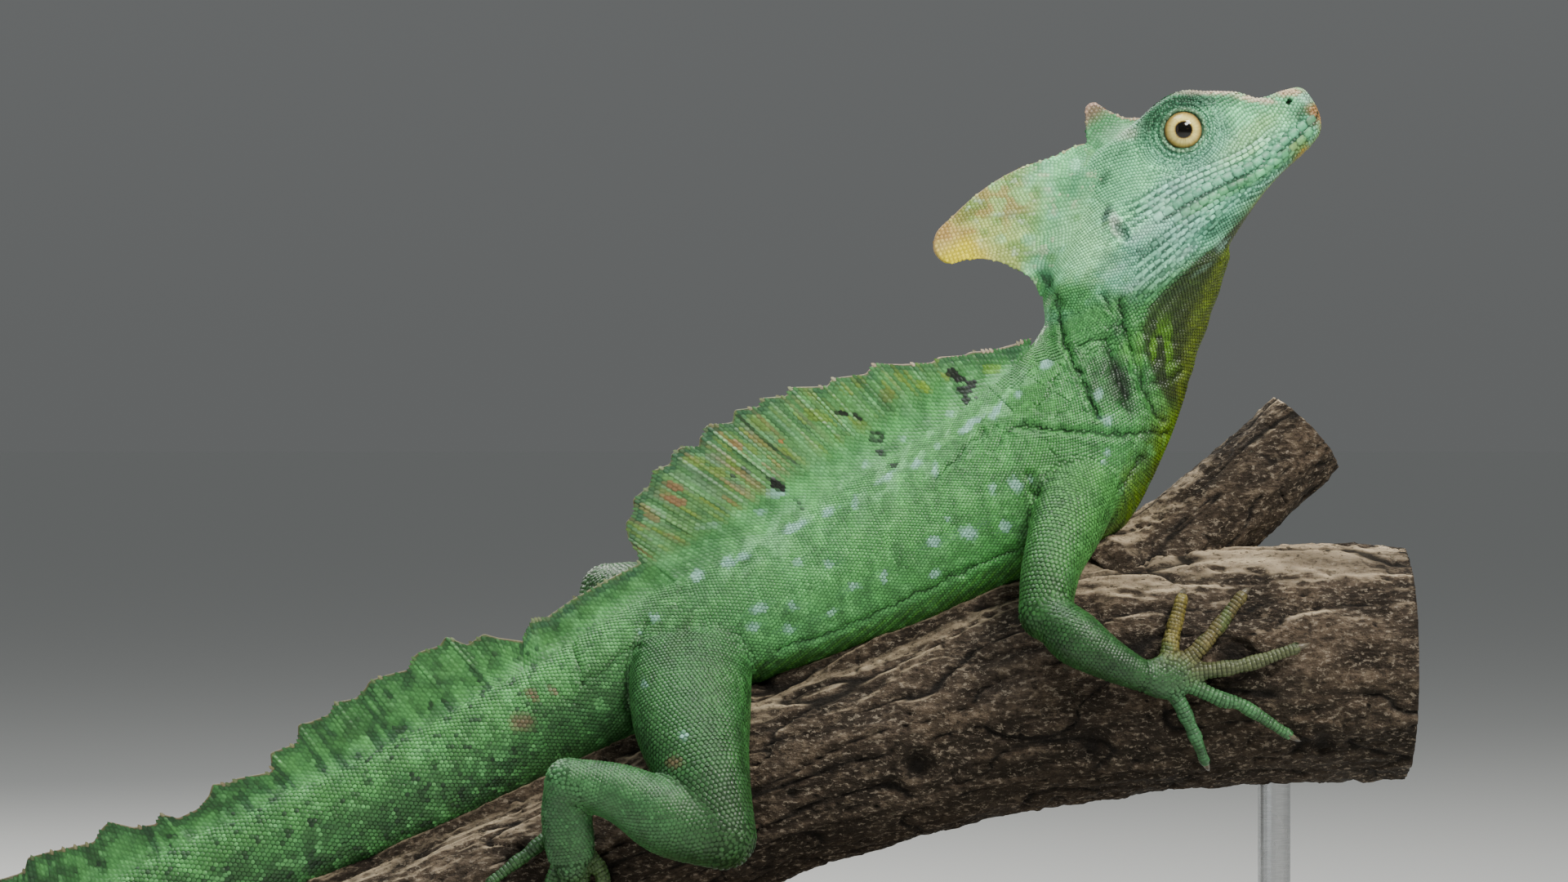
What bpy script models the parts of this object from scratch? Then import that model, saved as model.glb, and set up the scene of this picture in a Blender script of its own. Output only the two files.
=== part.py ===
"""Green basilisk, life size, as a still display model lying on a cut branch.

The animal looks along +X and its right side is towards -Y. Its side view is
drawn on a sheet whose unit is a fifth of a millimetre: u runs to the right,
v runs down. The origin is the middle of the base's underside.
"""
import math

import bmesh
import bpy
import numpy as np
from mathutils import Matrix, Vector
from mathutils.bvhtree import BVHTree

MM = 0.001
UNIT = 0.0002            # one unit of the side-view sheet
SHEET_U = 1000.0         # the sheet's upright line over the origin
SHEET_V = 1080.0         # the sheet's bottom line
LIFT = 80 * MM           # height of that bottom line over the floor
GAP = 0.3 * MM           # clearance where two pieces meet

BASE_SIZE = (250 * MM, 150 * MM, 18 * MM)
BASE_EDGE = 2.5 * MM
ROD_RADIUS = 4 * MM
ROD_U = (1560.0, 640.0)  # where the front and rear rods stand

HEAD_PITCH = math.radians(33.0)
SNOUT = (1610.0, 150.0)  # front end of the line of the mouth
EYE_AT = (28.0, 16.0, 7.4)       # behind the snout, above the mouth, sideways (mm)
EYE_RADIUS = 6.2 * MM
TAIL_BEYOND = 355.0      # length of tail past the last drawn section (mm)

SIDES_BODY = 22
SIDES_LIMB = 12
SIDES_DIGIT = 6

SPOT = {
    "green": (0.085, 0.30, 0.11, 1.0),
    "pale_green": (0.22, 0.48, 0.27, 1.0),
    "throat": (0.24, 0.36, 0.06, 1.0),
    "limb": (0.09, 0.27, 0.11, 1.0),
    "tail": (0.07, 0.24, 0.11, 1.0),
    "crest": (0.17, 0.36, 0.14, 1.0),
    "buff": (0.50, 0.42, 0.19, 1.0),
    "eye": (0.72, 0.42, 0.07, 1.0),
    "bark": (0.16, 0.105, 0.07, 1.0),
    "board": (0.10, 0.055, 0.03, 1.0),
    "steel": (0.55, 0.56, 0.57, 1.0),
}


def at(u, v, y=0.0):
    """World point of a sheet point; y in millimetres."""
    return Vector(((u - SHEET_U) * UNIT, y * MM, (SHEET_V - v) * UNIT + LIFT))


def head_at(s, h, y=0.0):
    """World point s behind the snout and h above the mouth, in millimetres."""
    forward = Vector((math.cos(HEAD_PITCH), 0, math.sin(HEAD_PITCH)))
    up = Vector((-math.sin(HEAD_PITCH), 0, math.cos(HEAD_PITCH)))
    return at(*SNOUT) - forward * s * MM + up * h * MM + Vector((0, y * MM, 0))


def smooth(xs, ys, x):
    """Monotone cubic through the rows ys at xs, read at x."""
    xs = np.asarray(xs, float)
    ys = np.asarray(ys, float)
    if ys.ndim == 1:
        ys = ys[:, None]
    h = np.diff(xs)[:, None]
    d = np.diff(ys, axis=0) / h
    m = np.zeros_like(ys)
    m[0], m[-1] = d[0], d[-1]
    both = d[:-1] * d[1:] > 0
    w1 = 2 * h[1:] + h[:-1]
    w2 = h[1:] + 2 * h[:-1]
    safe = np.where(both, w1 / np.where(both, d[:-1], 1) + w2 / np.where(both, d[1:], 1), 1)
    m[1:-1] = np.where(both, (w1 + w2) / safe, 0)
    x = np.atleast_1d(np.asarray(x, float))
    i = np.clip(np.searchsorted(xs, x) - 1, 0, len(xs) - 2)
    t = np.clip((x - xs[i]) / h[i, 0], 0, 1)[:, None]
    return ((2 * t**3 - 3 * t**2 + 1) * ys[i] + (t**3 - 2 * t**2 + t) * h[i] * m[i]
            + (3 * t**2 - 2 * t**3) * ys[i + 1] + (t**3 - t**2) * h[i] * m[i + 1])


def through(points, count):
    """A smooth curve through 3-D points, read at count even steps."""
    p = np.array([tuple(q) for q in points], float)
    reach = np.r_[0, np.cumsum(np.linalg.norm(np.diff(p, axis=0), axis=1))]
    m = np.gradient(p, reach, axis=0)
    x = np.linspace(0, reach[-1], count)
    i = np.clip(np.searchsorted(reach, x) - 1, 0, len(reach) - 2)
    h = (reach[i + 1] - reach[i])[:, None]
    t = (x - reach[i])[:, None] / h
    q = ((2 * t**3 - 3 * t**2 + 1) * p[i] + (t**3 - 2 * t**2 + t) * h * m[i]
         + (3 * t**2 - 2 * t**3) * p[i + 1] + (t**3 - t**2) * h * m[i + 1])
    return [Vector(v) for v in q], x / reach[-1]


def material(name, rough=0.6, metal=0.0):
    mat = bpy.data.materials.get(name) or bpy.data.materials.new(name)
    mat.use_nodes = True
    shader = mat.node_tree.nodes["Principled BSDF"]
    shader.inputs["Base Color"].default_value = SPOT[name]
    shader.inputs["Roughness"].default_value = rough
    shader.inputs["Metallic"].default_value = metal
    mat.diffuse_color = SPOT[name]
    return mat


def piece(name, verts, faces, look, rough=0.6, metal=0.0):
    """One closed object with its faces pointing out."""
    mesh = bpy.data.meshes.new(name)
    bm = bmesh.new()
    made = [bm.verts.new(v) for v in verts]
    for face in faces:
        bm.faces.new([made[i] for i in face])
    bmesh.ops.recalc_face_normals(bm, faces=bm.faces)
    bm.to_mesh(mesh)
    bm.free()
    obj = bpy.data.objects.new(name, mesh)
    bpy.context.scene.collection.objects.link(obj)
    mesh.materials.append(material(look, rough, metal))
    mesh.shade_smooth()
    return obj


def rings(rows):
    """Vertices and faces of a closed skin over rings of equal length."""
    n = len(rows[0])
    verts = [p for row in rows for p in row]
    faces = [tuple(range(n))[::-1], tuple(range(len(verts) - n, len(verts)))]
    for r in range(len(rows) - 1):
        for k in range(n):
            a, b = r * n + k, r * n + (k + 1) % n
            faces.append((a, b, b + n, a + n))
    return verts, faces


def tube(name, points, wide, thick, look, count, sides=SIDES_LIMB, flat=(0, 1, 0)):
    """A limb along a smooth path; wide is measured across the axis flat."""
    path, share = through(points, count)
    marks = np.linspace(0, 1, len(wide))
    half = smooth(marks, np.c_[wide, thick], share) * MM
    rows = []
    for i, p in enumerate(path):
        run = (path[min(i + 1, count - 1)] - path[max(i - 1, 0)]).normalized()
        side = (Vector(flat) - run * run.dot(Vector(flat))).normalized()
        over = run.cross(side)
        turn = [2 * math.pi * k / sides for k in range(sides)]
        rows.append([p + side * math.cos(a) * half[i, 0] + over * math.sin(a) * half[i, 1]
                     for a in turn])
    return piece(name, *rings(rows), look)


def inflated(obj, by):
    """A copy whose skin lies a little further out."""
    copy = obj.copy()
    copy.data = obj.data.copy()
    bpy.context.scene.collection.objects.link(copy)
    bm = bmesh.new()
    bm.from_mesh(copy.data)
    bm.normal_update()
    moves = [(v, v.normal * min(v.calc_shell_factor(), 1.8)) for v in bm.verts]
    for v, n in moves:
        v.co += n * by
    bm.to_mesh(copy.data)
    bm.free()
    return copy


def largest_only(obj):
    """Keep the largest closed surface of a mesh."""
    bm = bmesh.new()
    bm.from_mesh(obj.data)
    left = set(bm.verts)
    groups = []
    while left:
        todo = [left.pop()]
        group = set(todo)
        while todo:
            for edge in todo.pop().link_edges:
                for v in edge.verts:
                    if v in left:
                        left.discard(v)
                        group.add(v)
                        todo.append(v)
        groups.append(group)
    if len(groups) > 1:
        keep = max(groups, key=lambda g: sum(f.calc_area() for v in g for f in v.link_faces))
        bmesh.ops.delete(bm, geom=[v for v in bm.verts if v not in keep], context="VERTS")
    bm.to_mesh(obj.data)
    bm.free()


def combine(obj, others, operation, solver="EXACT"):
    """Union or difference with a list of closed objects, which are used up."""
    group = bpy.data.collections.new("tools")
    bpy.context.scene.collection.children.link(group)
    for other in others:
        group.objects.link(other)
    cut = obj.modifiers.new("cut", "BOOLEAN")
    cut.operation = operation
    cut.solver = solver
    cut.operand_type = "COLLECTION"
    cut.collection = group
    bpy.context.view_layer.update()
    made = obj.evaluated_get(bpy.context.evaluated_depsgraph_get())
    mesh = bpy.data.meshes.new_from_object(made)
    obj.modifiers.clear()
    obj.data = mesh
    for other in others:
        bpy.data.objects.remove(other, do_unlink=True)
    bpy.data.collections.remove(group)
    bm = bmesh.new()
    bm.from_mesh(obj.data)
    bmesh.ops.remove_doubles(bm, verts=bm.verts, dist=2e-6)
    bmesh.ops.dissolve_degenerate(bm, edges=bm.edges, dist=2e-6)
    bm.to_mesh(obj.data)
    bm.free()
    largest_only(obj)
    return obj


def carve(obj, *neighbours, solver="EXACT"):
    """Cut an object clear of its neighbours."""
    return combine(obj, [inflated(other, GAP) for other in neighbours], "DIFFERENCE", solver)


def ball(centre, radii, turns=14, levels=9, axes=None):
    """An ellipsoid used as a tool or a simple piece: verts and faces."""
    ax = axes or (Vector((1, 0, 0)), Vector((0, 1, 0)), Vector((0, 0, 1)))
    verts = [centre + ax[2] * radii[2], centre - ax[2] * radii[2]]
    for i in range(1, levels):
        b = math.pi * i / levels
        for k in range(turns):
            a = 2 * math.pi * k / turns
            verts.append(centre + ax[0] * radii[0] * math.sin(b) * math.cos(a)
                         + ax[1] * radii[1] * math.sin(b) * math.sin(a)
                         + ax[2] * radii[2] * math.cos(b))
    faces = []
    for k in range(turns):
        n = (k + 1) % turns
        faces.append((0, 2 + k, 2 + n))
        end = 2 + (levels - 2) * turns
        faces.append((1, end + n, end + k))
        for i in range(levels - 2):
            a = 2 + i * turns
            faces.append((a + k, a + turns + k, a + turns + n, a + n))
    return verts, faces


# Perch: top line and half thickness of a bent branch, from its right end.
PERCH = [
    # u, centre v, half thickness (mm), sideways (mm)
    (1722, 812, 28.4, 2), (1640, 812, 29.2, 2), (1560, 815, 29.4, 1), (1470, 819, 30.0, 1),
    (1390, 826, 29.6, 0), (1310, 841, 28.0, 0), (1220, 864, 25.8, 0), (1130, 894, 24.6, 0),
    (1040, 925, 23.8, 0), (950, 955, 23.2, 0), (868, 990, 23.0, 1), (788, 1027, 22.8, 1),
    (724, 1056, 22.8, 1), (655, 1089, 22.8, 0), (540, 1144, 22.6, 0), (420, 1193, 22.4, -1)]
STUB_FROM = (1395, 715, 4)
STUB_TO = (1603, 531, 12)
STUB_RADIUS = (13.5, 12.2)


def bark_radius(share, turn):
    """Slow swellings that make the branch uneven, as a factor."""
    return (1 + 0.020 * math.sin(3 * turn + 9 * share) + 0.014 * math.sin(5 * turn - 23 * share)
            + 0.012 * math.sin(2 * turn + 31 * share))


def perch():
    spine = [at(u, v, y) for u, v, _, y in PERCH]
    count, sides = 24, 18
    path, share = through(spine, count)
    marks = np.linspace(0, 1, len(PERCH))
    radii = smooth(marks, [r for _, _, r, _ in PERCH], share)[:, 0] * MM
    rows = []
    for i, p in enumerate(path):
        run = (path[min(i + 1, count - 1)] - path[max(i - 1, 0)]).normalized()
        over = Vector((0, 1, 0)).cross(run)
        row = []
        for k in range(sides):
            a = 2 * math.pi * k / sides
            r = radii[i] * bark_radius(share[i], a)
            row.append(p + over * math.cos(a) * r + Vector((0, 1, 0)) * math.sin(a) * r)
        rows.append(row)
    obj = piece("stand_perch", *rings(rows), "bark", 0.9)
    a, b = at(*STUB_FROM), at(*STUB_TO)
    mid = a.lerp(b, 0.5) + Vector((0, 0, -0.6 * MM))
    stub = tube("stub", [a, mid, b], (STUB_RADIUS[0], 12.6, STUB_RADIUS[1]),
                (STUB_RADIUS[0], 12.9, STUB_RADIUS[1]), "bark", 6, 14)
    return combine(obj, [stub], "UNION")


# Trunk and tail: back point, belly point, half width, how round the top and the
# belly are (exponents), and where the section is widest from the back.
BODY = {
    "nape": (1282, 395, 1501, 305, 12.8, 2.2, 2.2, 0.50),
    "neck": (1274, 408, 1482, 372, 11.6, 2.1, 1.9, 0.50),
    "throat": (1268, 418, 1464, 440, 11.2, 2.0, 1.7, 0.46),
    "fold": (1256, 430, 1446, 500, 12.4, 2.0, 1.8, 0.46),
    "shoulder": (1240, 446, 1424, 556, 14.6, 1.9, 2.0, 0.50),
    "chest": (1204, 470, 1372, 648, 16.4, 1.8, 2.2, 0.55),
    "front": (1140, 512, 1272, 706, 17.0, 1.7, 2.4, 0.58),
    "middle": (1055, 566, 1152, 760, 17.0, 1.7, 2.4, 0.58),
    "loin": (965, 622, 1050, 797, 15.6, 1.7, 2.4, 0.57),
    "hip": (880, 672, 950, 828, 14.0, 1.7, 2.4, 0.55),
    "pelvis": (805, 716, 868, 862, 12.6, 1.8, 2.4, 0.55),
    "vent": (735, 757, 788, 900, 11.4, 1.8, 2.2, 0.52),
    "tail_root": (668, 800, 724, 928, 10.4, 1.8, 2.1, 0.50),
    "tail_a": (600, 838, 655, 961, 9.6, 1.8, 2.0, 0.50),
    "tail_b": (487, 900, 540, 1018, 8.6, 1.8, 2.0, 0.50),
    "tail_c": (373, 954, 423, 1067, 7.8, 1.8, 2.0, 0.50),
    "tail_d": (253, 1012, 300, 1119, 7.0, 1.8, 2.0, 0.50),
    "tail_e": (138, 1068, 180, 1168, 6.5, 1.9, 2.0, 0.50),
    "tail_f": (22, 1122, 60, 1216, 6.0, 1.9, 2.0, 0.50),
}
TAIL_SWING = 26.0        # how far the free tail curves to each side (mm)
TAIL_TIP = 0.9           # half thickness of the tail's tip (mm)


def tail_free(t):
    """Centre, half depth and half width of the free tail at share t of its length."""
    back = Vector(at(22, 1122))
    belly = Vector(at(60, 1216))
    centre = (back + belly) / 2
    steps = 160
    pitch0 = math.radians(-23.5)
    for i in range(int(round(t * steps))):
        q = i / steps
        pitch = pitch0 * max(0.0, 1 - q / 0.46) ** 1.2 + math.radians(2.0) * min(1, q / 0.46)
        yaw = math.radians(13) * math.sin(2 * math.pi * q * 1.05) * min(1, q * 3)
        step = TAIL_BEYOND * MM / steps
        centre = centre + Vector((-math.cos(pitch) * math.cos(yaw), math.sin(yaw),
                                  math.sin(pitch))) * step
    depth = (9.9 - TAIL_TIP) * (1 - t) ** 0.92 + TAIL_TIP
    width = (6.0 - TAIL_TIP) * (1 - t) ** 0.80 + TAIL_TIP
    return centre, depth, width


def body_rows(step=7.6, free=24):
    """Sections of neck, trunk and tail: centre, back arm, belly arm, width, shape."""
    names = list(BODY)
    data = np.array([BODY[n] for n in names], float)
    mids = (data[:, 0:2] + data[:, 2:4]) / 2
    reach = np.r_[0, np.cumsum(np.linalg.norm(np.diff(mids, axis=0), axis=1))]
    marks = []
    for a, b in zip(reach[:-1], reach[1:]):
        parts = max(1, round((b - a) * 0.2 / step))
        marks += [a + (b - a) * k / parts for k in range(parts)]
    marks.append(reach[-1])
    rows = smooth(reach, data, marks)
    out = []
    for m, r in zip(marks, rows):
        back, belly = at(r[0], r[1]), at(r[2], r[3])
        middle = back.lerp(belly, r[7])
        out.append(dict(mark=m, c=middle, up=back - middle, down=belly - middle,
                        w=r[4] * MM, top=r[5], low=r[6], side=Vector((0, 1, 0))))
    stops = {n: float(m) for n, m in zip(names, reach)}
    for i in range(1, free + 1):
        t = (i / free) ** 0.92
        c, depth, width = tail_free(t)
        run = (tail_free(min(1, t + 0.01))[0] - tail_free(t - 0.01)[0]).normalized()
        side = Vector((run.y, -run.x, 0)).normalized()
        up = side.cross(run)
        up = up if up.z > 0 else -up
        side = side if side.y > 0 else -side
        out.append(dict(mark=reach[-1] + t * TAIL_BEYOND * 5, c=c, up=up * depth * MM,
                        down=-up * depth * MM, w=width * MM, top=2.0, low=2.0, side=side))
    return out, stops


def section(row, sides, shift=0.0, run=Vector((0, 0, 0))):
    points = []
    for k in range(sides):
        a = 2 * math.pi * k / sides
        s, c = math.sin(a), math.cos(a)
        e = row["top"] if c > 0 else row["low"]
        arm = row["up"] if c > 0 else row["down"]
        across = math.copysign(abs(s) ** (2 / e), s)
        points.append(row["c"] + arm * abs(c) ** (2 / e) + row["side"] * across * row["w"]
                      + run * shift)
    return points


def stretch(name, rows, first, last, look):
    """One node of the body between two marks, short of its ends by half the gap."""
    inside = [i for i, r in enumerate(rows) if first - 1e-6 <= r["mark"] <= last + 1e-6]
    skins = []
    for i in inside:
        a, b = rows[max(i - 1, 0)], rows[min(i + 1, len(rows) - 1)]
        run = a["down"].cross(rows[i]["side"])
        run = (b["c"] - a["c"]).normalized() if run.length == 0 else run.normalized()
        if run.dot(b["c"] - a["c"]) < 0:
            run = -run
        shift = GAP / 2 if i == inside[0] else (-GAP / 2 if i == inside[-1] else 0.0)
        skins.append(section(rows[i], SIDES_BODY if rows[i]["w"] > 4 * MM else 12, shift, run))
    count = min(len(s) for s in skins)
    if count != max(len(s) for s in skins):
        skins = [section(rows[i], count, GAP / 2 if i == inside[0] else 0.0,
                         (rows[i + 1]["c"] - rows[i]["c"]).normalized()
                         if i == inside[0] else Vector((0, 0, 0))) for i in inside]
    return piece(name, *rings(skins), look)


# Head: stations behind the snout and the sizes read there (mm).
HEAD_S = (-2.4, -1.7, 0.5, 3.5, 8, 13, 19, 25, 31, 35.2, 40, 46, 52, 60, 68, 75, 79, 81.7)
HEAD = {
    "top": (7.2, 9.0, 10.1, 10.8, 11.4, 15.6, 19.4, 22.9, 23.6, 23.2, 23.2, 23.6, 22.8,
            18.6, 12.6, 6.0, 0.8, -4.6),
    "brow_rise": (-0.3, -0.4, -0.4, 0.1, 0.6, 1.3, 1.2, 1.3, 1.0, 0.6, 0.0, -1.0, -1.6,
                  -2.2, -2.2, -2.0, -1.4, -0.2),
    "brow_w": (0.8, 2.2, 3.4, 3.8, 4.6, 6.4, 9.2, 11.2, 11.2, 10.0, 8.4, 6.8, 5.4,
               4.2, 3.2, 2.4, 1.6, 0.5),
    "face_w": (0.9, 2.6, 3.9, 4.5, 5.0, 6.3, 8.8, 10.8, 11.8, 12.3, 12.5, 12.5, 12.0,
               11.0, 9.6, 7.4, 4.8, 0.7),
    "lip_w": (0.8, 2.4, 3.9, 4.9, 6.1, 7.7, 9.6, 11.3, 12.5, 13.2, 13.8, 14.3, 14.3,
              13.7, 12.4, 9.7, 6.6, 0.8),
    "mouth": (4.2, 1.9, 0.2, -0.2, -0.9, -1.4, -1.7, -1.0, -0.2, 0.1, 0.3, 0.2, 0.0,
              -0.4, -1.6, -3.0, -4.0, -5.0),
    "jaw_w": (0.6, 1.8, 3.2, 4.4, 5.6, 7.0, 8.8, 10.2, 11.4, 12.0, 12.8, 13.6, 13.9,
              13.5, 12.3, 9.8, 6.8, 0.7),
    "edge_w": (0.4, 1.0, 2.3, 3.4, 4.3, 5.2, 6.2, 6.9, 6.6, 2.6),
    "edge_h": (3.4, 0.6, -2.2, -3.4, -4.4, -5.2, -6.4, -8.0, -10.4, -13.6),
    "chin": (3.1, 0.1, -2.8, -4.0, -4.9, -5.7, -7.2, -9.5, -12.2, -14.1),
}
CUT = ((35.2, -14.1), (81.7, -5.4))      # the head's underside where the neck joins


def cut_height(s):
    (s0, h0), (s1, h1) = CUT
    return h0 + (h1 - h0) * (s - s0) / (s1 - s0)


def cut_width(s):
    mid, half = (CUT[0][0] + CUT[1][0]) / 2, (CUT[1][0] - CUT[0][0]) / 2
    e = BODY["nape"][5]
    return BODY["nape"][4] * max(0.0, 1 - min(1, abs((s - mid) / half)) ** e) ** (1 / e)


def head_half(s):
    """Right half of the head's section at s, from the top line to the underside."""
    read = {k: float(smooth(HEAD_S[:len(v)], v, s)[0, 0]) for k, v in HEAD.items()}
    top, mouth = read["top"], read["mouth"]
    brow = top + read["brow_rise"]
    on_cut = s > CUT[0][0]
    chin = cut_height(s) if on_cut else read["chin"]
    edge_h = cut_height(s) if on_cut else read["edge_h"]
    edge_w = max(cut_width(s), 0.35) if on_cut else read["edge_w"]
    k = min(1.0, (top - chin) / 14)
    groove = 0.8 * min(1.0, max(0.0, (46 - s) / 3)) * min(1.0, max(0.1, (s + 2.4) / 3))
    lip, bw, fw = read["lip_w"], read["brow_w"], read["face_w"]
    lip_top = mouth + 3.0 * k
    drop = brow - lip_top
    return [
        (0.0, top),
        (0.55 * bw, top + 0.35 * (brow - top)),
        (bw, brow),
        (bw + (fw - bw) * 0.45 - 0.2 * k, brow - 0.30 * drop),
        (fw, brow - 0.62 * drop),
        (lip - 0.35 * k, lip_top),
        (lip + 0.20 * k, mouth + 1.7 * k),
        (lip + 0.05, mouth + 0.45 * k),
        (lip - groove - 0.05, mouth),
        (lip - 0.15 * k, mouth - 0.45 * k),
        (lip - 0.10 * k, mouth - 1.6 * k),
        (read["jaw_w"] - 0.2, mouth + (edge_h - mouth) * 0.55),
        (edge_w, edge_h),
        (edge_w * 0.5, chin + (edge_h - chin) * 0.25),
        (0.0, chin)]


def head():
    marks = [-2.4, -2.05, -1.6, -0.6, 0.6, 2, 3.6, 5.6, 8, 10.5, 13, 16, 19, 22, 25, 28, 31, 33.4,
             35.6, 38, 41, 45, 49, 53, 57, 61, 65, 69, 72.5, 75.5, 78, 80, 81.4]
    rows = []
    for s in marks:
        half = head_half(s)
        rows.append([head_at(s, h, -w) for w, h in half]
                    + [head_at(s, h, w) for w, h in half[-2:0:-1]])
    obj = piece("head", *rings(rows), "pale_green")
    forward = head_at(-1, 0) - head_at(0, 0)
    up = head_at(0, 1) - head_at(0, 0)
    axes = (forward.normalized(), up.normalized(), Vector((0, 1, 0)))
    lids, cuts = [], []
    s, h, y = EYE_AT
    for hand in (-1, 1):
        lid = []
        for i in range(20):
            a = 2 * math.pi * i / 20
            out = axes[0] * math.cos(a) * 1.08 + axes[1] * math.sin(a)
            centre = head_at(s, h, hand * 10.7) + out * 5.5 * MM
            lid.append([centre + out * math.cos(b) * 1.6 * MM
                        + axes[2] * math.sin(b) * 1.25 * MM
                        for b in (2 * math.pi * j / 6 for j in range(6))])
        verts = [p for row in lid for p in row]
        faces = [(6 * i + j, 6 * i + (j + 1) % 6, 6 * ((i + 1) % 20) + (j + 1) % 6,
                  6 * ((i + 1) % 20) + j) for i in range(20) for j in range(6)]
        lids.append(piece("lid", verts, faces, "pale_green"))
        size = (EYE_RADIUS + GAP,) * 3
        cuts.append(piece("socket", *ball(head_at(s, h, hand * y), size, 16, 10, axes),
                          "pale_green"))
        cuts.append(piece("nostril", *ball(head_at(3.2, 7.7, hand * 4.6),
                                           (1.0 * MM, 0.75 * MM, 1.1 * MM), 8, 6, axes),
                          "pale_green"))
        cuts.append(piece("ear", *ball(head_at(55.5, 3.2, hand * 14.3),
                                       (1.7 * MM, 2.9 * MM, 1.5 * MM), 12, 8, axes),
                          "pale_green"))
    combine(obj, lids, "UNION")
    combine(obj, cuts, "DIFFERENCE")
    for tag, hand in (("r", -1), ("l", 1)):
        piece("eye_" + tag, *ball(head_at(s, h, hand * y), (EYE_RADIUS,) * 3, 16, 10, axes),
              "eye", 0.15)
    return obj


def vane(name, root, edge, thick, rows, ridge, look):
    """A thin upright vane between two lines of points, with ray ridges.

    thick is the root's and the edge's thickness, ridge the extra thickness of
    each column, both in millimetres. Both faces are triangulated alike.
    """
    n = len(root)
    verts, faces = [], []
    for hand in (-1, 1):
        for i in range(n):
            for j in range(rows + 1):
                v = j / rows
                t = thick[0] + (thick[1] - thick[0]) * v ** 0.7 + ridge[i] * (1 - v) ** 0.5
                p = root[i].lerp(edge[i], v)
                verts.append(p + Vector((0, hand * t * MM / 2, 0)))
    half = n * (rows + 1)
    for side in (0, half):
        for i in range(n - 1):
            for j in range(rows):
                a = side + i * (rows + 1) + j
                b = a + rows + 1
                faces += [(a, b, b + 1), (a, b + 1, a + 1)]
    rim = [i * (rows + 1) for i in range(n)]
    rim += [(n - 1) * (rows + 1) + j for j in range(1, rows + 1)]
    rim += [i * (rows + 1) + rows for i in range(n - 2, -1, -1)]
    rim += list(range(rows - 1, 0, -1))
    for a, b in zip(rim, rim[1:] + rim[:1]):
        faces += [(a, b, b + half), (a, b + half, a + half)]
    return piece(name, verts, faces, look)


def back_line(rows, mark, lift):
    """Point above the back's midline at a mark of the body."""
    marks = [r["mark"] for r in rows]
    line = np.array([tuple(r["c"] + r["up"]) for r in rows])
    p = Vector([float(np.interp(mark, marks, line[:, k])) for k in range(3)])
    ups = np.array([tuple(r["up"].normalized()) for r in rows])
    up = Vector([float(np.interp(mark, marks, ups[:, k])) for k in range(3)])
    return p + up.normalized() * lift * MM


def mark_at(rows, u):
    """Mark of the body where its back passes sheet line u."""
    us = [(r["c"] + r["up"]).x / UNIT + SHEET_U for r in rows]
    marks = [r["mark"] for r in rows]
    return float(np.interp(-u, [-x for x in us], marks))


# Outline of the sail on the back and of the fin on the tail, on the sheet. Every lobe
# runs nearly level from a notch to a corner and then steps down towards the tail.
SAIL_EDGE = [(1262, 414), (1243, 421), (1214, 429), (1187, 431), (1181, 435), (1149, 437),
             (1141, 444), (1104, 446), (1070, 445), (1060, 458), (1019, 463), (1013, 473),
             (967, 474), (963, 485), (933, 487), (929, 498), (899, 502), (897, 517), (864, 521),
             (856, 547), (834, 547), (822, 556), (821, 568), (800, 576), (795, 595), (775, 611),
             (777, 629), (766, 640), (769, 660), (781, 677), (783, 690), (745, 709), (702, 733),
             (669, 756), (651, 759), (641, 784)]
FIN_EDGE = [(638, 785), (610, 781), (592, 776), (572, 790), (546, 779), (538, 791), (514, 798),
            (506, 804), (500, 820), (471, 827), (452, 834), (448, 842), (436, 855), (410, 860),
            (404, 874), (380, 884), (365, 887), (365, 909), (331, 922), (333, 945), (290, 953),
            (260, 960), (256, 974), (243, 990), (218, 1002), (196, 996), (191, 1009), (163, 1013),
            (133, 1006), (124, 1015), (115, 1031), (60, 1043), (34, 1050), (30, 1066), (22, 1070)]
# How the rays fan: the root's sheet u for an edge point, told by its v less its u.
SAIL_FAN = [(-848, 1262), (-745, 1205), (-654, 1150), (-567, 1098), (-466, 1042), (-405, 1008),
            (-304, 962), (-224, 915), (-164, 880), (-114, 836), (-93, 800), (-36, 765), (31, 725),
            (87, 690), (108, 662), (143, 643)]
FIN_FAN = [(147, 640), (185, 626), (233, 600), (283, 566), (382, 500), (451, 452), (522, 404),
           (591, 366), (700, 290), (801, 222), (873, 158), (983, 70), (1048, 22)]


def stepped(line, gap):
    """Edge columns no more than gap sheet units apart; a ray ends where a step falls."""
    out, ray = [], []
    for (u, v), (p, q) in zip(line, line[1:]):
        parts = max(1, math.ceil(math.hypot(p - u, q - v) / gap))
        steep = abs(q - v) > 1.2 * abs(p - u)
        for k in range(parts):
            out.append((u + (p - u) * k / parts, v + (q - v) * k / parts))
            ray.append(1.0 if steep and k == 0 else 0.3)
    return out + [line[-1]], ray + [0.0]


def fan(rows, line, rays, lift):
    """Root of every edge column on the back, by the table of the rays."""
    w, u = zip(*rays)
    return [back_line(rows, mark_at(rows, float(np.interp(q - p, w, u))), lift) for p, q in line]


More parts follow.
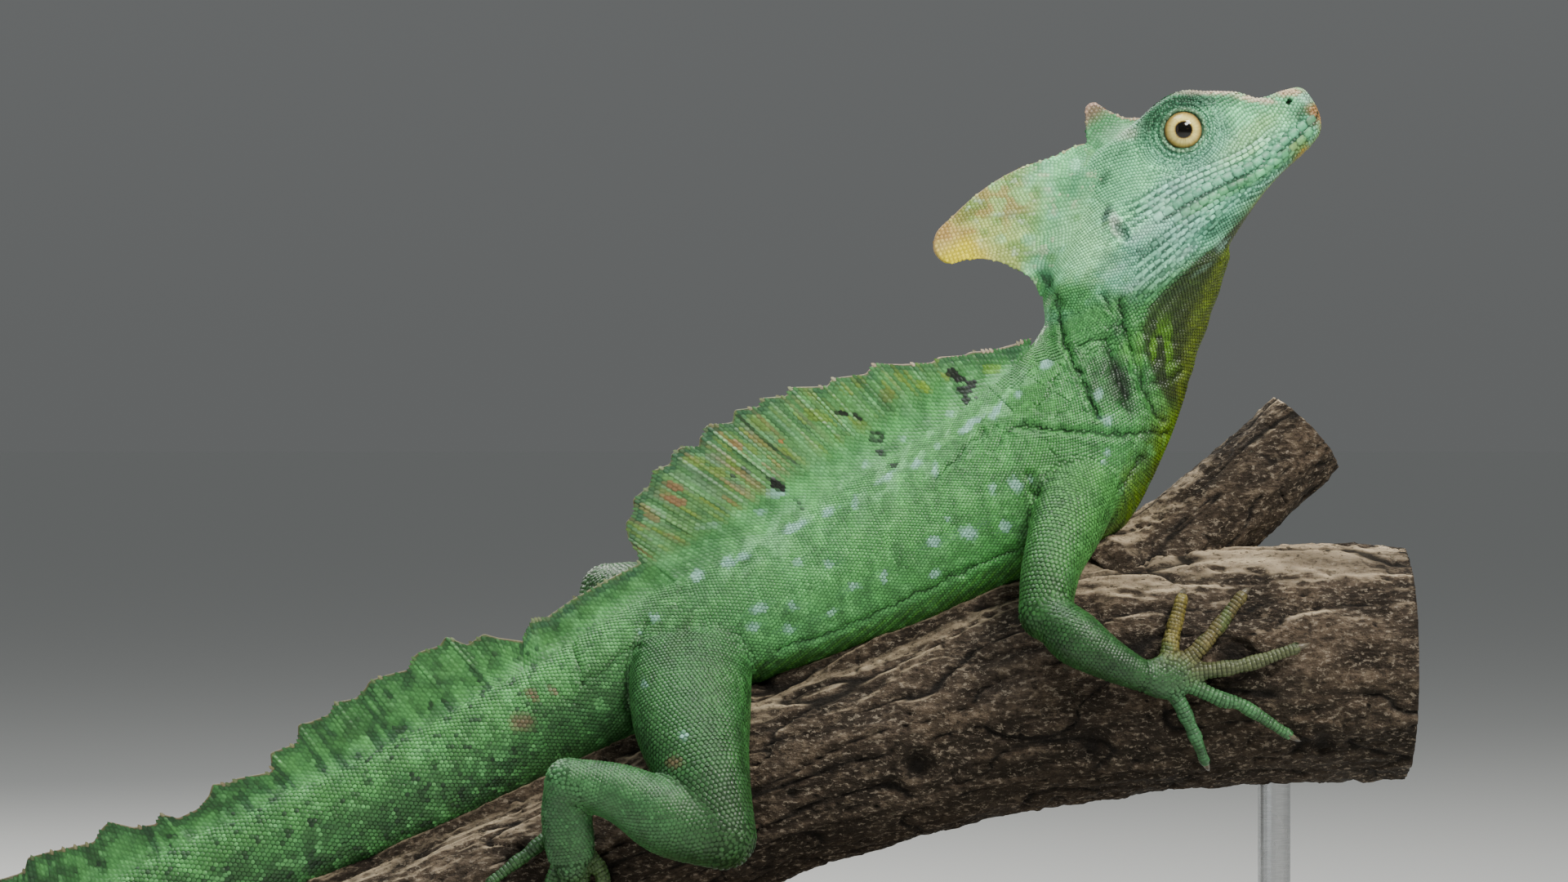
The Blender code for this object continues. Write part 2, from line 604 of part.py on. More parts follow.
def crests(rows, stops):
    last = 0.35
    line, ray = stepped(SAIL_EDGE, 18)
    root = fan(rows, line, SAIL_FAN, last)
    edge = [at(u, v) for u, v in line]
    edge = [e if (e - r).length > 1.2 * MM else r + (e - r).normalized() * 1.2 * MM
            for e, r in zip(edge, root)]
    vane("crest_back", root, edge, (1.7, 0.6), 3, [0.8 * r for r in ray], "crest")

    line, ray = stepped(FIN_EDGE, 17)
    root = fan(rows, line, FIN_FAN, last)
    root[-1] = back_line(rows, stops["tail_f"], last)
    edge = [at(u, v) for u, v in line]
    last_mark = stops["tail_f"]
    cut = len(edge) // 2
    for name, a, b in (("crest_tail_1", 0, cut), ("crest_tail_2", cut, len(edge) - 1)):
        r, e = root[a:b + 1], edge[a:b + 1]
        if a:
            shift = (r[1] - r[0]).normalized() * GAP
            r = [r[0] + shift] + r[1:]
            e = [e[0] + shift] + e[1:]
        vane(name, r, e, (1.6, 0.6), 2, [0.6 * q for q in ray[a:b + 1]], "crest")

    random = np.random.default_rng(12)
    root, edge, ray = [], [], []
    count = 33
    reach = 0.46
    deep = random.uniform(0.8, 1.2, count)
    for i in range(count):
        share = i / (count - 1)
        mark = last_mark + (rows[-1]["mark"] - last_mark) * reach * share
        base = back_line(rows, mark, last)
        tip = back_line(rows, mark + 12, 1)
        lean = (tip - base).normalized()
        high = 12.6 * (1 - share) ** 0.9 + 0.9
        tooth = (0.77, 0.88, 0.95, 1.0)[i % 4]
        root.append(base + (lean * 0 if i else (back_line(rows, mark + 6, last) - base)
                            .normalized() * GAP))
        up = (back_line(rows, mark, 2) - base).normalized()
        slant = 0.25 * min(1.0, 8 * share)
        edge.append(root[-1] + (up * 0.95 + lean * slant) * high * tooth * deep[i] ** 0.3 * MM)
        ray.append(0.5 if i % 4 == 3 else 0.1)
    vane("crest_tail_3", root, edge, (1.3, 0.55), 2, ray, "crest")


CASQUE_EDGE = [(50.6, 25.4), (58.6, 27.8), (67, 30.0), (78, 30.4), (87.2, 29.0), (92.8, 27.6),
               (95.4, 24.4), (94.6, 20.4), (90.5, 18.7), (85.0, 15.2), (81.2, 10.4),
               (79.0, 5.4), (79.6, 1.0)]
CASQUE_ROOT = [(50.9, None), (78.9, None)]
BROW_EDGE = [(35.4, 24.3), (38.4, 26.4), (41.0, 30.2), (43.2, 33.8), (44.8, 33.8), (46.4, 31.6),
             (48.2, 28.6), (49.7, 25.4)]


def head_top(s):
    return float(smooth(HEAD_S, HEAD["top"], s)[0, 0])


def head_crests():
    n = 27
    pts, share = through([head_at(s, h) for s, h in CASQUE_EDGE], n)
    random = np.random.default_rng(3)
    root, edge = [], []
    for i, t in enumerate(share):
        s = CASQUE_ROOT[0][0] + (CASQUE_ROOT[1][0] - CASQUE_ROOT[0][0]) * t ** 1.15
        base = head_at(s, head_top(s) + 0.55)
        root.append(base)
        reach = pts[i] - base
        if reach.length < 1.0 * MM:
            reach = reach.normalized() * 1.0 * MM
        edge.append(base + reach * (1 + 0.012 * random.uniform(-1, 1)))
    vane("crest_head", root, edge, (3.4, 1.0), 4, [0.25 * (i % 3 == 0) for i in range(n)], "buff")
    n = 13
    pts, share = through([head_at(s, h) for s, h in BROW_EDGE], n)
    root, edge = [], []
    for i, t in enumerate(share):
        s = 35.6 + (49.6 - 35.6) * t
        base = head_at(s, head_top(s) + 0.45)
        reach = pts[i] - base
        if reach.length < 0.8 * MM:
            reach = (head_at(0, 1) - head_at(0, 0)).normalized() * 0.8 * MM
        root.append(base)
        edge.append(base + reach)
    vane("crest_brow", root, edge, (2.6, 0.9), 3, [0.0] * n, "buff")


class Surface:
    """Nearest point of the perch, lifted off it."""

    def __init__(self, obj):
        mesh = obj.data
        self.tree = BVHTree.FromPolygons([v.co for v in mesh.vertices],
                                         [tuple(p.vertices) for p in mesh.polygons])

    def over(self, point, lift):
        spot, normal, _, _ = self.tree.find_nearest(point)
        return spot + normal * lift * MM


def digit(name, ground, points, thick, claw, raise_tip, look):
    """A finger or toe with its claw, lying on the perch."""
    count = 9
    path, share = through([at(*p) for p in points], count)
    radii, centres = [], []
    for i, t in enumerate(share):
        knuckle = 1 + 0.10 * math.cos(2 * math.pi * (t * 3.2 - 0.1))
        r = (thick[0] + (thick[1] - thick[0]) * t) * knuckle
        radii.append(r)
        lift = r + 0.55 + raise_tip * t ** 2
        centres.append(ground.over(path[i], lift))
    run = (centres[-1] - centres[-2]).normalized()
    down = (ground.over(centres[-1], 0) - centres[-1]).normalized()
    tip = centres[-1]
    for k, (ahead, drop, r) in enumerate(((0.32, 0.0, 0.62), (0.64, 0.16, 0.42),
                                          (0.94, 0.42, 0.20))):
        centres.append(tip + (run * ahead + down * (drop * raise_tip * 0.25 + drop * 0.45)) * claw
                       * MM)
        radii.append(radii[count - 1] * r if k < 2 else 0.26)
    n = len(centres)
    rows = []
    for i, p in enumerate(centres):
        run = (centres[min(i + 1, n - 1)] - centres[max(i - 1, 0)]).normalized()
        side = run.cross(Vector((0, 0.05, 1)) if abs(run.z) < 0.9 else Vector((1, 0, 0)))
        side.normalize()
        over = run.cross(side)
        rows.append([p + (side * math.cos(a) + over * math.sin(a)) * radii[i] * MM
                     for a in (2 * math.pi * k / SIDES_DIGIT for k in range(SIDES_DIGIT))])
    return piece(name, *rings(rows), look)


# Limbs: path points (u, v, y in mm) and half widths along them.
ARM_R = dict(
    upper=[(1325, 590, -9), (1300, 648, -21), (1282, 700, -29), (1277, 748, -33)],
    upper_w=(8.2, 8.6, 7.0, 5.9), upper_t=(9.5, 9.0, 7.2, 6.2),
    fore=[(1276, 742, -33), (1316, 780, -36.5), (1366, 812, -36.5), (1414, 836, -34.6)],
    fore_w=(5.0, 6.6, 5.2, 3.7), fore_t=(5.0, 6.2, 5.0, 3.6),
    palm=[(1415, 836, -34.6), (1430, 837, -33.9), (1446, 836, -33.2), (1457, 835, -33.0)],
    palm_w=(2.6, 2.8, 2.5, 1.8), palm_t=(3.7, 5.0, 5.6, 4.2),
    digits=[([(1434, 824, -34), (1433, 790, -32), (1440, 742, -27)], (2.3, 1.6), 2.6),
            ([(1448, 826, -34), (1480, 790, -33), (1514, 752, -30)], (2.2, 1.5), 3.4),
            ([(1454, 832, -34), (1510, 812, -34), (1572, 797, -33)], (2.2, 1.4), 2.2),
            ([(1454, 840, -34), (1510, 862, -33), (1572, 903, -29)], (2.1, 1.3), 0.6),
            ([(1444, 846, -34), (1462, 888, -31), (1476, 934, -24)], (2.1, 1.3), 0.5)])
ARM_L = dict(
    upper=[(1330, 592, 9), (1330, 640, 22), (1332, 690, 32), (1338, 740, 37)],
    upper_w=(8.2, 8.6, 7.0, 5.9), upper_t=(9.5, 9.0, 7.2, 6.2),
    fore=[(1337, 735, 37), (1380, 768, 40), (1430, 796, 39), (1480, 816, 37)],
    fore_w=(5.0, 6.4, 5.0, 3.7), fore_t=(5.0, 6.2, 5.0, 3.6),
    palm=[(1481, 816, 37), (1496, 819, 36), (1510, 821, 35.4), (1521, 822, 35)],
    palm_w=(2.6, 2.8, 2.5, 1.8), palm_t=(3.7, 5.0, 5.6, 4.2),
    digits=[([(1500, 806, 35), (1500, 768, 33), (1512, 724, 26)], (2.3, 1.6), 1.2),
            ([(1513, 810, 35), (1548, 778, 34), (1588, 744, 30)], (2.2, 1.5), 0.8),
            ([(1520, 818, 35), (1578, 806, 35), (1642, 800, 35)], (2.2, 1.4), 0.6),
            ([(1520, 826, 35), (1576, 846, 34), (1634, 884, 30)], (2.1, 1.3), 0.6),
            ([(1510, 832, 35), (1530, 872, 32), (1548, 920, 25)], (2.1, 1.3), 0.5)])
LEG_R = dict(
    upper=[(846, 796, -7), (848, 880, -19), (866, 960, -30), (888, 1026, -35)],
    upper_w=(10.0, 10.5, 9.6, 7.2), upper_t=(15.0, 14.4, 11.4, 7.8),
    fore=[(885, 1030, -35), (826, 1004, -35), (762, 966, -33), (702, 950, -32)],
    fore_w=(5.6, 7.4, 6.0, 5.2), fore_t=(7.2, 8.4, 7.0, 5.6),
    palm=[(704, 946, -32), (700, 978, -31), (702, 1010, -30), (706, 1044, -29)],
    palm_w=(5.0, 3.8, 3.2, 2.6), palm_t=(5.6, 6.0, 6.2, 5.6),
    digits=[([(722, 1034, -27), (742, 1060, -27), (748, 1104, -27)], (2.2, 1.5), 0.6),
            ([(712, 1040, -27), (722, 1096, -27), (726, 1158, -24)], (2.3, 1.5), 0.6),
            ([(704, 1042, -27), (700, 1112, -27), (694, 1186, -19)], (2.4, 1.5), 0.6),
            ([(696, 1036, -27), (668, 1106, -27), (640, 1176, -21)], (2.3, 1.4), 0.6),
            ([(688, 990, -27), (650, 1026, -27), (606, 1070, -24)], (2.0, 1.3), 0.6)])
LEG_L = dict(
    upper=[(840, 790, 7), (812, 762, 19), (774, 738, 31), (738, 730, 40)],
    upper_w=(12.0, 12.4, 10.0, 6.6), upper_t=(11.0, 10.6, 9.4, 7.0),
    fore=[(737, 728, 39), (722, 800, 38), (708, 880, 35), (700, 946, 32)],
    fore_w=(6.0, 7.6, 5.6, 4.4), fore_t=(6.0, 7.8, 5.8, 4.6),
    palm=[(700, 946, 32), (688, 976, 31), (676, 1006, 30), (664, 1038, 29)],
    palm_w=(4.4, 3.0, 2.8, 2.4), palm_t=(4.6, 5.6, 5.8, 5.2),
    digits=[([(680, 1030, 27), (704, 1060, 27), (722, 1098, 26)], (2.2, 1.5), 0.6),
            ([(672, 1036, 27), (686, 1092, 27), (696, 1152, 24)], (2.3, 1.5), 0.6),
            ([(664, 1038, 27), (654, 1112, 27), (640, 1184, 20)], (2.4, 1.5), 0.6),
            ([(656, 1034, 27), (616, 1096, 27), (580, 1162, 22)], (2.3, 1.4), 0.6),
            ([(656, 990, 27), (612, 1030, 27), (566, 1078, 25)], (2.0, 1.3), 0.6)])


def limb(data, tag, names, host, ground, perch_obj, claw):
    """Upper part, lower part and foot of one limb, each clear of the one before."""
    upper = tube(names[0] + tag, [at(*p) for p in data["upper"]], data["upper_w"],
                 data["upper_t"], "limb", 8)
    end = at(*data["upper"][-1])
    cap = piece("cap", *ball(end, tuple(r * MM for r in (
        data["upper_t"][-1] * 1.04, data["upper_w"][-1] * 1.04, data["upper_t"][-1] * 1.04)),
        12, 8), "limb")
    combine(upper, [cap], "UNION", "MANIFOLD")
    for other in (*host, perch_obj):
        carve(upper, other, solver="MANIFOLD")
    lower = tube(names[1] + tag, [at(*p) for p in data["fore"]], data["fore_w"],
                 data["fore_t"], "limb", 8)
    foot = tube(names[2] + tag, [at(*p) for p in data["palm"]], data["palm_w"],
                data["palm_t"], "limb", 5, 10)
    knob = piece("knob", *ball(at(*data["palm"][-1]), (data["palm_w"][-1] * 1.5 * MM,
                 data["palm_w"][-1] * 1.05 * MM, data["palm_t"][-1] * MM), 10, 6), "limb")
    toes = [digit("digit", ground, pts, thick, claw, lift, "limb")
            for pts, thick, lift in data["digits"]]
    combine(foot, [knob] + toes, "UNION", "MANIFOLD")
    carve(foot, perch_obj, solver="MANIFOLD")
    for other in (upper, foot, perch_obj):
        carve(lower, other, solver="MANIFOLD")
    return upper, lower, foot


def stand(perch_obj):
    length, width, height = BASE_SIZE
    bpy.ops.mesh.primitive_cube_add(size=1, location=(0, 0, height / 2))
    base = bpy.context.object
    base.name = base.data.name = "stand_base"
    base.data.transform(Matrix.Diagonal((length, width, height, 1)))
    base.data.materials.append(material("board", 0.45))
    edge = base.modifiers.new("edge", "BEVEL")
    edge.width = BASE_EDGE
    edge.segments = 3
    for name, u in zip(("stand_rod_front", "stand_rod_rear"), ROD_U):
        spot = at(u, SHEET_V)
        v = float(np.interp(-u, [-row[0] for row in PERCH], [row[1] for row in PERCH]))
        top = at(u, v).z
        rows = []
        for z in (height + GAP, top):
            rows.append([Vector((spot.x + ROD_RADIUS * math.cos(a), ROD_RADIUS * math.sin(a), z))
                         for a in (2 * math.pi * k / 24 for k in range(24))])
        rod = piece(name, *rings(rows), "steel", 0.3, 1.0)
        carve(rod, perch_obj)


def main():
    for obj in list(bpy.data.objects):
        bpy.data.objects.remove(obj, do_unlink=True)
    wood = perch()
    ground = Surface(wood)
    rows, stops = body_rows()
    head_obj = head()
    neck = stretch("neck", rows, stops["nape"], stops["fold"], "throat")
    torso = stretch("torso", rows, stops["fold"], stops["vent"], "green")
    ends = [stops["vent"], stops["tail_c"], stops["tail_f"]]
    whole = rows[-1]["mark"]
    tail_marks = [r["mark"] for r in rows if r["mark"] > stops["tail_f"]]
    ends += [tail_marks[7], tail_marks[15], whole]
    tails = [stretch("tail_%d" % (i + 1), rows, a, b, "tail")
             for i, (a, b) in enumerate(zip(ends[:-1], ends[1:]))]
    crests(rows, stops)
    head_crests()
    arm = ("upper_arm_", "forearm_", "hand_")
    leg = ("thigh_", "shank_", "foot_")
    limb(ARM_R, "r", arm, (neck, torso), ground, wood, 4.2)
    limb(ARM_L, "l", arm, (neck, torso), ground, wood, 4.2)
    limb(LEG_R, "r", leg, (torso, tails[0]), ground, wood, 4.6)
    limb(LEG_L, "l", leg, (torso, tails[0]), ground, wood, 4.6)
    carve(wood, torso, tails[0], tails[1])
    stand(wood)
    return head_obj


main()
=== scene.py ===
# %% [markdown]
# # A green basilisk on a cut branch
#
# A male green basilisk lies along a thick branch with its head raised. Its
# looks come from four things: one continuous skin with folds and swellings,
# about ninety thousand small solid scales that follow the lie of the body,
# thin crests held up by rays, and soft markings shared by skin and scales.
# The hard model underneath gives every place and size; this file only
# dresses it. All lengths are in metres unless a name says mm.

# %% Load the frame
import math

import bmesh
import bpy
import numpy as np
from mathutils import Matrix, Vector
from mathutils.bvhtree import BVHTree
from mathutils.kdtree import KDTree


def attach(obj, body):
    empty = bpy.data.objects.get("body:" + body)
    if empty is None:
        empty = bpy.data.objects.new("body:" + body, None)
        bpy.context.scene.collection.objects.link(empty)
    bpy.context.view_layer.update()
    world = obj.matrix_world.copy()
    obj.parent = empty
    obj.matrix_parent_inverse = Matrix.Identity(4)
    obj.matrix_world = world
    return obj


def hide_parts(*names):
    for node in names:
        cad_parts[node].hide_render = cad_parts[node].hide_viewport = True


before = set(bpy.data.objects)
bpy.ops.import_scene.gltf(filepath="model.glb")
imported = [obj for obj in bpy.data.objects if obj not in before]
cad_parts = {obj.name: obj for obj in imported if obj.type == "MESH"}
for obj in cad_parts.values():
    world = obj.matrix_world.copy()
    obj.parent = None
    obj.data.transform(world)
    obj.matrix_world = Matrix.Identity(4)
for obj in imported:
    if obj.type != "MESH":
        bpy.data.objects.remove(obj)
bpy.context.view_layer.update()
MM = 0.001
UNIT = 0.0002       # a unit of the side-view sheet, a fifth of a millimetre
LIFT = 0.080        # the sheet's bottom line over the floor

# %% [markdown]
# ## Camera, floor and light
#
# The animal is seen in pure profile from its right side, level with the middle
# of its body, through a long lens. A long lens far away keeps the profile free
# of perspective. The floor is pale and runs far out, and near the horizon the
# room is as bright as the far floor, so that no line crosses the picture.


# %% Camera, floor and light
def link(obj):
    bpy.context.scene.collection.objects.link(obj)
    return obj


def aim(obj, target):
    obj.rotation_euler = (Vector(target) - obj.location).to_track_quat("-Z", "Y").to_euler()


def make_studio():
    lens = bpy.data.cameras.new("camera")
    lens.lens, lens.sensor_width = 120, 36
    camera = link(bpy.data.objects.new("camera", lens))
    camera.location = (-0.008, -1.28, LIFT + 0.108)
    camera.rotation_euler = (math.radians(90), 0, 0)
    bpy.context.scene.camera = camera
    mesh = bpy.data.meshes.new("studio_floor")
    mesh.from_pydata([(x, y, 0.0) for y in (-90, 90) for x in (-90, 90)], [], [(0, 1, 3, 2)])
    floor = link(bpy.data.objects.new("studio_floor", mesh))
    pale = bpy.data.materials.new("studio_paper")
    pale.use_nodes = True
    pale.node_tree.nodes["Principled BSDF"].inputs["Base Color"].default_value = (.60, .60, .58, 1)
    pale.node_tree.nodes["Principled BSDF"].inputs["Roughness"].default_value = 0.9
    mesh.materials.append(pale)
    for name, where, size, power, tone in (
            ("key", (.75, -.85, 1.25), .5, 24, (1.0, .97, .91)),
            ("sky", (-.3, .15, 1.45), .9, 18, (.94, .98, 1.0)),
            ("fill", (-1.1, -1.2, .45), 1.3, 2.2, (.93, .97, 1.0)),
            ("rim", (-.55, .85, .85), .45, 8, (1.0, .97, .92))):
        lamp = bpy.data.lights.new(name, "AREA")
        lamp.size, lamp.energy, lamp.color = size, power, tone
        obj = link(bpy.data.objects.new(name, lamp))
        obj.location = where
        aim(obj, (0.0, 0.0, 0.18))
    lamp = bpy.data.lights.new("head_light", "SPOT")
    lamp.energy, lamp.spot_size, lamp.spot_blend = 19, math.radians(21), 1.0
    lamp.shadow_soft_size = 0.12
    obj = link(bpy.data.objects.new("head_light", lamp))
    obj.location = (0.36, -0.75, 0.78)
    aim(obj, (0.080, 0.0, 0.278))
    world = bpy.data.worlds.new("soft_room")
    world.use_nodes = True
    tree = world.node_tree
    parts = {key: tree.nodes.new("ShaderNode" + key) for key in (
        "TexCoord", "SeparateXYZ", "ValToRGB")}
    tree.links.new(parts["TexCoord"].outputs["Generated"], parts["SeparateXYZ"].inputs[0])
    tree.links.new(parts["SeparateXYZ"].outputs["Z"], parts["ValToRGB"].inputs["Fac"])
    tree.links.new(parts["ValToRGB"].outputs["Color"], tree.nodes["Background"].inputs["Color"])
    sky = parts["ValToRGB"].color_ramp.elements
    sky[0].position, sky[0].color = 0.02, (0.126, 0.131, 0.131, 1)
    sky[1].position, sky[1].color = 0.60, (0.205, 0.215, 0.220, 1)
    bpy.context.scene.world = world
    return camera


print("camera at", [round(v, 3) for v in make_studio().location])

# %% [markdown]
# ## The drawing of the body
#
# The body is described as a boat builder would: by cross sections. A section
# of the trunk has a point on the back, a point on the belly and a half width.
# Between sections the values run through a smooth curve that never swings
# past its stations. The head has its own stations behind the snout, with
# heights and widths for brow, face, lips, jaw and chin.


# %% Curves and places
def at(u, v, y=0.0):
    """World point of a point of the side-view sheet; y is in millimetres."""
    return Vector(((u - 1000) * UNIT, y * MM, (1080 - v) * UNIT + LIFT))


PITCH = math.radians(33)
SNOUT = at(1610, 150)
AHEAD = Vector((math.cos(PITCH), 0, math.sin(PITCH)))
OVER = Vector((-math.sin(PITCH), 0, math.cos(PITCH)))
SIDE = Vector((0, 1, 0))


def head_at(s, h, y=0.0):
    """World point s behind the snout and h above the mouth, in millimetres."""
    return SNOUT - AHEAD * s * MM + OVER * h * MM + SIDE * y * MM


def held(x):
    """Kept between 0 and 1."""
    return np.clip(x, 0, 1)


def bell(x, width, power=2):
    return np.exp(-(x / width) ** power)


def unit(a):
    return a / np.maximum(np.linalg.norm(a, axis=-1, keepdims=True), 1e-12)


def run_along(points):
    """Length of the line through points up to each of them."""
    return np.r_[0, np.cumsum(np.linalg.norm(np.diff(points, axis=0), axis=1))]


def read_line(x, stops, line):
    """Rows of a line that stand at stops, read at x."""
    return np.stack([np.interp(x, stops, line[:, k]) for k in range(3)], -1)


def smooth(xs, ys, x):
    """Monotone cubic through the rows ys at xs, read at x."""
    xs, ys = np.asarray(xs, float), np.asarray(ys, float)
    if ys.ndim == 1:
        ys = ys[:, None]
    h = np.diff(xs)[:, None]
    d = np.diff(ys, axis=0) / h
    m = np.zeros_like(ys)
    m[0], m[-1] = d[0], d[-1]
    both = d[:-1] * d[1:] > 0
    w1, w2 = 2 * h[1:] + h[:-1], h[1:] + 2 * h[:-1]
    safe = np.where(both, w1 / np.where(both, d[:-1], 1) + w2 / np.where(both, d[1:], 1), 1)
    m[1:-1] = np.where(both, (w1 + w2) / safe, 0)
    x = np.atleast_1d(np.asarray(x, float))
    i = np.clip(np.searchsorted(xs, x) - 1, 0, len(xs) - 2)
    t = held((x - xs[i]) / h[i, 0])[:, None]
    return ((2 * t**3 - 3 * t**2 + 1) * ys[i] + (t**3 - 2 * t**2 + t) * h[i] * m[i]
            + (3 * t**2 - 2 * t**3) * ys[i + 1] + (t**3 - t**2) * h[i] * m[i + 1])


def through(points, count):
    """A smooth curve through 3-D points at even steps, and its shares."""
    p = np.array([tuple(q) for q in points], float)
    reach = run_along(p)
    m = np.gradient(p, reach, axis=0)
    x = np.linspace(0, reach[-1], count)
    i = np.clip(np.searchsorted(reach, x) - 1, 0, len(reach) - 2)
    h = (reach[i + 1] - reach[i])[:, None]
    t = (x - reach[i])[:, None] / h
    q = ((2 * t**3 - 3 * t**2 + 1) * p[i] + (t**3 - 2 * t**2 + t) * h * m[i]
         + (3 * t**2 - 2 * t**3) * p[i + 1] + (t**3 - t**2) * h * m[i + 1])
    return q, x / reach[-1]


print("snout at", [round(v, 4) for v in SNOUT])

# %% Sections of trunk and tail
# back point, belly point, half width in mm, roundness of back and belly, widest place
BODY = {
    "nape": (1282, 395, 1508, 308, 12.8, 2.2, 2.2, .5),
    "neck": (1274, 408, 1487, 373, 11.6, 2.1, 1.9, .5),
    "throat": (1268, 418, 1464, 440, 11.2, 2.0, 1.7, .46),
    "fold": (1256, 430, 1446, 500, 12.4, 2.0, 1.8, .46),
    "shoulder": (1240, 446, 1424, 556, 14.6, 1.9, 2.0, .5),
    "chest": (1204, 470, 1372, 648, 16.4, 1.8, 2.2, .55),
    "front": (1140, 512, 1272, 706, 17.0, 1.7, 2.4, .58),
    "middle": (1055, 566, 1152, 760, 17.0, 1.7, 2.4, .58),
    "loin": (965, 622, 1050, 797, 15.6, 1.7, 2.4, .57),
    "hip": (880, 672, 950, 828, 14.0, 1.7, 2.4, .55),
    "pelvis": (805, 716, 868, 862, 12.6, 1.8, 2.4, .55),
    "vent": (735, 757, 788, 900, 11.4, 1.8, 2.2, .52),
    "tail_root": (668, 800, 724, 928, 10.4, 1.8, 2.1, .5),
    "tail_a": (600, 838, 655, 961, 9.6, 1.8, 2.0, .5),
    "tail_b": (487, 900, 540, 1018, 8.6, 1.8, 2.0, .5),
    "tail_c": (373, 954, 423, 1067, 7.8, 1.8, 2.0, .5),
    "tail_d": (253, 1012, 300, 1119, 7.0, 1.8, 2.0, .5),
    "tail_e": (138, 1068, 180, 1168, 6.5, 1.9, 2.0, .5),
    "tail_f": (22, 1122, 60, 1216, 6.0, 1.9, 2.0, .5),
}
TAIL_BEYOND, TAIL_TIP = 355.0, 0.9      # free tail's length and its tip's half thickness


def tail_free(t):
    """Centre, half depth and half width of the free tail at share t of its length."""
    centre = (at(22, 1122) + at(60, 1216)) / 2
    steps = 160
    for i in range(int(round(t * steps))):
        q = i / steps
        pitch = (math.radians(-23.5) * max(0.0, 1 - q / 0.46) ** 1.2
                 + math.radians(2.0) * min(1, q / 0.46))
        yaw = math.radians(13) * math.sin(2 * math.pi * q * 1.05) * min(1, q * 3)
        centre = centre + Vector((-math.cos(pitch) * math.cos(yaw), math.sin(yaw),
                                  math.sin(pitch))) * TAIL_BEYOND * MM / steps
    return (centre, (9.9 - TAIL_TIP) * (1 - t) ** 0.92 + TAIL_TIP,
            (6.0 - TAIL_TIP) * (1 - t) ** 0.80 + TAIL_TIP)


def body_sections(step_mm):
    """Sections from nape to tail tip as arrays, one row each."""
    data = np.array(list(BODY.values()), float)
    mids = (data[:, 0:2] + data[:, 2:4]) / 2
    reach = run_along(mids)
    marks = np.linspace(0, reach[-1], int(reach[-1] * 0.2 / step_mm))
    out = []
    for m, r in zip(marks, smooth(reach, data, marks)):
        back, belly = at(r[0], r[1]), at(r[2], r[3])
        mid = back.lerp(belly, r[7])
        out.append((*mid, *(back - mid), *(belly - mid), 0, 1, 0, r[4] * MM, r[5], r[6], m))
    free = int(TAIL_BEYOND / step_mm)
    for i in range(1, free + 1):
        t = i / free
        c, depth, width = tail_free(t)
        run = (tail_free(min(1, t + 0.01))[0] - tail_free(t - 0.01)[0]).normalized()
        side = Vector((run.y, -run.x, 0)).normalized()
        side = side if side.y > 0 else -side
        up = side.cross(run)
        up = up if up.z > 0 else -up
        out.append((*c, *(up * depth * MM), *(-up * depth * MM), *side, width * MM, 2.0, 2.0,
                    reach[-1] + t * TAIL_BEYOND * 5))
    return np.array(out), reach[-1]


def body_ring(row, turns):
    """Points of one section at the given turns, from the back over the left side."""
    c, up, down, side = row[0:3], row[3:6], row[6:9], row[9:12]
    s, k = np.sin(turns), np.cos(turns)
    e = np.where(k > 0, row[13], row[14])
    arm = np.where((k > 0)[:, None], up, down)
    across = np.sign(s) * np.abs(s) ** (2 / e)
    return c + arm * (np.abs(k) ** (2 / e))[:, None] + side * (across * row[12])[:, None]


TRUNK, TAIL_MARK = body_sections(1.0)
BACK = TRUNK[:, 0:3] + TRUNK[:, 3:6]
print("trunk and tail:", len(TRUNK), "sections")

# %% Stations of the head
HEAD_S = (-2.4, -1.7, 0.5, 3.5, 8, 13, 19, 25, 31, 35.2, 40, 46, 52, 60, 68, 75, 79, 81.7)
HEAD = {
    "top": (7.2, 9.0, 10.1, 10.8, 11.4, 15.6, 19.4, 22.9, 23.6, 23.2, 23.2, 23.6, 22.8,
            18.6, 12.6, 6.0, .8, -4.6),
    "brow_rise": (-.3, -.4, -.4, .1, .6, 1.3, 1.2, 1.3, 1.0, .6, 0.0, -1.0, -1.6,
                  -2.2, -2.2, -2.0, -1.4, -.2),
    "brow_w": (.8, 2.2, 3.4, 3.8, 4.6, 6.4, 9.2, 11.2, 11.2, 10.0, 8.4, 6.8, 5.4,
               4.2, 3.2, 2.4, 1.6, .5),
    "face_w": (.9, 2.6, 3.9, 4.5, 5.0, 6.3, 8.8, 10.8, 11.8, 12.3, 12.5, 12.5, 12.0,
               11.0, 9.6, 7.4, 4.8, .7),
    "lip_w": (.8, 2.4, 3.9, 4.9, 6.1, 7.7, 9.6, 11.3, 12.5, 13.2, 13.8, 14.3, 14.3,
              13.7, 12.4, 9.7, 6.6, .8),
    "mouth": (4.2, 1.9, .2, -.2, -.9, -1.4, -1.7, -1.0, -.2, .1, .3, .2, 0.0,
              -.4, -1.6, -3.0, -4.0, -5.0),
    "jaw_w": (.6, 1.8, 3.2, 4.4, 5.6, 7.0, 8.8, 10.2, 11.4, 12.0, 12.8, 13.6, 13.9,
              13.5, 12.3, 9.8, 6.8, .7),
    "edge_w": (.4, 1.0, 2.3, 3.4, 4.3, 5.2, 6.2, 6.9, 6.6, 2.6),
    "edge_h": (3.4, .6, -2.2, -3.4, -4.4, -5.2, -6.4, -8.0, -10.4, -13.6),
    "chin": (3.1, .1, -2.8, -4.0, -4.9, -5.7, -7.2, -9.5, -12.2, -14.1),
}
CUT = ((35.2, -14.1), (81.7, -5.4))     # the head's underside, where the neck joins
EYE_S, EYE_H, EYE_Y, EYE_R = 29.2, 15.9, 7.9, 5.7


def head_read(name, s):
    v = HEAD[name]
    return smooth(HEAD_S[:len(v)], v, s)[:, 0]


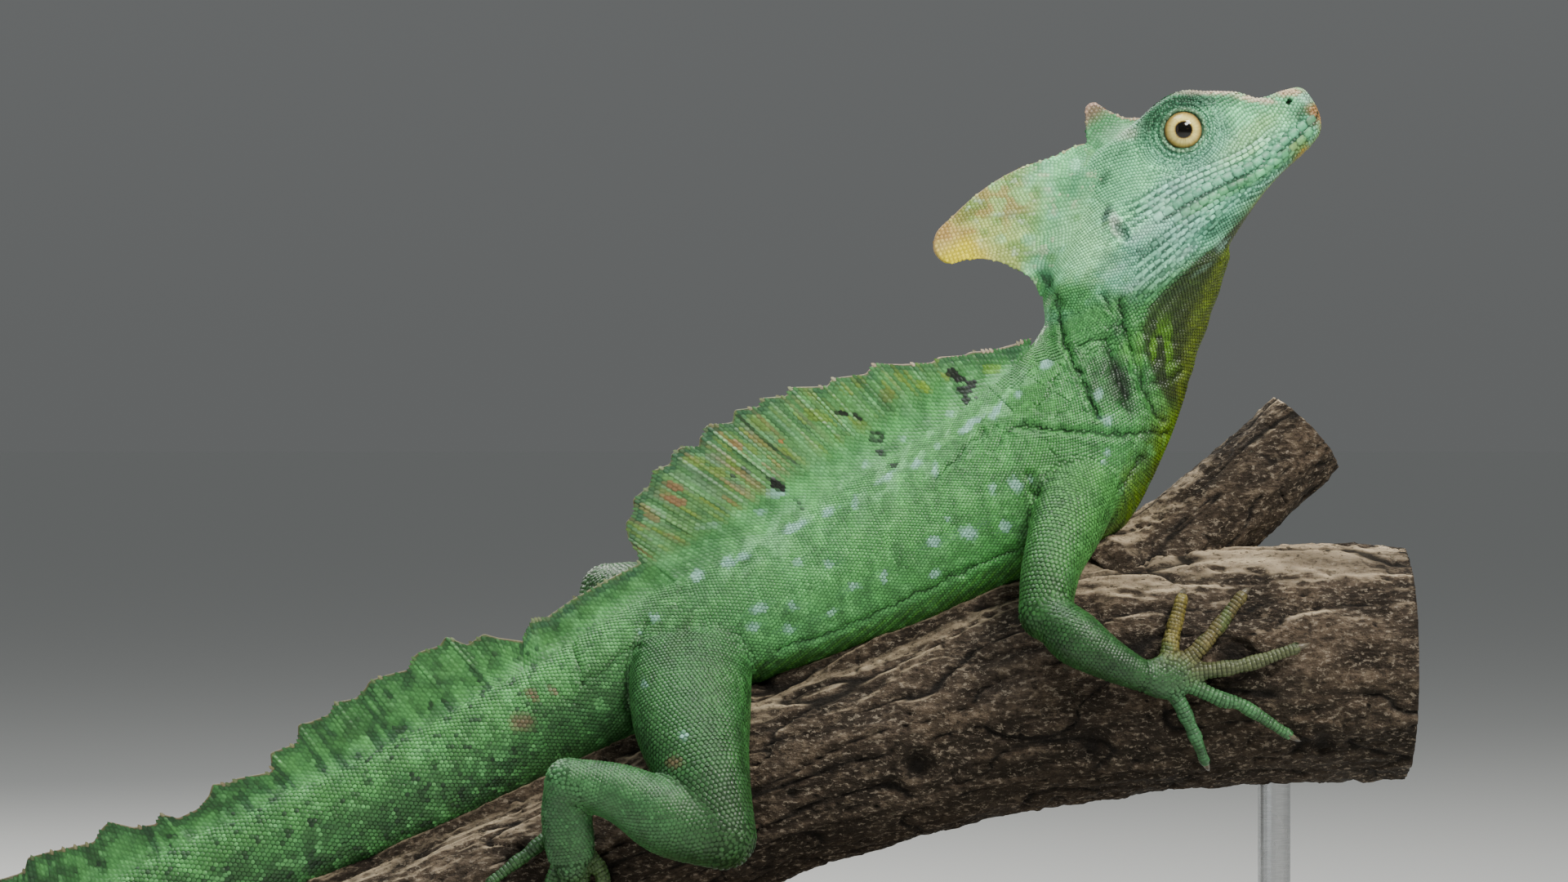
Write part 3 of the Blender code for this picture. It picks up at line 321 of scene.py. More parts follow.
def head_half(s):
    """Half section of the head at s: 15 named corners as sideways and height, in mm."""
    r = {k: float(head_read(k, s)[0]) for k in HEAD}
    top, mouth = r["top"], r["mouth"]
    brow = top + r["brow_rise"]
    chin, edge_h, edge_w = r["chin"], r["edge_h"], r["edge_w"]
    if s > CUT[0][0]:
        chin = edge_h = CUT[0][1] + (CUT[1][1] - CUT[0][1]) * (s - CUT[0][0]) / 46.5
        far = min(1.0, abs((s - 58.45) / 23.25))
        edge_w = max(12.8 * (1 - far ** 2.2) ** (1 / 2.2), 0.35)
        chin -= 2.0
    k = min(1.0, (top - chin) / 14)
    groove = 1.0 * min(1.0, max(0.0, (46 - s) / 3)) * min(1.0, max(0.1, (s + 2.4) / 3))
    lip, bw, fw, jaw = r["lip_w"], r["brow_w"], r["face_w"], r["jaw_w"]
    lip_top = mouth + 3.0 * k
    drop = brow - lip_top
    return [(0.0, top), (0.55 * bw, top + 0.35 * (brow - top)), (bw, brow),
            (bw + (fw - bw) * 0.45 - 0.2 * k, brow - 0.30 * drop), (fw, brow - 0.62 * drop),
            (lip - 0.35 * k, lip_top), (lip + 0.20 * k, mouth + 1.7 * k),
            (lip + 0.05, mouth + 0.5 * k), (lip - groove - 0.05, mouth),
            (lip - 0.15 * k, mouth - 0.5 * k), (lip - 0.10 * k, mouth - 1.6 * k),
            (jaw - 0.2, mouth + (edge_h - mouth) * 0.55), (edge_w, edge_h),
            (edge_w * 0.5, chin + (edge_h - chin) * 0.25), (0.0, chin)]


print("head stations:", len(HEAD_S))

# %% Paths of the limbs
# each limb: path points (u, v, y in mm), half widths across and along the side view
LIMBS = {
    "arm_r": dict(
        upper=[(1325, 590, -9), (1298, 648, -21), (1278, 700, -29), (1271, 746, -33)],
        upper_w=(8.2, 8.6, 7.0, 5.9), upper_t=(9.5, 9.0, 7.2, 6.2),
        fore=[(1270, 740, -33), (1308, 775, -36.5), (1349, 801, -36.5), (1388, 821, -34.6)],
        fore_w=(5.0, 6.6, 5.2, 3.7), fore_t=(5.0, 6.2, 5.0, 3.6),
        palm=[(1389, 821, -34.6), (1405, 822, -33.9), (1422, 820, -33.2), (1434, 818, -33.0)],
        palm_w=(2.6, 2.8, 2.5, 1.8), palm_t=(3.7, 5.0, 5.6, 4.2),
        digits=[([(1416, 810, -34), (1422, 778, -32), (1436, 734, -27)], (2.3, 1.6), 2.6),
                ([(1428, 812, -34), (1470, 768, -33), (1508, 722, -29)], (2.2, 1.5), 3.4),
                ([(1434, 817, -34), (1506, 808, -34), (1572, 787, -33)], (2.2, 1.4), 2.2),
                ([(1432, 826, -34), (1500, 857, -33), (1566, 897, -29)], (2.1, 1.3), .6),
                ([(1420, 832, -34), (1444, 876, -31), (1466, 926, -24)], (2.1, 1.3), .5)]),
    "arm_l": dict(
        upper=[(1330, 592, 9), (1330, 640, 22), (1332, 690, 32), (1338, 740, 37)],
        upper_w=(8.2, 8.6, 7.0, 5.9), upper_t=(9.5, 9.0, 7.2, 6.2),
        fore=[(1337, 735, 37), (1380, 768, 40), (1430, 796, 39), (1480, 816, 37)],
        fore_w=(5.0, 6.4, 5.0, 3.7), fore_t=(5.0, 6.2, 5.0, 3.6),
        palm=[(1481, 816, 37), (1496, 819, 36), (1510, 821, 35.4), (1521, 822, 35)],
        palm_w=(2.6, 2.8, 2.5, 1.8), palm_t=(3.7, 5.0, 5.6, 4.2),
        digits=[([(1500, 806, 35), (1500, 768, 33), (1512, 724, 26)], (2.3, 1.6), 1.2),
                ([(1513, 810, 35), (1548, 778, 34), (1588, 744, 30)], (2.2, 1.5), .8),
                ([(1520, 818, 35), (1578, 806, 35), (1642, 800, 35)], (2.2, 1.4), .6),
                ([(1520, 826, 35), (1576, 846, 34), (1634, 884, 30)], (2.1, 1.3), .6),
                ([(1510, 832, 35), (1530, 872, 32), (1548, 920, 25)], (2.1, 1.3), .5)]),
    "leg_r": dict(
        upper=[(846, 796, -7), (849, 876, -19), (867, 950, -30), (888, 1011, -35)],
        upper_w=(10.0, 10.5, 9.6, 7.2), upper_t=(15.0, 14.4, 11.4, 7.8),
        fore=[(885, 1015, -35), (826, 992, -35), (763, 960, -33), (703, 947, -32)],
        fore_w=(5.6, 7.4, 6.0, 5.2), fore_t=(7.2, 8.4, 7.0, 5.6),
        palm=[(704, 946, -32), (700, 978, -31), (702, 1010, -30), (706, 1044, -29)],
        palm_w=(5.0, 3.8, 3.2, 2.6), palm_t=(5.6, 6.0, 6.2, 5.6),
        digits=[([(722, 1034, -27), (742, 1060, -27), (748, 1104, -27)], (2.2, 1.5), .6),
                ([(712, 1040, -27), (722, 1096, -27), (726, 1158, -24)], (2.3, 1.5), .6),
                ([(704, 1042, -27), (700, 1112, -27), (694, 1186, -19)], (2.4, 1.5), .6),
                ([(696, 1036, -27), (668, 1106, -27), (640, 1176, -21)], (2.3, 1.4), .6),
                ([(688, 990, -27), (650, 1026, -27), (606, 1070, -24)], (2.0, 1.3), .6)]),
    "leg_l": dict(
        upper=[(840, 790, 7), (812, 762, 19), (774, 738, 31), (738, 730, 40)],
        upper_w=(12.0, 12.4, 10.0, 6.6), upper_t=(11.0, 10.6, 9.4, 7.0),
        fore=[(737, 728, 39), (722, 800, 38), (708, 880, 35), (700, 946, 32)],
        fore_w=(6.0, 7.6, 5.6, 4.4), fore_t=(6.0, 7.8, 5.8, 4.6),
        palm=[(700, 946, 32), (688, 976, 31), (676, 1006, 30), (664, 1038, 29)],
        palm_w=(4.4, 3.0, 2.8, 2.4), palm_t=(4.6, 5.6, 5.8, 5.2),
        digits=[([(680, 1030, 27), (704, 1060, 27), (722, 1098, 26)], (2.2, 1.5), .6),
                ([(672, 1036, 27), (686, 1092, 27), (696, 1152, 24)], (2.3, 1.5), .6),
                ([(664, 1038, 27), (654, 1112, 27), (640, 1184, 20)], (2.4, 1.5), .6),
                ([(656, 1034, 27), (616, 1096, 27), (580, 1162, 22)], (2.3, 1.4), .6),
                ([(656, 990, 27), (612, 1030, 27), (566, 1078, 25)], (2.0, 1.3), .6)]),
}
NODES_OF = {"arm_r": ("upper_arm_r", "forearm_r", "hand_r"),
            "arm_l": ("upper_arm_l", "forearm_l", "hand_l"),
            "leg_r": ("thigh_r", "shank_r", "foot_r"),
            "leg_l": ("thigh_l", "shank_l", "foot_l")}
print("limbs:", ", ".join(LIMBS))

# %% [markdown]
# ## Grids of flesh
#
# Head, trunk, arms, legs, fingers and toes are first made as separate grids:
# rows of points around, one row after the other from front to tip. A grid is
# easy to bulge and bend, and it also says where a scale sits and which way it
# points. Fingers and toes are laid on the branch by looking up its nearest
# surface point, as a living hand does.


# %% Grids of head and trunk
def closed_curve(ring, count):
    """A smooth closed curve through a ring of points, at even share steps."""
    n = len(ring)
    x = np.arange(count) * n / count
    i = np.floor(x).astype(int)
    t = (x - i)[:, None]
    a, b, c, d = (ring[(i + k) % n] for k in (-1, 0, 1, 2))
    return b + 0.5 * t * (c - a + t * (2 * a - 5 * b + 4 * c - d + t * (3 * (b - c) + d - a)))


def head_grid(step):
    marks = np.r_[-2.4, -2.2, np.arange(-1.8, 81.3, step), 81.5]
    rows = []
    for s in marks:
        half = head_half(float(s))
        ring = [head_at(s, h, -w) for w, h in half] + [head_at(s, h, w) for w, h in half[-2:0:-1]]
        rows.append(closed_curve(np.array([tuple(p) for p in ring]), 112))
    return np.array(rows)


def trunk_grid(rows):
    turns = 2 * np.pi * np.arange(96) / 96
    lead = []
    for k in (3, 2, 1):        # the neck runs on inside the head
        row = rows[0].copy()
        row[0:3] += np.array(OVER) * k * 2.4 * MM - np.array(AHEAD) * k * 0.8 * MM
        row[3:9] *= 1 - 0.11 * k
        row[12] *= 1 - 0.08 * k
        lead.append(body_ring(row, turns))
    return np.array(lead + [body_ring(r, turns) for r in rows])


HEAD_GRID = head_grid(0.7)
TRUNK_GRID = trunk_grid(TRUNK)
print("head grid", HEAD_GRID.shape, "trunk grid", TRUNK_GRID.shape)

# %% Grids of limbs, fingers and toes
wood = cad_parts["stand_perch"].data
wood_tree = BVHTree.FromPolygons([v.co for v in wood.vertices],
                                 [tuple(p.vertices) for p in wood.polygons])


def over_wood(point, lift):
    spot, normal, _, _ = wood_tree.find_nearest(Vector(point))
    return spot + normal * lift * MM


def tube_grid(path, wide, thick, sides, flat=(0, 1, 0)):
    """Rings around a path; wide is the half width along flat, thick across it."""
    run = unit(np.gradient(path, axis=0))
    side = np.broadcast_to(np.array(flat, float), run.shape)
    side = unit(side - run * (side * run).sum(1)[:, None])
    over = np.cross(run, side)
    turn = 2 * np.pi * np.arange(sides) / sides
    return (path[:, None] + side[:, None] * (np.cos(turn) * wide[:, None])[..., None]
            + over[:, None] * (np.sin(turn) * thick[:, None])[..., None])


def limb_grid(points, wide, thick, step, sides, bulge=0.0):
    spine = [at(*p) for p in points]
    length = sum((b - a).length for a, b in zip(spine, spine[1:])) / MM
    path, share = through(spine, max(6, int(length / step)))
    half = smooth(np.linspace(0, 1, len(wide)), np.c_[wide, thick], share) * MM
    swell = 1 + bulge * bell(share - 0.38, 0.2)
    return tube_grid(path, half[:, 0] * swell, half[:, 1] * swell, sides)


def digit_path(points, thick, claw, raise_tip):
    """Centres and radii of a finger or toe on the wood, and its claw's path."""
    path, share = through([at(*p) for p in points], 9)
    radii = (thick[0] + (thick[1] - thick[0]) * share) * (
        1 + 0.10 * np.cos(2 * np.pi * (share * 3.2 - 0.1)))
    centres = [over_wood(p, r + 0.55 + raise_tip * t ** 2)
               for p, r, t in zip(path, radii, share)]
    run = (centres[-1] - centres[-2]).normalized()
    down = (over_wood(centres[-1], 0) - centres[-1]).normalized()
    horn = [centres[-1] + run * (-0.25 * claw) * MM]
    horn += [centres[-1] + (run * ahead + down * (drop * raise_tip * 0.25 + drop * 0.45))
             * claw * MM for ahead, drop in ((0.1, 0.0), (0.36, 0.0), (0.66, 0.16), (0.94, 0.42))]
    fine, share = through(centres, 34)
    r = smooth(np.linspace(0, 1, 9), radii, share)[:, 0]
    pads = 1 + 0.03 * np.cos(2 * np.pi * share * 5.0)
    return fine, r * pads, horn, radii[-1]


def digit_grid(fine, r):
    """A finger's rings with a rounded end."""
    run = (fine[-1] - fine[-2]) / np.linalg.norm(fine[-1] - fine[-2])
    ends = [(0.45, 0.88), (0.8, 0.58), (0.98, 0.15)]
    path = np.r_[fine, [fine[-1] + run * a * r[-1] * MM for a, _ in ends]]
    r = np.r_[r, [b * r[-1] for _, b in ends]] * MM
    return tube_grid(path, r, r, 20, (0.05, 0.3, 1.0))


GRIDS = {"head": HEAD_GRID, "trunk": TRUNK_GRID}
CAPS, HORNS = [], []
for tag, data in LIMBS.items():
    GRIDS["upper_" + tag] = limb_grid(data["upper"], data["upper_w"], data["upper_t"], 0.9, 40)
    GRIDS["fore_" + tag] = limb_grid(data["fore"], data["fore_w"], data["fore_t"], 0.9, 40, 0.05)
    GRIDS["palm_" + tag] = limb_grid(data["palm"], data["palm_w"], data["palm_t"], 0.5, 32)
    CAPS.append((at(*data["upper"][-1]), [data["upper_t"][-1] * 1.02, data["upper_w"][-1] * 1.02,
                                          data["upper_t"][-1] * 1.02]))
    CAPS.append((at(*data["palm"][-1]), [data["palm_w"][-1] * 1.5, data["palm_w"][-1] * 1.05,
                                         data["palm_t"][-1]]))
    CAPS.append((at(*data["fore"][-1]), [data["fore_t"][-1] * 1.05, data["fore_w"][-1] * 1.0,
                                         data["fore_t"][-1] * 1.05]))
    for k, (points, thick, lift) in enumerate(data["digits"]):
        claw = 4.2 if tag[:3] == "arm" else 4.6
        fine, r, horn, tip = digit_path(points, thick, claw, lift)
        GRIDS["digit_%s_%d" % (tag, k)] = digit_grid(fine, r)
        HORNS.append((tag, k, horn, tip))
print(len(GRIDS), "grids,", len(HORNS), "claws")

# %% [markdown]
# ## One skin
#
# Grids that only pass through each other would show seams at shoulder, hip and
# throat. They are joined and turned into one surface by a voxel remesh, which
# keeps nothing but the outer shape. The surface is then relaxed, most where a
# limb meets the body, so that flesh flows from one part into the next.


# %% Join, remesh and relax
def grid_faces(count, sides, start):
    """Quads of a closed tube and the two fans of its ends, as index lists."""
    quads = []
    for r in range(count - 1):
        a = start + r * sides
        for k in range(sides):
            n = (k + 1) % sides
            quads.append((a + k, a + n, a + n + sides, a + k + sides))
    first = list(range(start, start + sides))
    last = list(range(start + (count - 1) * sides, start + count * sides))
    return quads + [tuple(first[::-1]), tuple(last)]


def mesh_object(name, verts, faces):
    mesh = bpy.data.meshes.new(name)
    mesh.from_pydata([tuple(v) for v in verts], [], faces)
    mesh.update()
    return link(bpy.data.objects.new(name, mesh))


def outward(mesh):
    bm = bmesh.new()
    bm.from_mesh(mesh)
    bmesh.ops.recalc_face_normals(bm, faces=bm.faces)
    bm.to_mesh(mesh)
    bm.free()


def make_real(obj):
    """Give an object the mesh that its modifiers make of it."""
    graph = bpy.context.evaluated_depsgraph_get()
    made = bpy.data.meshes.new_from_object(obj.evaluated_get(graph))
    obj.modifiers.clear()
    obj.data = made
    return made


def smooth_piece(name, verts, faces, finish=None):
    """A closed mesh with its faces outward, shaded smooth, and its finish."""
    obj = mesh_object(name, verts, faces)
    outward(obj.data)
    obj.data.shade_smooth()
    if finish:
        obj.data.materials.append(finish)
    return obj


def store_values(mesh, name, kind, values):
    """Store values on the points of a mesh under a name."""
    field = {"FLOAT_VECTOR": "vector", "FLOAT_COLOR": "color"}.get(kind, "value")
    layer = mesh.attributes.new(name, kind, "POINT")
    layer.data.foreach_set(field, np.asarray(values, np.float32).ravel())


def point_tree(points):
    tree = KDTree(len(points))
    for i, p in enumerate(points):
        tree.insert(p, i)
    tree.balance()
    return tree


def ball_points(centre, radii, turns=24, levels=14):
    rows = []
    for i in range(levels + 1):
        b = math.pi * (0.02 + 0.96 * i / levels)
        rows.append([tuple(centre + Vector((math.sin(b) * math.cos(a) * radii[0],
                                            math.sin(b) * math.sin(a) * radii[1],
                                            math.cos(b) * radii[2])) * MM)
                     for a in (2 * math.pi * k / turns for k in range(turns))])
    return np.array(rows)


def join_grids(voxel):
    verts, faces = [], []
    shells = list(GRIDS.values()) + [ball_points(c, r) for c, r in CAPS]
    for grid in shells:
        start = len(verts)
        verts += list(grid.reshape(-1, 3))
        faces += grid_faces(grid.shape[0], grid.shape[1], start)
    obj = mesh_object("skin", verts, faces)
    outward(obj.data)
    remesh = obj.modifiers.new("one skin", "REMESH")
    remesh.mode, remesh.voxel_size, remesh.adaptivity = "VOXEL", voxel, 0.0
    make_real(obj)
    return obj


def mesh_arrays(mesh):
    co = np.empty(len(mesh.vertices) * 3)
    mesh.vertices.foreach_get("co", co)
    edges = np.empty(len(mesh.edges) * 2, int)
    mesh.edges.foreach_get("vertices", edges)
    return co.reshape(-1, 3), edges.reshape(-1, 2)


def relax(co, edges, strength, turns):
    """Laplacian smoothing with a strength for each point."""
    n = len(co)
    many = np.bincount(edges.ravel(), minlength=n)[:, None]
    for _ in range(turns):
        mean = np.stack([np.bincount(edges[:, 0], co[edges[:, 1], k], n)
                         + np.bincount(edges[:, 1], co[edges[:, 0], k], n)
                         for k in range(3)], 1) / many
        co = co + (mean - co) * strength[:, None]
    return co


def near(co, point, radius):
    return np.exp(-(np.linalg.norm(co - np.array(point), axis=1) / (radius * MM)) ** 2)


skin = join_grids((0.5) * MM)
co, edges = mesh_arrays(skin.data)
soft = np.full(len(co), 0.25)
soft[co[:, 0] < at(60, 0).x] = 0.12
for tag, data in LIMBS.items():
    root = at(*data["upper"][0])
    soft = np.maximum(soft, near(co, root + SIDE * (14 if tag[-1] == "l" else -14) * MM, 15))
    soft = np.maximum(soft, near(co, at(*data["upper"][-1]), 9) * 0.9)
    soft = np.maximum(soft, near(co, at(*data["palm"][0]), 6) * 0.6)
turns = 30
hard = near(co, head_at(30, 0), 34)
co = relax(co, edges, soft * (1 - 0.85 * hard), turns)
co = relax(co, edges, np.full(len(co), 0.5), 2)
print("skin has", len(co), "points")

# %% [markdown]
# ## Folds, lids, nostrils and ears
#
# The creases of a lizard's neck and flank are long and few, so they are drawn
# as lines on the side view and pressed into the skin. The same lines
# later darken the paint. The lids are rings around the eye, and the ear is a
# shallow cup behind the jaw.
# The darkening along these lines is painted shade in the folds.

# %% Creases
# the last value of each crease is the strength of its painted shade
CREASES = [  # points on the sheet, half width in mm, depth in mm, how dark
    ([(1278, 337), (1292, 366), (1296, 395), (1303, 422), (1314, 452), (1329, 483), (1340, 510)],
     .75, 1.3, .9),
    ([(1275, 332), (1285, 347), (1291, 370)], 1.6, .9, .6),
    ([(1346, 362), (1357, 378), (1361, 394), (1353, 403)], .6, .8, .85),
    ([(1368, 400), (1350, 414), (1334, 419), (1317, 426)], .7, .9, .85),
    ([(1365, 368), (1369, 390), (1377, 414), (1385, 440), (1393, 467), (1405, 492), (1419, 516)],
     1.0, 1.4, .9),
    ([(1350, 421), (1358, 443), (1365, 463), (1373, 489), (1377, 502)], 1.3, 1.0, .85),
    ([(1298, 450), (1285, 476), (1266, 503)], .5, .5, .5),
    ([(1320, 473), (1302, 500), (1278, 521)], .5, .4, .35),
    ([(1244, 521), (1284, 525), (1324, 528), (1364, 532), (1403, 530), (1432, 531)],
     .9, 1.1, .7),
    ([(1204, 526), (1174, 556), (1143, 589)], .55, .6, .65),
    ([(1239, 521), (1225, 536), (1211, 551)], .6, .5, .65),
    ([(1219, 524), (1203, 538), (1186, 556)], .5, .4, .5),
    ([(1266, 660), (1244, 669), (1204, 685), (1165, 703), (1108, 731), (1039, 763), (950, 794)],
     .7, .8, .6),
    ([(1265, 603), (1277, 621), (1297, 615), (1302, 599)], 1.2, .7, .5),
    ([(1255, 580), (1265, 611), (1269, 649), (1255, 688), (1259, 733)], .9, .9, .55),
    ([(1396, 560), (1376, 585), (1358, 614), (1341, 654), (1320, 693)], .9, 1.0, .7),
    ([(1382, 560), (1360, 589), (1342, 621), (1326, 661)], .6, .5, .4),
    ([(1442, 456), (1425, 467), (1407, 471)], .8, .7, .75),
    ([(1388, 403), (1415, 415), (1445, 419)], .7, .5, .3),
    ([(1384, 429), (1413, 441), (1445, 441)], .7, .5, .3),
    ([(940, 809), (918, 847), (908, 896), (920, 954)], 1.1, .8, .6),
    ([(794, 760), (774, 807), (770, 857), (792, 906)], .8, .7, .55),
    ([(703, 785), (709, 809), (715, 835)], .7, .5, .6),
    ([(715, 835), (737, 819), (762, 799), (792, 787)], .6, .5, .55),
    ([(671, 833), (693, 853), (717, 863)], .5, .3, .4),
    ([(833, 659), (839, 698), (831, 740)], .6, .4, .3)]


def line_gap(x, z, line):
    """Distance of points of the side view to a smooth drawn line, in mm."""
    pts, _ = through([at(*p) for p in line], 26)
    best = np.full(len(x), 1e9)
    for a, b in zip(pts[:-1], pts[1:]):
        ab = b - a
        t = held(((x - a[0]) * ab[0] + (z - a[2]) * ab[2]) / (ab[0] ** 2 + ab[2] ** 2))
        best = np.minimum(best, np.hypot(x - a[0] - t * ab[0], z - a[2] - t * ab[2]))
    return best / MM


DICE = np.random.default_rng(11).random(4096)


def cloud(co, size, seed=0):
    """Smooth value noise from 0 to 1; size in millimetres."""
    q = co / (size * MM) + 57.3 + seed * 7.7
    i = np.floor(q).astype(np.int64)
    f = q - i
    f = f * f * (3 - 2 * f)
    total = np.zeros(len(co))
    for corner in range(8):
        d = np.array([corner & 1, corner >> 1 & 1, corner >> 2 & 1])
        k = i + d
        spin = (k[:, 0] * 73856093 ^ k[:, 1] * 19349663 ^ k[:, 2] * 83492791 ^ seed * 9973) & 4095
        total += DICE[spin] * np.prod(np.where(d, f, 1 - f), axis=1)
    return total


def crease_masks(co):
    """How deep (mm) each point lies in a crease, and how much painted shade it takes there."""
    deep, dark = np.zeros(len(co)), np.zeros(len(co))
    broken = np.clip(1.7 * cloud(co, 3.2, 41) - 0.1, 0.15, 1)
    stray = [(cloud(co, 1.9, seed) - 0.5) * 1.5 * MM for seed in (53, 54)]
    for line, width, depth, shade in CREASES:
        gap = line_gap(co[:, 0] + stray[0], co[:, 2] + stray[1], line)
        deep += 0.62 * depth * (bell(gap, width) - 0.30 * bell(gap - 2.2 * width, 1.1 * width))
        dark = np.maximum(dark, shade * broken * bell(gap, 0.62 * width))
    return deep, dark


def head_frame(co):
    """Points as mm behind the snout, above the mouth and sideways."""
    d = (co - np.array(SNOUT)) / MM
    return -(d @ np.array(AHEAD)), d @ np.array(OVER), d[:, 1]


LID = 1.15          # the lid's edge stands at 5.15 on this scale


def eye_gap(s, h):
    """Distance from the middle of the eye as seen from the side, slightly oval."""
    return LID * np.hypot((s - EYE_S) / 1.07, h - EYE_H)


def owner_of(co):
    """Nearest grid of each point, its share along it, and 0 on the back to 1 below."""
    names = list(GRIDS)
    tree = point_tree(np.concatenate([g.reshape(-1, 3) for g in GRIDS.values()]))
    label, along, around = [], [], []
    for i, name in enumerate(names):
        rows, sides = GRIDS[name].shape[:2]
        label.append(np.full(rows * sides, i))
        along.append(np.repeat(np.arange(rows) / (rows - 1), sides))
        around.append(np.tile(1 - np.abs(1 - 2 * np.arange(sides) / sides), rows))
    hit = np.array([tree.find(p)[1] for p in co])
    return [np.concatenate(a)[hit] for a in (label, along, around)] + [names]


print(len(CREASES), "creases")

# %% Press them in
def point_normals(mesh):
    n = np.empty(len(mesh.vertices) * 3)
    mesh.vertices.foreach_get("normal", n)
    return n.reshape(-1, 3)


def set_points(mesh, co):
    mesh.vertices.foreach_set("co", co.ravel())
    mesh.update()


set_points(skin.data, co)
normal = point_normals(skin.data)
wide = (np.abs(normal[:, 1]) > 0.15) & (co[:, 2] > 0.02)
flank = np.abs(co[:, 1]) < 19.5 * MM
deep, _ = crease_masks(co)
deep *= wide * flank * held((np.abs(normal[:, 1]) - 0.15) / 0.4)
s, h, y = head_frame(co)
throat = held((s - 34) / 10) * held((-14 - h) / 3) * held((s - 20) / 10)
throat *= (co[:, 2] > at(0, 470).z)
waves = 0.16 * np.sin(2 * np.pi * (h * 0.92 + s * 0.30) / 3.3)
co = co - normal * ((deep + waves * throat) * MM)[:, None]
s, h, y = head_frame(co)
hand = np.sign(y)
r = eye_gap(s, h)
lid = (1.05 * bell(r - 5.75, 0.62) + 0.40 * bell(r - 7.5, 0.55) + 0.32 * bell(r - 9.2, 0.6)
       + 0.20 * bell(r - 10.9, 0.6) - 0.35 * bell(r - 6.65, 0.42) - 0.28 * bell(r - 8.4, 0.4))
side = (np.abs(y) > 5.5) & (r < 13)
rim_y = EYE_Y + np.sqrt(np.maximum(EYE_R ** 2 - np.minimum(r / LID, 4.7) ** 2, 0))
target = np.where(r < 5.15, rim_y - 1.0 + 0.9 * held((r - 4.2) / 0.95) ** 2,
                  np.maximum(np.abs(y), 10.9 - 0.12 * np.maximum(r - 6.2, 0) ** 1.6) + lid
                  * held((13 - r) / 3))
blend = np.where(side, held((12.5 - r) / 3.0), 0)
moved = np.abs(y) + (target - np.abs(y)) * blend
co[:, 1] = np.where(side, hand * moved * MM, co[:, 1])
ear = np.hypot((s - 55.5) / 1.7, (h - 3.2) / 3.1)
cup = held(1 - ear ** 2.2) * 1.2 - 0.35 * bell(ear - 1.25, 0.25)
pit = np.exp(-(((s - 3.2) / 0.75) ** 2 + ((h - 7.7) / 0.62) ** 2) ** 2) * 1.5
pit -= 0.28 * np.exp(-((np.hypot((s - 3.2) / 0.9, (h - 7.7) / 0.75) - 1.45) / 0.35) ** 2)
inward = (cup * (np.abs(y) > 8) + pit * (np.abs(y) > 2.0)) * (np.abs(normal[:, 1]) > 0.2)
co[:, 1] -= hand * inward * MM
near_lid = (r < 7) & side
co = relax(co, edges, np.where(near_lid, 0.35, 0.12), 1)
co = relax(co, edges, 0.6 * near(co, at(1500, 307), 9), 30)
set_points(skin.data, co)


def thin_out(obj, most, keep):
    """Collapse a mesh to about a number of triangles, sparing the kept points."""
    group = obj.vertex_groups.new(name="spare")
    for level in np.unique(np.round(keep, 1)):
        which = np.nonzero(np.round(keep, 1) == level)[0]
        group.add([int(i) for i in which], float(level), "REPLACE")
    now = sum(len(p.vertices) - 2 for p in obj.data.polygons)
    if now > most:
        cut = obj.modifiers.new("thin", "DECIMATE")
        cut.ratio = most / now
        cut.vertex_group, cut.invert_vertex_group, cut.vertex_group_factor = "spare", True, 1.0
        make_real(obj)
    obj.vertex_groups.clear()
    return obj


SKIN_TRIANGLES = 188000
spare = np.clip(near(co, head_at(22, 6), 45) * 1.3, 0, 0.9)
thin_out(skin, SKIN_TRIANGLES, spare)
skin.data.shade_smooth()
co, edges = mesh_arrays(skin.data)
skin.data.calc_loop_triangles()
print("skin has", len(skin.data.loop_triangles), "triangles")

# %% [markdown]
# ## The paint
#
# A basilisk's colour lives in its scales, in soft zones: mint head, bluish
# cheeks, grass green flanks, olive throat and dull fingers, with two rows of
# pale blue spots. The zones are set per part and blurred over the skin, then
# the sharp marks are laid on top. One function paints skin and scales alike,
# so the marks run on from one to the other. Some of the paint is painted
# shade: along creases, folds and wrinkles, above the eye under the brow, on
# the shoulder over the arm, under the jaw and the body, at elbow and knee,
# in the nostrils and on the skin between the scales.


# %% Colours and noise
PURER, DEEPER = 1.40, 0.80      # studio light washes paint out, so it is mixed stronger


def tone(r, g, b):
    """A paint given as 8-bit values, made linear."""
    c = np.array([r, g, b], float) / 255
    c = np.where(c <= 0.04045, c / 12.92, ((c + 0.055) / 1.055) ** 2.4)
    grey = c @ (0.21, 0.72, 0.07)
    return np.clip(grey + (c - grey) * PURER, 0.0015, 1) * DEEPER


def sheet_of(co):
    """Side-view sheet position of points."""
    return co[:, 0] / UNIT + 1000, 1080 - (co[:, 2] - LIFT) / UNIT


def ramp(x, stops, colours):
    return read_line(x, stops, np.array(colours))


def lay(paint, colour, share):
    return paint + (colour - paint) * held(share)[:, None]


# along the trunk: sheet u of the back, then colours of back, flank and belly;
# the belly colours are darker in part as painted shade under the body
TRUNK_TINTS = [
    (1330, (114, 166, 116), (94, 144, 96), (80, 96, 40)),
    (1250, (92, 142, 90), (78, 122, 74), (70, 88, 36)),
    (1130, (84, 128, 84), (92, 144, 92), (48, 74, 34)),
    (1000, (92, 140, 92), (104, 156, 104), (44, 70, 34)),
    (880, (116, 170, 118), (112, 164, 114), (56, 88, 50)),
    (760, (98, 144, 98), (84, 122, 84), (74, 110, 74)),
    (640, (104, 150, 102), (80, 116, 80), (72, 106, 72)),
    (450, (102, 148, 100), (74, 108, 74), (64, 94, 64)),
    (250, (82, 122, 82), (62, 92, 62), (54, 80, 54)),
    (22, (72, 106, 72), (54, 80, 54), (48, 72, 48)),
    (-800, (92, 116, 76), (84, 104, 70), (72, 88, 58)),
    (-1700, (98, 98, 70), (92, 92, 66), (82, 80, 58)),
]
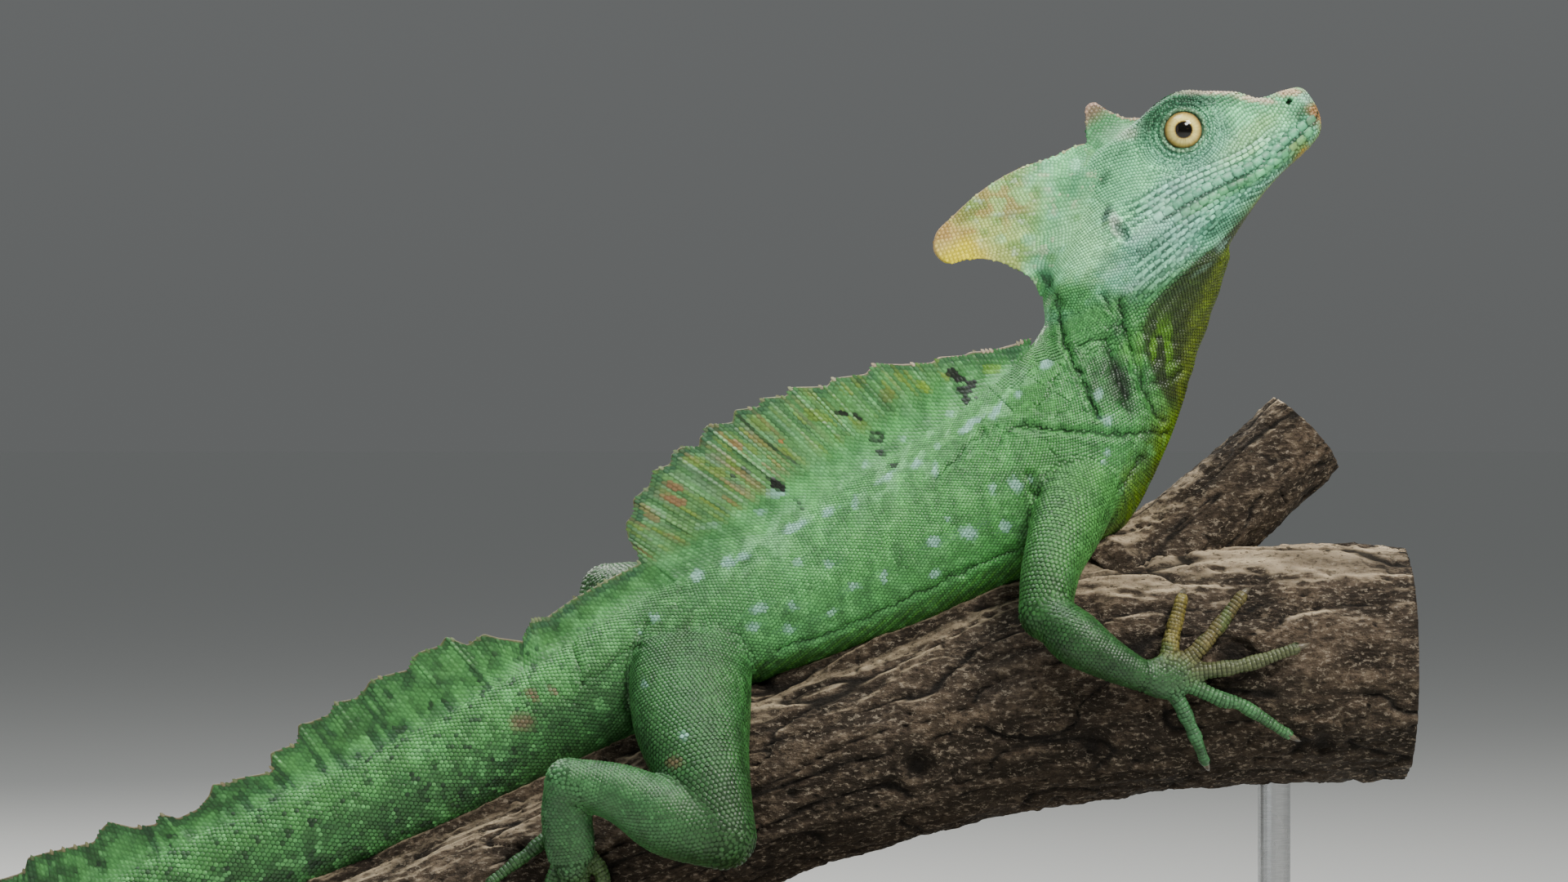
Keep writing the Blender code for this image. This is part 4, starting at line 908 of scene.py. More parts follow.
# colours at a limb's root, its bend (elbow, knee), end of forearm or shank, and hand or foot; the
# dark bend tones and the arm's dark lower tone are in part painted shade
LIMB_TINTS = {"arm": ((104, 152, 100), (64, 98, 62), (50, 78, 50), (84, 118, 88)),
              "leg": ((78, 118, 78), (58, 86, 56), (86, 124, 88), (66, 96, 68))}
DIGIT_TINTS = {"arm": ((112, 104, 70), (98, 92, 66), (92, 98, 74), (84, 118, 86), (80, 114, 84)),
               "leg": ((80, 98, 68), (74, 96, 66), (72, 98, 68), (70, 98, 68), (70, 98, 68))}


def zone_paint(co, label, along, around, names):
    """Soft base colour by part; around is 0 on the back and 1 on the belly."""
    u, v = sheet_of(co)
    paint = np.zeros((len(co), 3))
    us = [-row[0] for row in TRUNK_TINTS]
    back, flank, belly = (ramp(-u - 0.45 * (v - 900) * (u < 1250), us,
                               [tone(*row[k]) for row in TRUNK_TINTS]) for k in (1, 2, 3))
    w = around[:, None]
    trunk = np.where(w < 0.5, back + (flank - back) * w * 2, flank)
    # belly colours, darker in part as painted shade under the body
    trunk = trunk + (belly - trunk) * (held((w - 0.66) / 0.24) ** 1.2)
    s, h, y = head_frame(co)
    crown, cheek, jaw = tone(98, 156, 114), tone(174, 240, 196), tone(148, 208, 180)
    face = crown + (cheek - crown) * held(w / 0.30)
    face = face + (jaw - face) * held((w - 0.45) / 0.2)
    face = face + (tone(112, 122, 60) - face) * held((w - 0.80) / 0.14)
    for i, name in enumerate(names):
        mine = label == i
        if name == "trunk":
            paint[mine] = trunk[mine]
        elif name == "head":
            paint[mine] = face[mine]
        else:
            kind, a = name.split("_")[1], along[mine][:, None]
            top, bend, lower, foot = (tone(*c) for c in LIMB_TINTS[kind])
            if name.startswith("upper"):
                paint[mine] = top + (bend - top) * a ** 1.6
            elif name.startswith("fore"):
                paint[mine] = bend + (lower - bend) * held(a * 1.8)
            elif name.startswith("palm"):
                paint[mine] = lower + (foot - lower) * a
            else:
                paint[mine] = tone(*DIGIT_TINTS[kind][int(name[-1])])
    return paint


print("sample of flank green", np.round(tone(104, 154, 102), 3))

# %% Marks
BLUE_SPOTS = [  # sheet u, v, radii, turn in degrees, strength
    (1279, 446, 10, 6, 20, 1), (1245, 482, 4, 7, 0, .7), (1217, 505, 5, 12, -35, 1),
    (1188, 519, 17, 5, 38, 1), (1342, 485, 5, 9, -15, .6), (1350, 514, 9, 7, 0, .8),
    (1350, 553, 5, 5, 0, .8), (1345, 565, 7, 4, 0, .7), (1212, 598, 5, 8, 0, .9),
    (1240, 591, 7, 10, 10, .9), (1260, 588, 4, 6, 0, .5), (1185, 651, 11, 9, 0, 1),
    (1229, 642, 7, 7, 0, .8), (1158, 634, 5, 5, 0, .8), (1142, 662, 9, 8, 0, 1),
    (1144, 700, 9, 6, 0, .9), (1144, 576, 4, 9, 0, .8), (1121, 567, 8, 5, 30, 1),
    (1085, 583, 14, 5, 30, 1), (1060, 569, 5, 5, 0, .5), (1016, 626, 10, 6, 30, 1),
    (974, 643, 13, 6, 35, 1), (949, 604, 12, 7, 0, 1), (1047, 616, 4, 9, 0, .6),
    (932, 628, 6, 5, 0, .6), (895, 687, 9, 6, 20, 1), (912, 680, 6, 5, 0, .9),
    (868, 644, 13, 5, 10, .6), (856, 704, 9, 7, 0, .9), (1082, 704, 5, 9, 0, .8),
    (1045, 714, 7, 6, 0, .8), (1014, 689, 6, 5, 0, .6), (977, 687, 6, 5, 0, .6),
    (970, 740, 7, 6, 0, .7), (1017, 747, 7, 6, 0, .7), (965, 767, 6, 6, 0, .7),
    (930, 743, 12, 6, 20, .8), (925, 765, 7, 6, 0, .8), (840, 890, 6, 5, 0, .8),
    (793, 832, 5, 4, 0, .7), (802, 754, 6, 6, 0, .7), (785, 772, 6, 5, 0, .7),
    (1106, 538, 4, 4, 0, .5), (1164, 507, 4, 4, 0, .5), (1147, 545, 4, 6, 0, .4)]
HEAD_MARKS = [  # sheet u, v, radii, turn in degrees, colour, strength
    (1594, 140, 15, 13, 30, (76, 106, 82), .85), (1604, 151, 8, 3, 20, (26, 24, 20), .9),
    (1306, 366, 40, 22, 10, (104, 158, 104), .9), (1300, 330, 26, 26, 0, (122, 180, 126), .7),
    (1378, 166, 12, 7, 20, (226, 226, 206), .8), (1400, 152, 14, 5, 30, (150, 200, 164), .6),
    (1392, 424, 24, 20, 30, (112, 164, 100), .5),
    (1345, 232, 30, 22, 20, (128, 178, 138), .4), (1462, 196, 30, 8, 30, (132, 184, 160), .5),
    (1425, 238, 26, 7, 40, (72, 112, 92), .55), (1396, 262, 24, 6, 48, (80, 122, 104), .5),
    (1613, 138, 12, 17, 15, (158, 116, 84), .9), (1599, 119, 12, 8, 0, (168, 196, 184), .75),
    (1576, 114, 18, 5, 5, (206, 178, 156), .85), (1535, 123, 26, 4, -8, (222, 206, 186), .9),
    (1477, 115, 50, 4, 3, (226, 206, 188), .95), (1525, 171, 46, 15, 40, (168, 206, 150), .7),
    (1589, 185, 13, 9, 50, (196, 164, 70), .85), (1590, 165, 14, 7, 30, (132, 176, 142), .5),
    # the first mark on the next line is painted shadow above the eye, under the brow ridge
    (1456, 128, 48, 8, 3, (44, 76, 56), .9), (1406, 144, 20, 16, 45, (84, 122, 94), .6),
    (1497, 154, 10, 20, 25, (84, 124, 100), .55), (1416, 178, 20, 12, 0, (122, 172, 140), .4),
    (1465, 208, 70, 20, 38, (150, 196, 182), .45), (1432, 264, 56, 30, 52, (172, 210, 200), .65),
    (1372, 163, 26, 12, 10, (176, 208, 186), .55), (1346, 193, 46, 24, 30, (146, 196, 160), .45),
    (1396, 322, 40, 36, 0, (150, 198, 176), .5), (1376, 228, 34, 30, 0, (130, 186, 150), .4),
    (1350, 221, 5, 9, -40, (40, 62, 46), .7), (1372, 189, 8, 4, 30, (70, 108, 80), .5),
    (1362, 278, 7, 15, 16, (228, 240, 232), .95), (1375, 290, 2.5, 13, 10, (70, 106, 92), .7),
    (1350, 270, 3.5, 16, -8, (34, 48, 38), .9), (1317, 292, 40, 46, 20, (190, 238, 192), .65),
    (1352, 264, 4, 12, -30, (36, 52, 40), .85), (1286, 283, 40, 26, 30, (96, 150, 104), .45),
    (1367, 468, 12, 32, 18, (18, 32, 18), .95), (1350, 468, 20, 26, 10, (50, 78, 50), .65),
    (1368, 406, 8, 14, 10, (54, 80, 58), .55), (1432, 545, 20, 36, 10, (112, 140, 56), .65),
    (1396, 639, 22, 60, 12, (104, 128, 44), .7), (1339, 689, 36, 26, 0, (104, 138, 58), .5),
    # the two marks on the next line are painted shade on the shoulder, over the arm
    (1342, 601, 30, 9, -10, (66, 96, 66), .5), (1284, 609, 24, 14, 0, (58, 88, 58), .45),
    (643, 882, 13, 10, 0, (120, 84, 80), .7), (655, 849, 9, 5, -45, (116, 76, 74), .75),
    (680, 843, 8, 4, -45, (116, 76, 74), .65), (829, 922, 9, 6, 0, (130, 92, 84), .55),
    (833, 778, 34, 8, 60, (58, 80, 52), .45), (881, 828, 22, 30, 0, (70, 100, 66), .35)]
BACK_MARKS = [  # black flecks at the foot of the sail, then the green inside the ring
    (1075, 536, 9, 8, 0, (12, 18, 12), .92), (1079, 554, 6, 5, -20, (12, 18, 12), .92),
    (1094, 569, 5, 3, 0, (14, 20, 14), .9), (1076, 535, 4, 3, 0, (110, 160, 110), .9)]
JAW_EDGE = [(150, 1612), (183, 1580), (226, 1556), (266, 1517), (299, 1484), (325, 1451),
            (355, 1418), (375, 1400), (400, 1391), (430, 1393), (470, 1410), (500, 1428)]
THROAT_FRONT = [(150, 1626), (185, 1592), (240, 1546), (310, 1502), (400, 1471), (450, 1460),
                (470, 1446), (500, 1446)]         # sheet v and u, from the chin down


def oval(u, v, cu, cv, ru, rv, turn):
    a = math.radians(turn)
    du, dv = u - cu, -(v - cv)
    x, y = du * math.cos(a) + dv * math.sin(a), -du * math.sin(a) + dv * math.cos(a)
    return np.sqrt((x / ru) ** 2 + (y / rv) ** 2)


BACKS, BELLIES = (np.array([row[k:k + 2] for row in BODY.values()], float)[::-1] for k in (0, 2))


def marks(co, base, limb):
    """Lay the marks over a base colour; limb tells points of arms and legs."""
    u, v = sheet_of(co)
    paint = base.copy()

    def dab(colour, share):
        nonlocal paint
        paint = lay(paint, tone(*colour), share)

    mottle = cloud(co, 7, 1) - 0.5
    paint *= (1 + 0.28 * mottle + 0.42 * (cloud(co, 2.4, 2) - 0.5)
              + 0.30 * (cloud(co, 1.1, 52) - 0.5))[:, None]
    tail = held((860 - u) / 240) * ~limb
    patch = (cloud(co, 4.6, 3) * 0.45 + cloud(co, 2.2, 4) * 0.35 + cloud(co, 1.2, 7) * 0.20)
    depth = (v - np.interp(u, *BACKS.T)) / (np.interp(u, *BELLIES.T) - np.interp(u, *BACKS.T))
    band = bell(depth - 0.20, 0.26)
    dab((118, 172, 114), band * 0.55 * tail)
    dab((128, 186, 128), held((patch - 0.53) * 9) * (0.34 + 0.34 * band) * tail)
    dab((40, 64, 46), held((0.45 - patch) * 9) * (0.55 - 0.35 * band) * tail)
    dab((26, 42, 30), held((cloud(co, 1.3, 9) - 0.69) * 10) * 0.8 * tail)
    dab((140, 196, 140), held((cloud(co, 2.0, 46) - 0.66) * 8) * (0.35 + 0.25 * tail) * ~limb
        * (v > 330))
    dab((62, 96, 62), held((cloud(co, 3.4, 47) - 0.66) * 7) * 0.4 * (v > 330))
    flank = ~limb * held((u - 850) / 60) * held((1290 - u) / 60)
    fall = cloud(np.stack([(u - 0.22 * v) / 9, v / 44, 0 * u], 1) * MM, 1.0, 56)
    paint *= (1 + 0.62 * (fall - 0.5) * flank)[:, None]
    fleck = cloud(np.stack([(u + 0.45 * v) / 10, v / 13, 0 * u], 1) * MM, 1.0, 57)
    dab((162, 216, 168), held((fleck - 0.55) * 8) * 0.50 * flank * bell(depth - 0.13, 0.15))
    below = flank * held((v - np.interp(u, [950, 1108, 1204, 1266], [794, 731, 685, 660]) - 8)
                         / 8) * (co[:, 1] < 12 * MM)
    slant = np.cos(2 * np.pi * (0.67 * u + 0.74 * v) / 9)
    dab((34, 60, 28), held(-slant) * 0.55 * below)
    dab((116, 164, 82), held(slant - 0.2) * 0.35 * below)
    # painted shade in curved skin folds at the hip
    hip = np.hypot((u - 846) / 1.3, v - 842)
    dab((40, 64, 40), bell(hip - 56, 22) * 0.55
        * held(np.cos(hip * 2 * np.pi / 8 + 3 * cloud(co, 5, 58))) * (v < 850) * (u > 840)
        * (co[:, 1] < 0))
    rings = 0.5 + 0.5 * np.sin(u / 26 + 1.2 * cloud(co, 14, 5))
    dab((58, 66, 46), held(rings - 0.55) * 0.9 * held((-60 - u) / 500) * ~limb)
    edge = cloud(co, 1.3, 6) - 0.5
    for cu, cv, ru, rv, turn, colour, strength in HEAD_MARKS:
        off = oval(u, v, cu, cv, ru, rv, turn) + 0.5 * edge
        share = strength * held((1.45 - off) / 0.9)
        if cu > 1300 or cu < 1000:
            dab(colour, share * (~limb if cu > 900 else 1))
    jaw = np.interp(v, *np.array(JAW_EDGE, float).T)
    front = np.interp(v, *np.array(THROAT_FRONT, float).T)
    deep = np.clip((u - jaw) / np.maximum(front - jaw, 1), 0, 1.2)
    # the olive of the throat, darkened in part as painted shade under the jaw
    shaded_olive = ramp(deep, [0, 0.25, 0.70, 0.90, 1.1], [tone(58, 82, 44), tone(44, 54, 22), tone(
        58, 66, 26), tone(104, 118, 58), tone(84, 96, 44)])
    shaded_olive *= (1 - 0.30 * held(np.sin(2 * np.pi * (v - 0.35 * u) / 8.5)))[:, None]
    under = held((u - jaw) / 7) * held((v - 170) / 40) * held((505 - v) / 20) * ~limb
    paint += (shaded_olive * (0.9 + 0.5 * (cloud(co, 1.8, 31) - 0.5))[:, None] - paint) * (
        under * 0.92)[:, None]
    folds = cloud(np.stack([u / 9, v / 34, 0 * u], 1) * MM, 1.0, 33)
    soft = held(1.4 - oval(u, v, 1418, 428, 26, 36, 0)) * ~limb
    dab((112, 154, 80), held((folds - 0.5) * 6) * soft * 0.75)
    far = np.hypot(u - 1288, v - 612)
    dab((40, 66, 40), bell(far, 46) * 0.70
        * held(np.cos(far * 2 * np.pi / 9.5 + 3 * cloud(co, 5, 45))))
    rows_far = np.hypot((u - 1300) / 1.5, v - 622)
    dab((46, 74, 44), bell(rows_far, 84, 6) * (u > 1290) * (v > 534)
        * (held(np.cos(rows_far * 2 * np.pi / 7.5 + 2.5 * cloud(co, 6, 55)) + 0.1) * 0.5 * ~limb))
    for cu, cv, ru, rv, turn_, strength in BLUE_SPOTS:
        off = oval(u, v, cu, cv, ru, rv, turn_) + 1.1 * edge
        on = (~limb if cu > 845 else np.ones(len(u), bool))
        dab((168, 208, 196), held((1.15 - off) / 0.6) * 0.86 * strength * on)
    for cu, cv, ru, rv, turn_, colour, strength in BACK_MARKS:
        off = oval(u, v, cu, cv, ru, rv, turn_) + 0.3 * edge
        dab(colour, held((1.2 - off) / 0.3) * strength * ~limb)
    s, h, y = head_frame(co)
    side = np.abs(y) > 4
    streak = cloud(np.stack([s * 0.22, h * 1.0, y * 0.2], 1) * MM, 1.9, 8)
    zone = (held((s - 18) / 12) * held((70 - s) / 12) * held((3.5 - h) / 3)
            * held((h + 17) / 6) * side)
    mouth = smooth(HEAD_S, HEAD["mouth"], np.clip(s, -2.4, 46))[:, 0]
    fan, rise = np.clip((s - 26) / 30, 0, 1.2), h - mouth
    strap = np.where(rise < 0, (-rise - 2.95 - 0.9 * fan) / (1.08 + fan),
                     (rise - 3.05 - 0.8 * fan) / (1.18 + 0.8 * fan))
    seam = np.exp(-((strap - np.floor(strap) - 0.5) / 0.20) ** 2) * (strap > -0.6)
    rows = held((s - 4) / 10) * held((64 - s) / 12) * side * np.where(
        rise < 0, held((5.7 - strap) / 1.5), held((3.6 - strap) / 1.5))
    dab((172, 220, 202), (1 - seam) * rows * 0.45 * held((streak - 0.35) * 4))
    dab((52, 88, 70), seam * rows * np.clip(0.35 + 1.6 * (cloud(co, 3.5, 44) - 0.3), 0.1, 0.85))
    dab((196, 232, 220), held((streak - 0.56) * 5) * 0.40 * zone)
    dab((60, 98, 78), held((0.36 - streak) * 6) * 0.55 * zone)
    lip = bell(h - mouth, 0.5) * (s < 46) * (np.abs(y) > 2)
    dab((30, 48, 36), lip * 0.9)
    labial = bell(h - mouth - 1.7, 1.5, 4) * held((46 - s) / 6) * side
    dab((98, 152, 124), labial * 0.75)
    lower = bell(h - mouth + 1.9, 1.3, 4) * held((44 - s) / 6) * side
    dab((96, 150, 104), lower * 0.7)
    for level, offset in ((1.7, 0.0), (-1.9, 1.4)):
        tick = np.abs((s + offset) % 2.8 - 1.4) > 1.22
        dab((50, 84, 70), tick * 0.6 * side * (s < 45) * np.exp(-((rise - level) / 1.3) ** 6))
    r = eye_gap(s, h)
    lids = held((13 - r) / 3) * held((r - 5.0) / 0.3) * (np.abs(y) > 6)
    # paler lower lids; the darkening of the upper lids is painted shade under the brow ridge
    dab((140, 190, 166), lids * 0.6 * held(0.7 - (h - EYE_H) / 9))
    dab((60, 98, 76), lids * 0.6 * held((h - EYE_H - 1) / 5))
    dab((52, 86, 66), lids * 0.50
        * held(np.cos((r - 6.45) * 2 * np.pi / 1.36 + 1.5 * (cloud(co, 4, 43) - 0.5)) * 1.6 - 0.2))
    dab((26, 32, 22), bell(r - 5.1, 0.35) * 0.85 * side)
    dab((150, 180, 150), bell(r - 5.8, 0.35) * 0.7 * side)
    # the nostril pit painted near black: painted shade in the opening
    pit = np.exp(-(((s - 3.2) / 0.9) ** 2 + ((h - 7.7) / 0.75) ** 2) ** 2)
    dab((28, 26, 20), pit * 0.9 * (np.abs(y) > 1.5))
    cup = np.exp(-(((s - 55.2) / 1.3) ** 2 + ((h - 3.2) / 2.6) ** 2) ** 2)
    dab((150, 184, 168), cup * 0.6 * side)
    # painted shade in the creases, on the body and on the right leg
    _, dark = crease_masks(co)
    on_leg = limb & (u < 1000) & (co[:, 1] < 0)
    paint = lay(paint, paint * 0.24, dark * ((np.abs(co[:, 1]) < 19 * MM) & ~limb | on_leg))
    # painted shade in a fine net of wrinkles on the neck
    net = cloud(np.stack([u / 11 + v / 60, v / 26, 0 * u], 1) * MM, 1.0, 51)
    paint = lay(paint, paint * 0.35, bell(net - 0.5, 0.045) * 0.55 * ~limb
                * held(1.5 - oval(u, v, 1338, 440, 66, 78, 0)))
    return np.clip(paint, 0.002, 1)


print(len(BLUE_SPOTS), "pale spots and", len(HEAD_MARKS), "other marks")

# %% Paint the skin
def write_tint(mesh, paint, name="Tint"):
    store_values(mesh, name, "FLOAT_COLOR", np.c_[paint, np.ones(len(paint))])


label, along, around, part_names = owner_of(co)
is_limb = np.isin(label, [i for i, n in enumerate(part_names) if n not in ("head", "trunk")])
base = zone_paint(co, label, along, around, part_names)
base = relax(base, edges, np.full(len(co), 0.9), 16)
# the skin under the scales gets 0.45 of their paint: painted shade in the gaps between scales
write_tint(skin.data, marks(co, base, is_limb) * 0.45)
print("painted", len(co), "points, mean", np.round(base.mean(0), 3))

# %% [markdown]
# ## Skin and scale finish
#
# Scales are horny and a little glossy, skin between them is dull. Both take
# their colour from the paint stored on the mesh. A node group adds what paint
# on points is too coarse for: a fine speckle, a cloudy drift of tone and the
# worn, paler spots that give living skin its depth.


# %% Shader helpers
def group_tree(name, inputs, outputs, family="ShaderNodeTree"):
    tree = bpy.data.node_groups.new(name, family)
    for label_, kind, value in inputs:
        socket = tree.interface.new_socket(label_, in_out="INPUT", socket_type=kind)
        if value is not None:
            socket.default_value = value
    for label_, kind in outputs:
        tree.interface.new_socket(label_, in_out="OUTPUT", socket_type=kind)
    return tree, tree.nodes.new("NodeGroupInput"), tree.nodes.new("NodeGroupOutput")


def is_output(value):
    return hasattr(value, "is_output")


def wire(value, socket):
    """Link an output to a socket, or set the socket to a plain value."""
    if is_output(value):
        socket.id_data.links.new(value, socket)
    else:
        socket.default_value = value


def add_node(tree, kind, values=None, **settings):
    """A new node with its settings; its inputs take values or other nodes' outputs."""
    node = tree.nodes.new(kind)
    for key, value in settings.items():
        setattr(node, key, value)
    for key, value in (values or {}).items():
        wire(value, node.inputs[key])
    return node


def stored(tree, name, output="Fac"):
    """Values stored on the mesh under a name."""
    return add_node(tree, "ShaderNodeAttribute", attribute_name=name).outputs[output]


def stretched(place, *scale):
    return add_node(place.id_data, "ShaderNodeMapping",
                    {"Vector": place, "Scale": scale}).outputs[0]


def noise_node(place, scale, detail, rough):
    return add_node(place.id_data, "ShaderNodeTexNoise",
                    {"Vector": place, "Scale": scale, "Detail": detail,
                     "Roughness": rough}).outputs["Fac"]


def range_node(source, low, high, to_low, to_high):
    return add_node(source.id_data, "ShaderNodeMapRange",
                    {"Value": source, "From Min": low, "From Max": high, "To Min": to_low,
                     "To Max": to_high}).outputs["Result"]


def mix_node(share, a, b, blend="MIX"):
    tree = next(v.id_data for v in (share, a, b) if is_output(v))
    return add_node(tree, "ShaderNodeMix", {0: share, 6: a, 7: b}, data_type="RGBA",
                    blend_type=blend).outputs[2]


def math_node(operation, first, *others):
    return add_node(first.id_data, "ShaderNodeMath", dict(enumerate((first, *others))),
                    operation=operation).outputs[0]


def grey_of(source):
    return add_node(source.id_data, "ShaderNodeCombineColor",
                    dict.fromkeys(range(3), source)).outputs[0]


def coats(ground, rows):
    """Colours laid over a ground, each in the share that its source gives."""
    for source, low, high, first, last, colour in rows:
        ground = mix_node(range_node(source, low, high, first, last), ground, (*colour, 1))
    return ground


def new_finish(name):
    """A new material with its tree, its shader and its object coordinates."""
    mat = bpy.data.materials.new(name)
    mat.use_nodes = True
    tree = mat.node_tree
    place = add_node(tree, "ShaderNodeTexCoord").outputs["Object"]
    return mat, tree, tree.nodes["Principled BSDF"], place


def feed(shader, colour, rough, height=None, strength=0.0, distance=0.0):
    """Give a shader its colour and roughness, and a bump with a depth in metres."""
    wire(colour, shader.inputs["Base Color"])
    wire(rough, shader.inputs["Roughness"])
    if height is not None:
        bump = add_node(height.id_data, "ShaderNodeBump",
                        {"Strength": strength, "Distance": distance, "Height": height})
        wire(bump.outputs["Normal"], shader.inputs["Normal"])


def living_skin_group():
    tree, enter, leave = group_tree("living skin", [
        ("Paint", "NodeSocketColor", None), ("Position", "NodeSocketVector", None),
        ("Speckle", "NodeSocketFloat", 0.2), ("Drift", "NodeSocketFloat", 0.15),
        ("Gloss low", "NodeSocketFloat", 0.35), ("Gloss high", "NodeSocketFloat", 0.6)],
        [("Color", "NodeSocketColor"), ("Roughness", "NodeSocketFloat"),
         ("Height", "NodeSocketFloat")])
    given = enter.outputs
    fine, slow, dots = (noise_node(given["Position"], *size)
                        for size in ((1500, 3, 0.6), (170, 3, 0.5), (620, 2, 0.5)))
    speck = grey_of(math_node("MULTIPLY_ADD", fine, 2.0, 0.0))
    paint = mix_node(given["Speckle"], given["Paint"], speck, "MULTIPLY")
    warm = mix_node(range_node(slow, 0.35, 0.7, 0.0, 1.0), paint, (1.45, 1.2, 0.6, 1), "MULTIPLY")
    paint = mix_node(given["Drift"], paint, warm)
    paint = mix_node(range_node(dots, 0.58, 0.70, 0.0, 0.6), paint, (1.5, 1.5, 1.6, 1), "MULTIPLY")
    rough = range_node(dots, 0.3, 0.7, given["Gloss low"], given["Gloss high"])
    for value, name in ((paint, "Color"), (rough, "Roughness"), (fine, "Height")):
        wire(value, leave.inputs[name])
    return tree


LIVING_SKIN = living_skin_group()


def hide_material(name, speckle, drift, low, high, bump, shine=0.5):
    mat, tree, shader, place = new_finish(name)
    group = add_node(tree, "ShaderNodeGroup",
                     {"Paint": stored(tree, "Tint", "Color"), "Position": place,
                      "Speckle": speckle, "Drift": drift, "Gloss low": low, "Gloss high": high},
                     node_tree=LIVING_SKIN).outputs
    feed(shader, group["Color"], group["Roughness"], group["Height"], bump, 0.0002)
    shader.inputs["Specular IOR Level"].default_value = shine
    return mat


SKIN_FINISH = hide_material("skin_between_scales", 0.35, 0.12, 0.55, 0.8, 0.5, 0.3)
SCALE_FINISH = hide_material("horny_scales", 0.22, 0.10, 0.34, 0.55, 0.25, 0.5)
skin.data.materials.clear()
skin.data.materials.append(SKIN_FINISH)
print("finishes:", SKIN_FINISH.name, SCALE_FINISH.name)

# %% [markdown]
# ## Where the scales sit
#
# Scales stand in slanting rows, like roof tiles: each row is shifted by half a
# scale against the last. Rows are laid along every grid, with more scales
# where the body is thicker. Where two grids meet or a bend squeezes the rows,
# crowded scales are dropped, and gaps are then filled one by one at random.
# That is also how it looks on the animal, in the armpit and on the neck.


# %% Rows on the grids
ROW_PITCH = {  # mm along the grid, scale size in mm
    "trunk": ((0, .86), (40, .84), (90, .86), (150, .92), (215, 1.1), (320, 1.3),
              (520, 1.25), (600, 1.05), (660, .62)),
    "head": ((0, .85), (12, 1.0), (40, .94), (60, .84), (84, .84)),
    "upper": ((0, .95), (30, 1.25), (60, 1.35)), "fore": ((0, 1.25), (12, 1.05), (45, .98)),
    "palm": ((0, 1.1), (20, 1.0)), "digit": ((0, 1.1), (15, 1.12), (40, .9)),
}
COARSER = 1.0


def rows_on(name, label):
    """Scale roots on one grid: place, lie, size, share along and around."""
    grid = GRIDS[name]
    closed = np.concatenate([grid, grid[:, :1]], axis=1)
    arcs = np.linalg.norm(np.diff(closed, axis=1), axis=2)
    around = np.concatenate([np.zeros((len(grid), 1)), np.cumsum(arcs, axis=1)], axis=1)
    steps = np.percentile(np.linalg.norm(np.diff(grid, axis=0), axis=2), 72, axis=1)
    length = np.r_[0, np.cumsum(steps)]
    stops = np.array(ROW_PITCH[name.split("_")[0]], float)
    out, x, i, count = [], 0.4 * MM, 0, 0
    brick = 0.0 if name.startswith("digit") else 0.5
    while x < length[-1] - 0.2 * MM:
        size = np.interp(x / MM, stops[:, 0], stops[:, 1]) * MM * COARSER
        f = np.interp(x, length, np.arange(len(length)))
        r = min(int(f), len(grid) - 2)
        t = f - r
        here = around[r] * (1 - t) + around[r + 1] * t
        ideal = here[-1] / size
        if count == 0 or abs(ideal / count - 1) > 0.11:
            count = max(6, int(round(ideal)))
        share = ((np.arange(count) + brick * (i % 2)) / count) % 1.0
        ring, ahead = closed[r] * (1 - t) + closed[r + 1] * t, closed[r + 1] - closed[r]
        cut = share * here[-1]
        co_ = read_line(cut, here, ring)
        lie = read_line(cut, here, ahead)
        column = np.interp(cut, here, np.arange(len(here))) / (len(here) - 1)
        out.append(np.c_[co_, lie, np.full(count, here[-1] / count), np.full(count, f / (
            len(grid) - 1)), column, np.full(count, label)])
        x += size * (0.84 if brick else 1.02)
        i += 1
    return np.concatenate(out)


skin.data.calc_loop_triangles()
tris = np.empty(len(skin.data.loop_triangles) * 3, int)
skin.data.loop_triangles.foreach_get("vertices", tris)
tris = tris.reshape(-1, 3)
skin_tree = BVHTree.FromPolygons([Vector(p) for p in co], [tuple(t) for t in tris.tolist()])
skin_normal = point_normals(skin.data)


def settle(rows, above, below):
    """Move roots onto the skin; drop those that another part hides."""
    keep, spot, face = [], [], []
    for i, p in enumerate(rows[:, 0:3]):
        where, normal, index, gap = skin_tree.find_nearest(Vector(p))
        rise = (Vector(p) - where).dot(normal)
        if gap < above * MM and rise > -below * MM:
            keep.append(i)
            spot.append(where)
            face.append(index)
    rows = rows[keep].copy()
    rows[:, 0:3] = np.array(spot)
    return rows, np.array(face)


def drop_crowded(spots, reach):
    """Indices kept when every kept point clears later ones around it."""
    tree = point_tree(spots)
    alive = np.ones(len(spots), bool)
    for i in range(len(spots)):
        if alive[i]:
            for _, j, _ in tree.find_range(spots[i], reach[i]):
                if j > i:
                    alive[j] = False
    return np.nonzero(alive)[0]


# rows of long plates beside the mouth: rise over the mouth in mm, spread at the jaw's
# angle, height and length of a plate, first and last place behind the snout
STRAPS = [(1.35, .1, 2.0, 2.9, .8, 46), (-1.4, -.1, 1.8, 2.7, 1.6, 44),
          (3.05, .8, 1.25, 1.9, 3, 48), (4.25, 1.6, 1.2, 1.8, 8, 50),
          (5.4, 2.4, 1.15, 1.7, 14, 50), (-2.95, -.9, 1.2, 1.9, 5, 52),
          (-4.1, -1.9, 1.15, 2.0, 9, 56), (-5.2, -2.9, 1.15, 2.0, 14, 58),
          (-6.3, -3.9, 1.1, 2.0, 19, 60), (-7.4, -4.9, 1.1, 1.9, 24, 60),
          (-8.5, -5.9, 1.05, 1.8, 29, 60)]


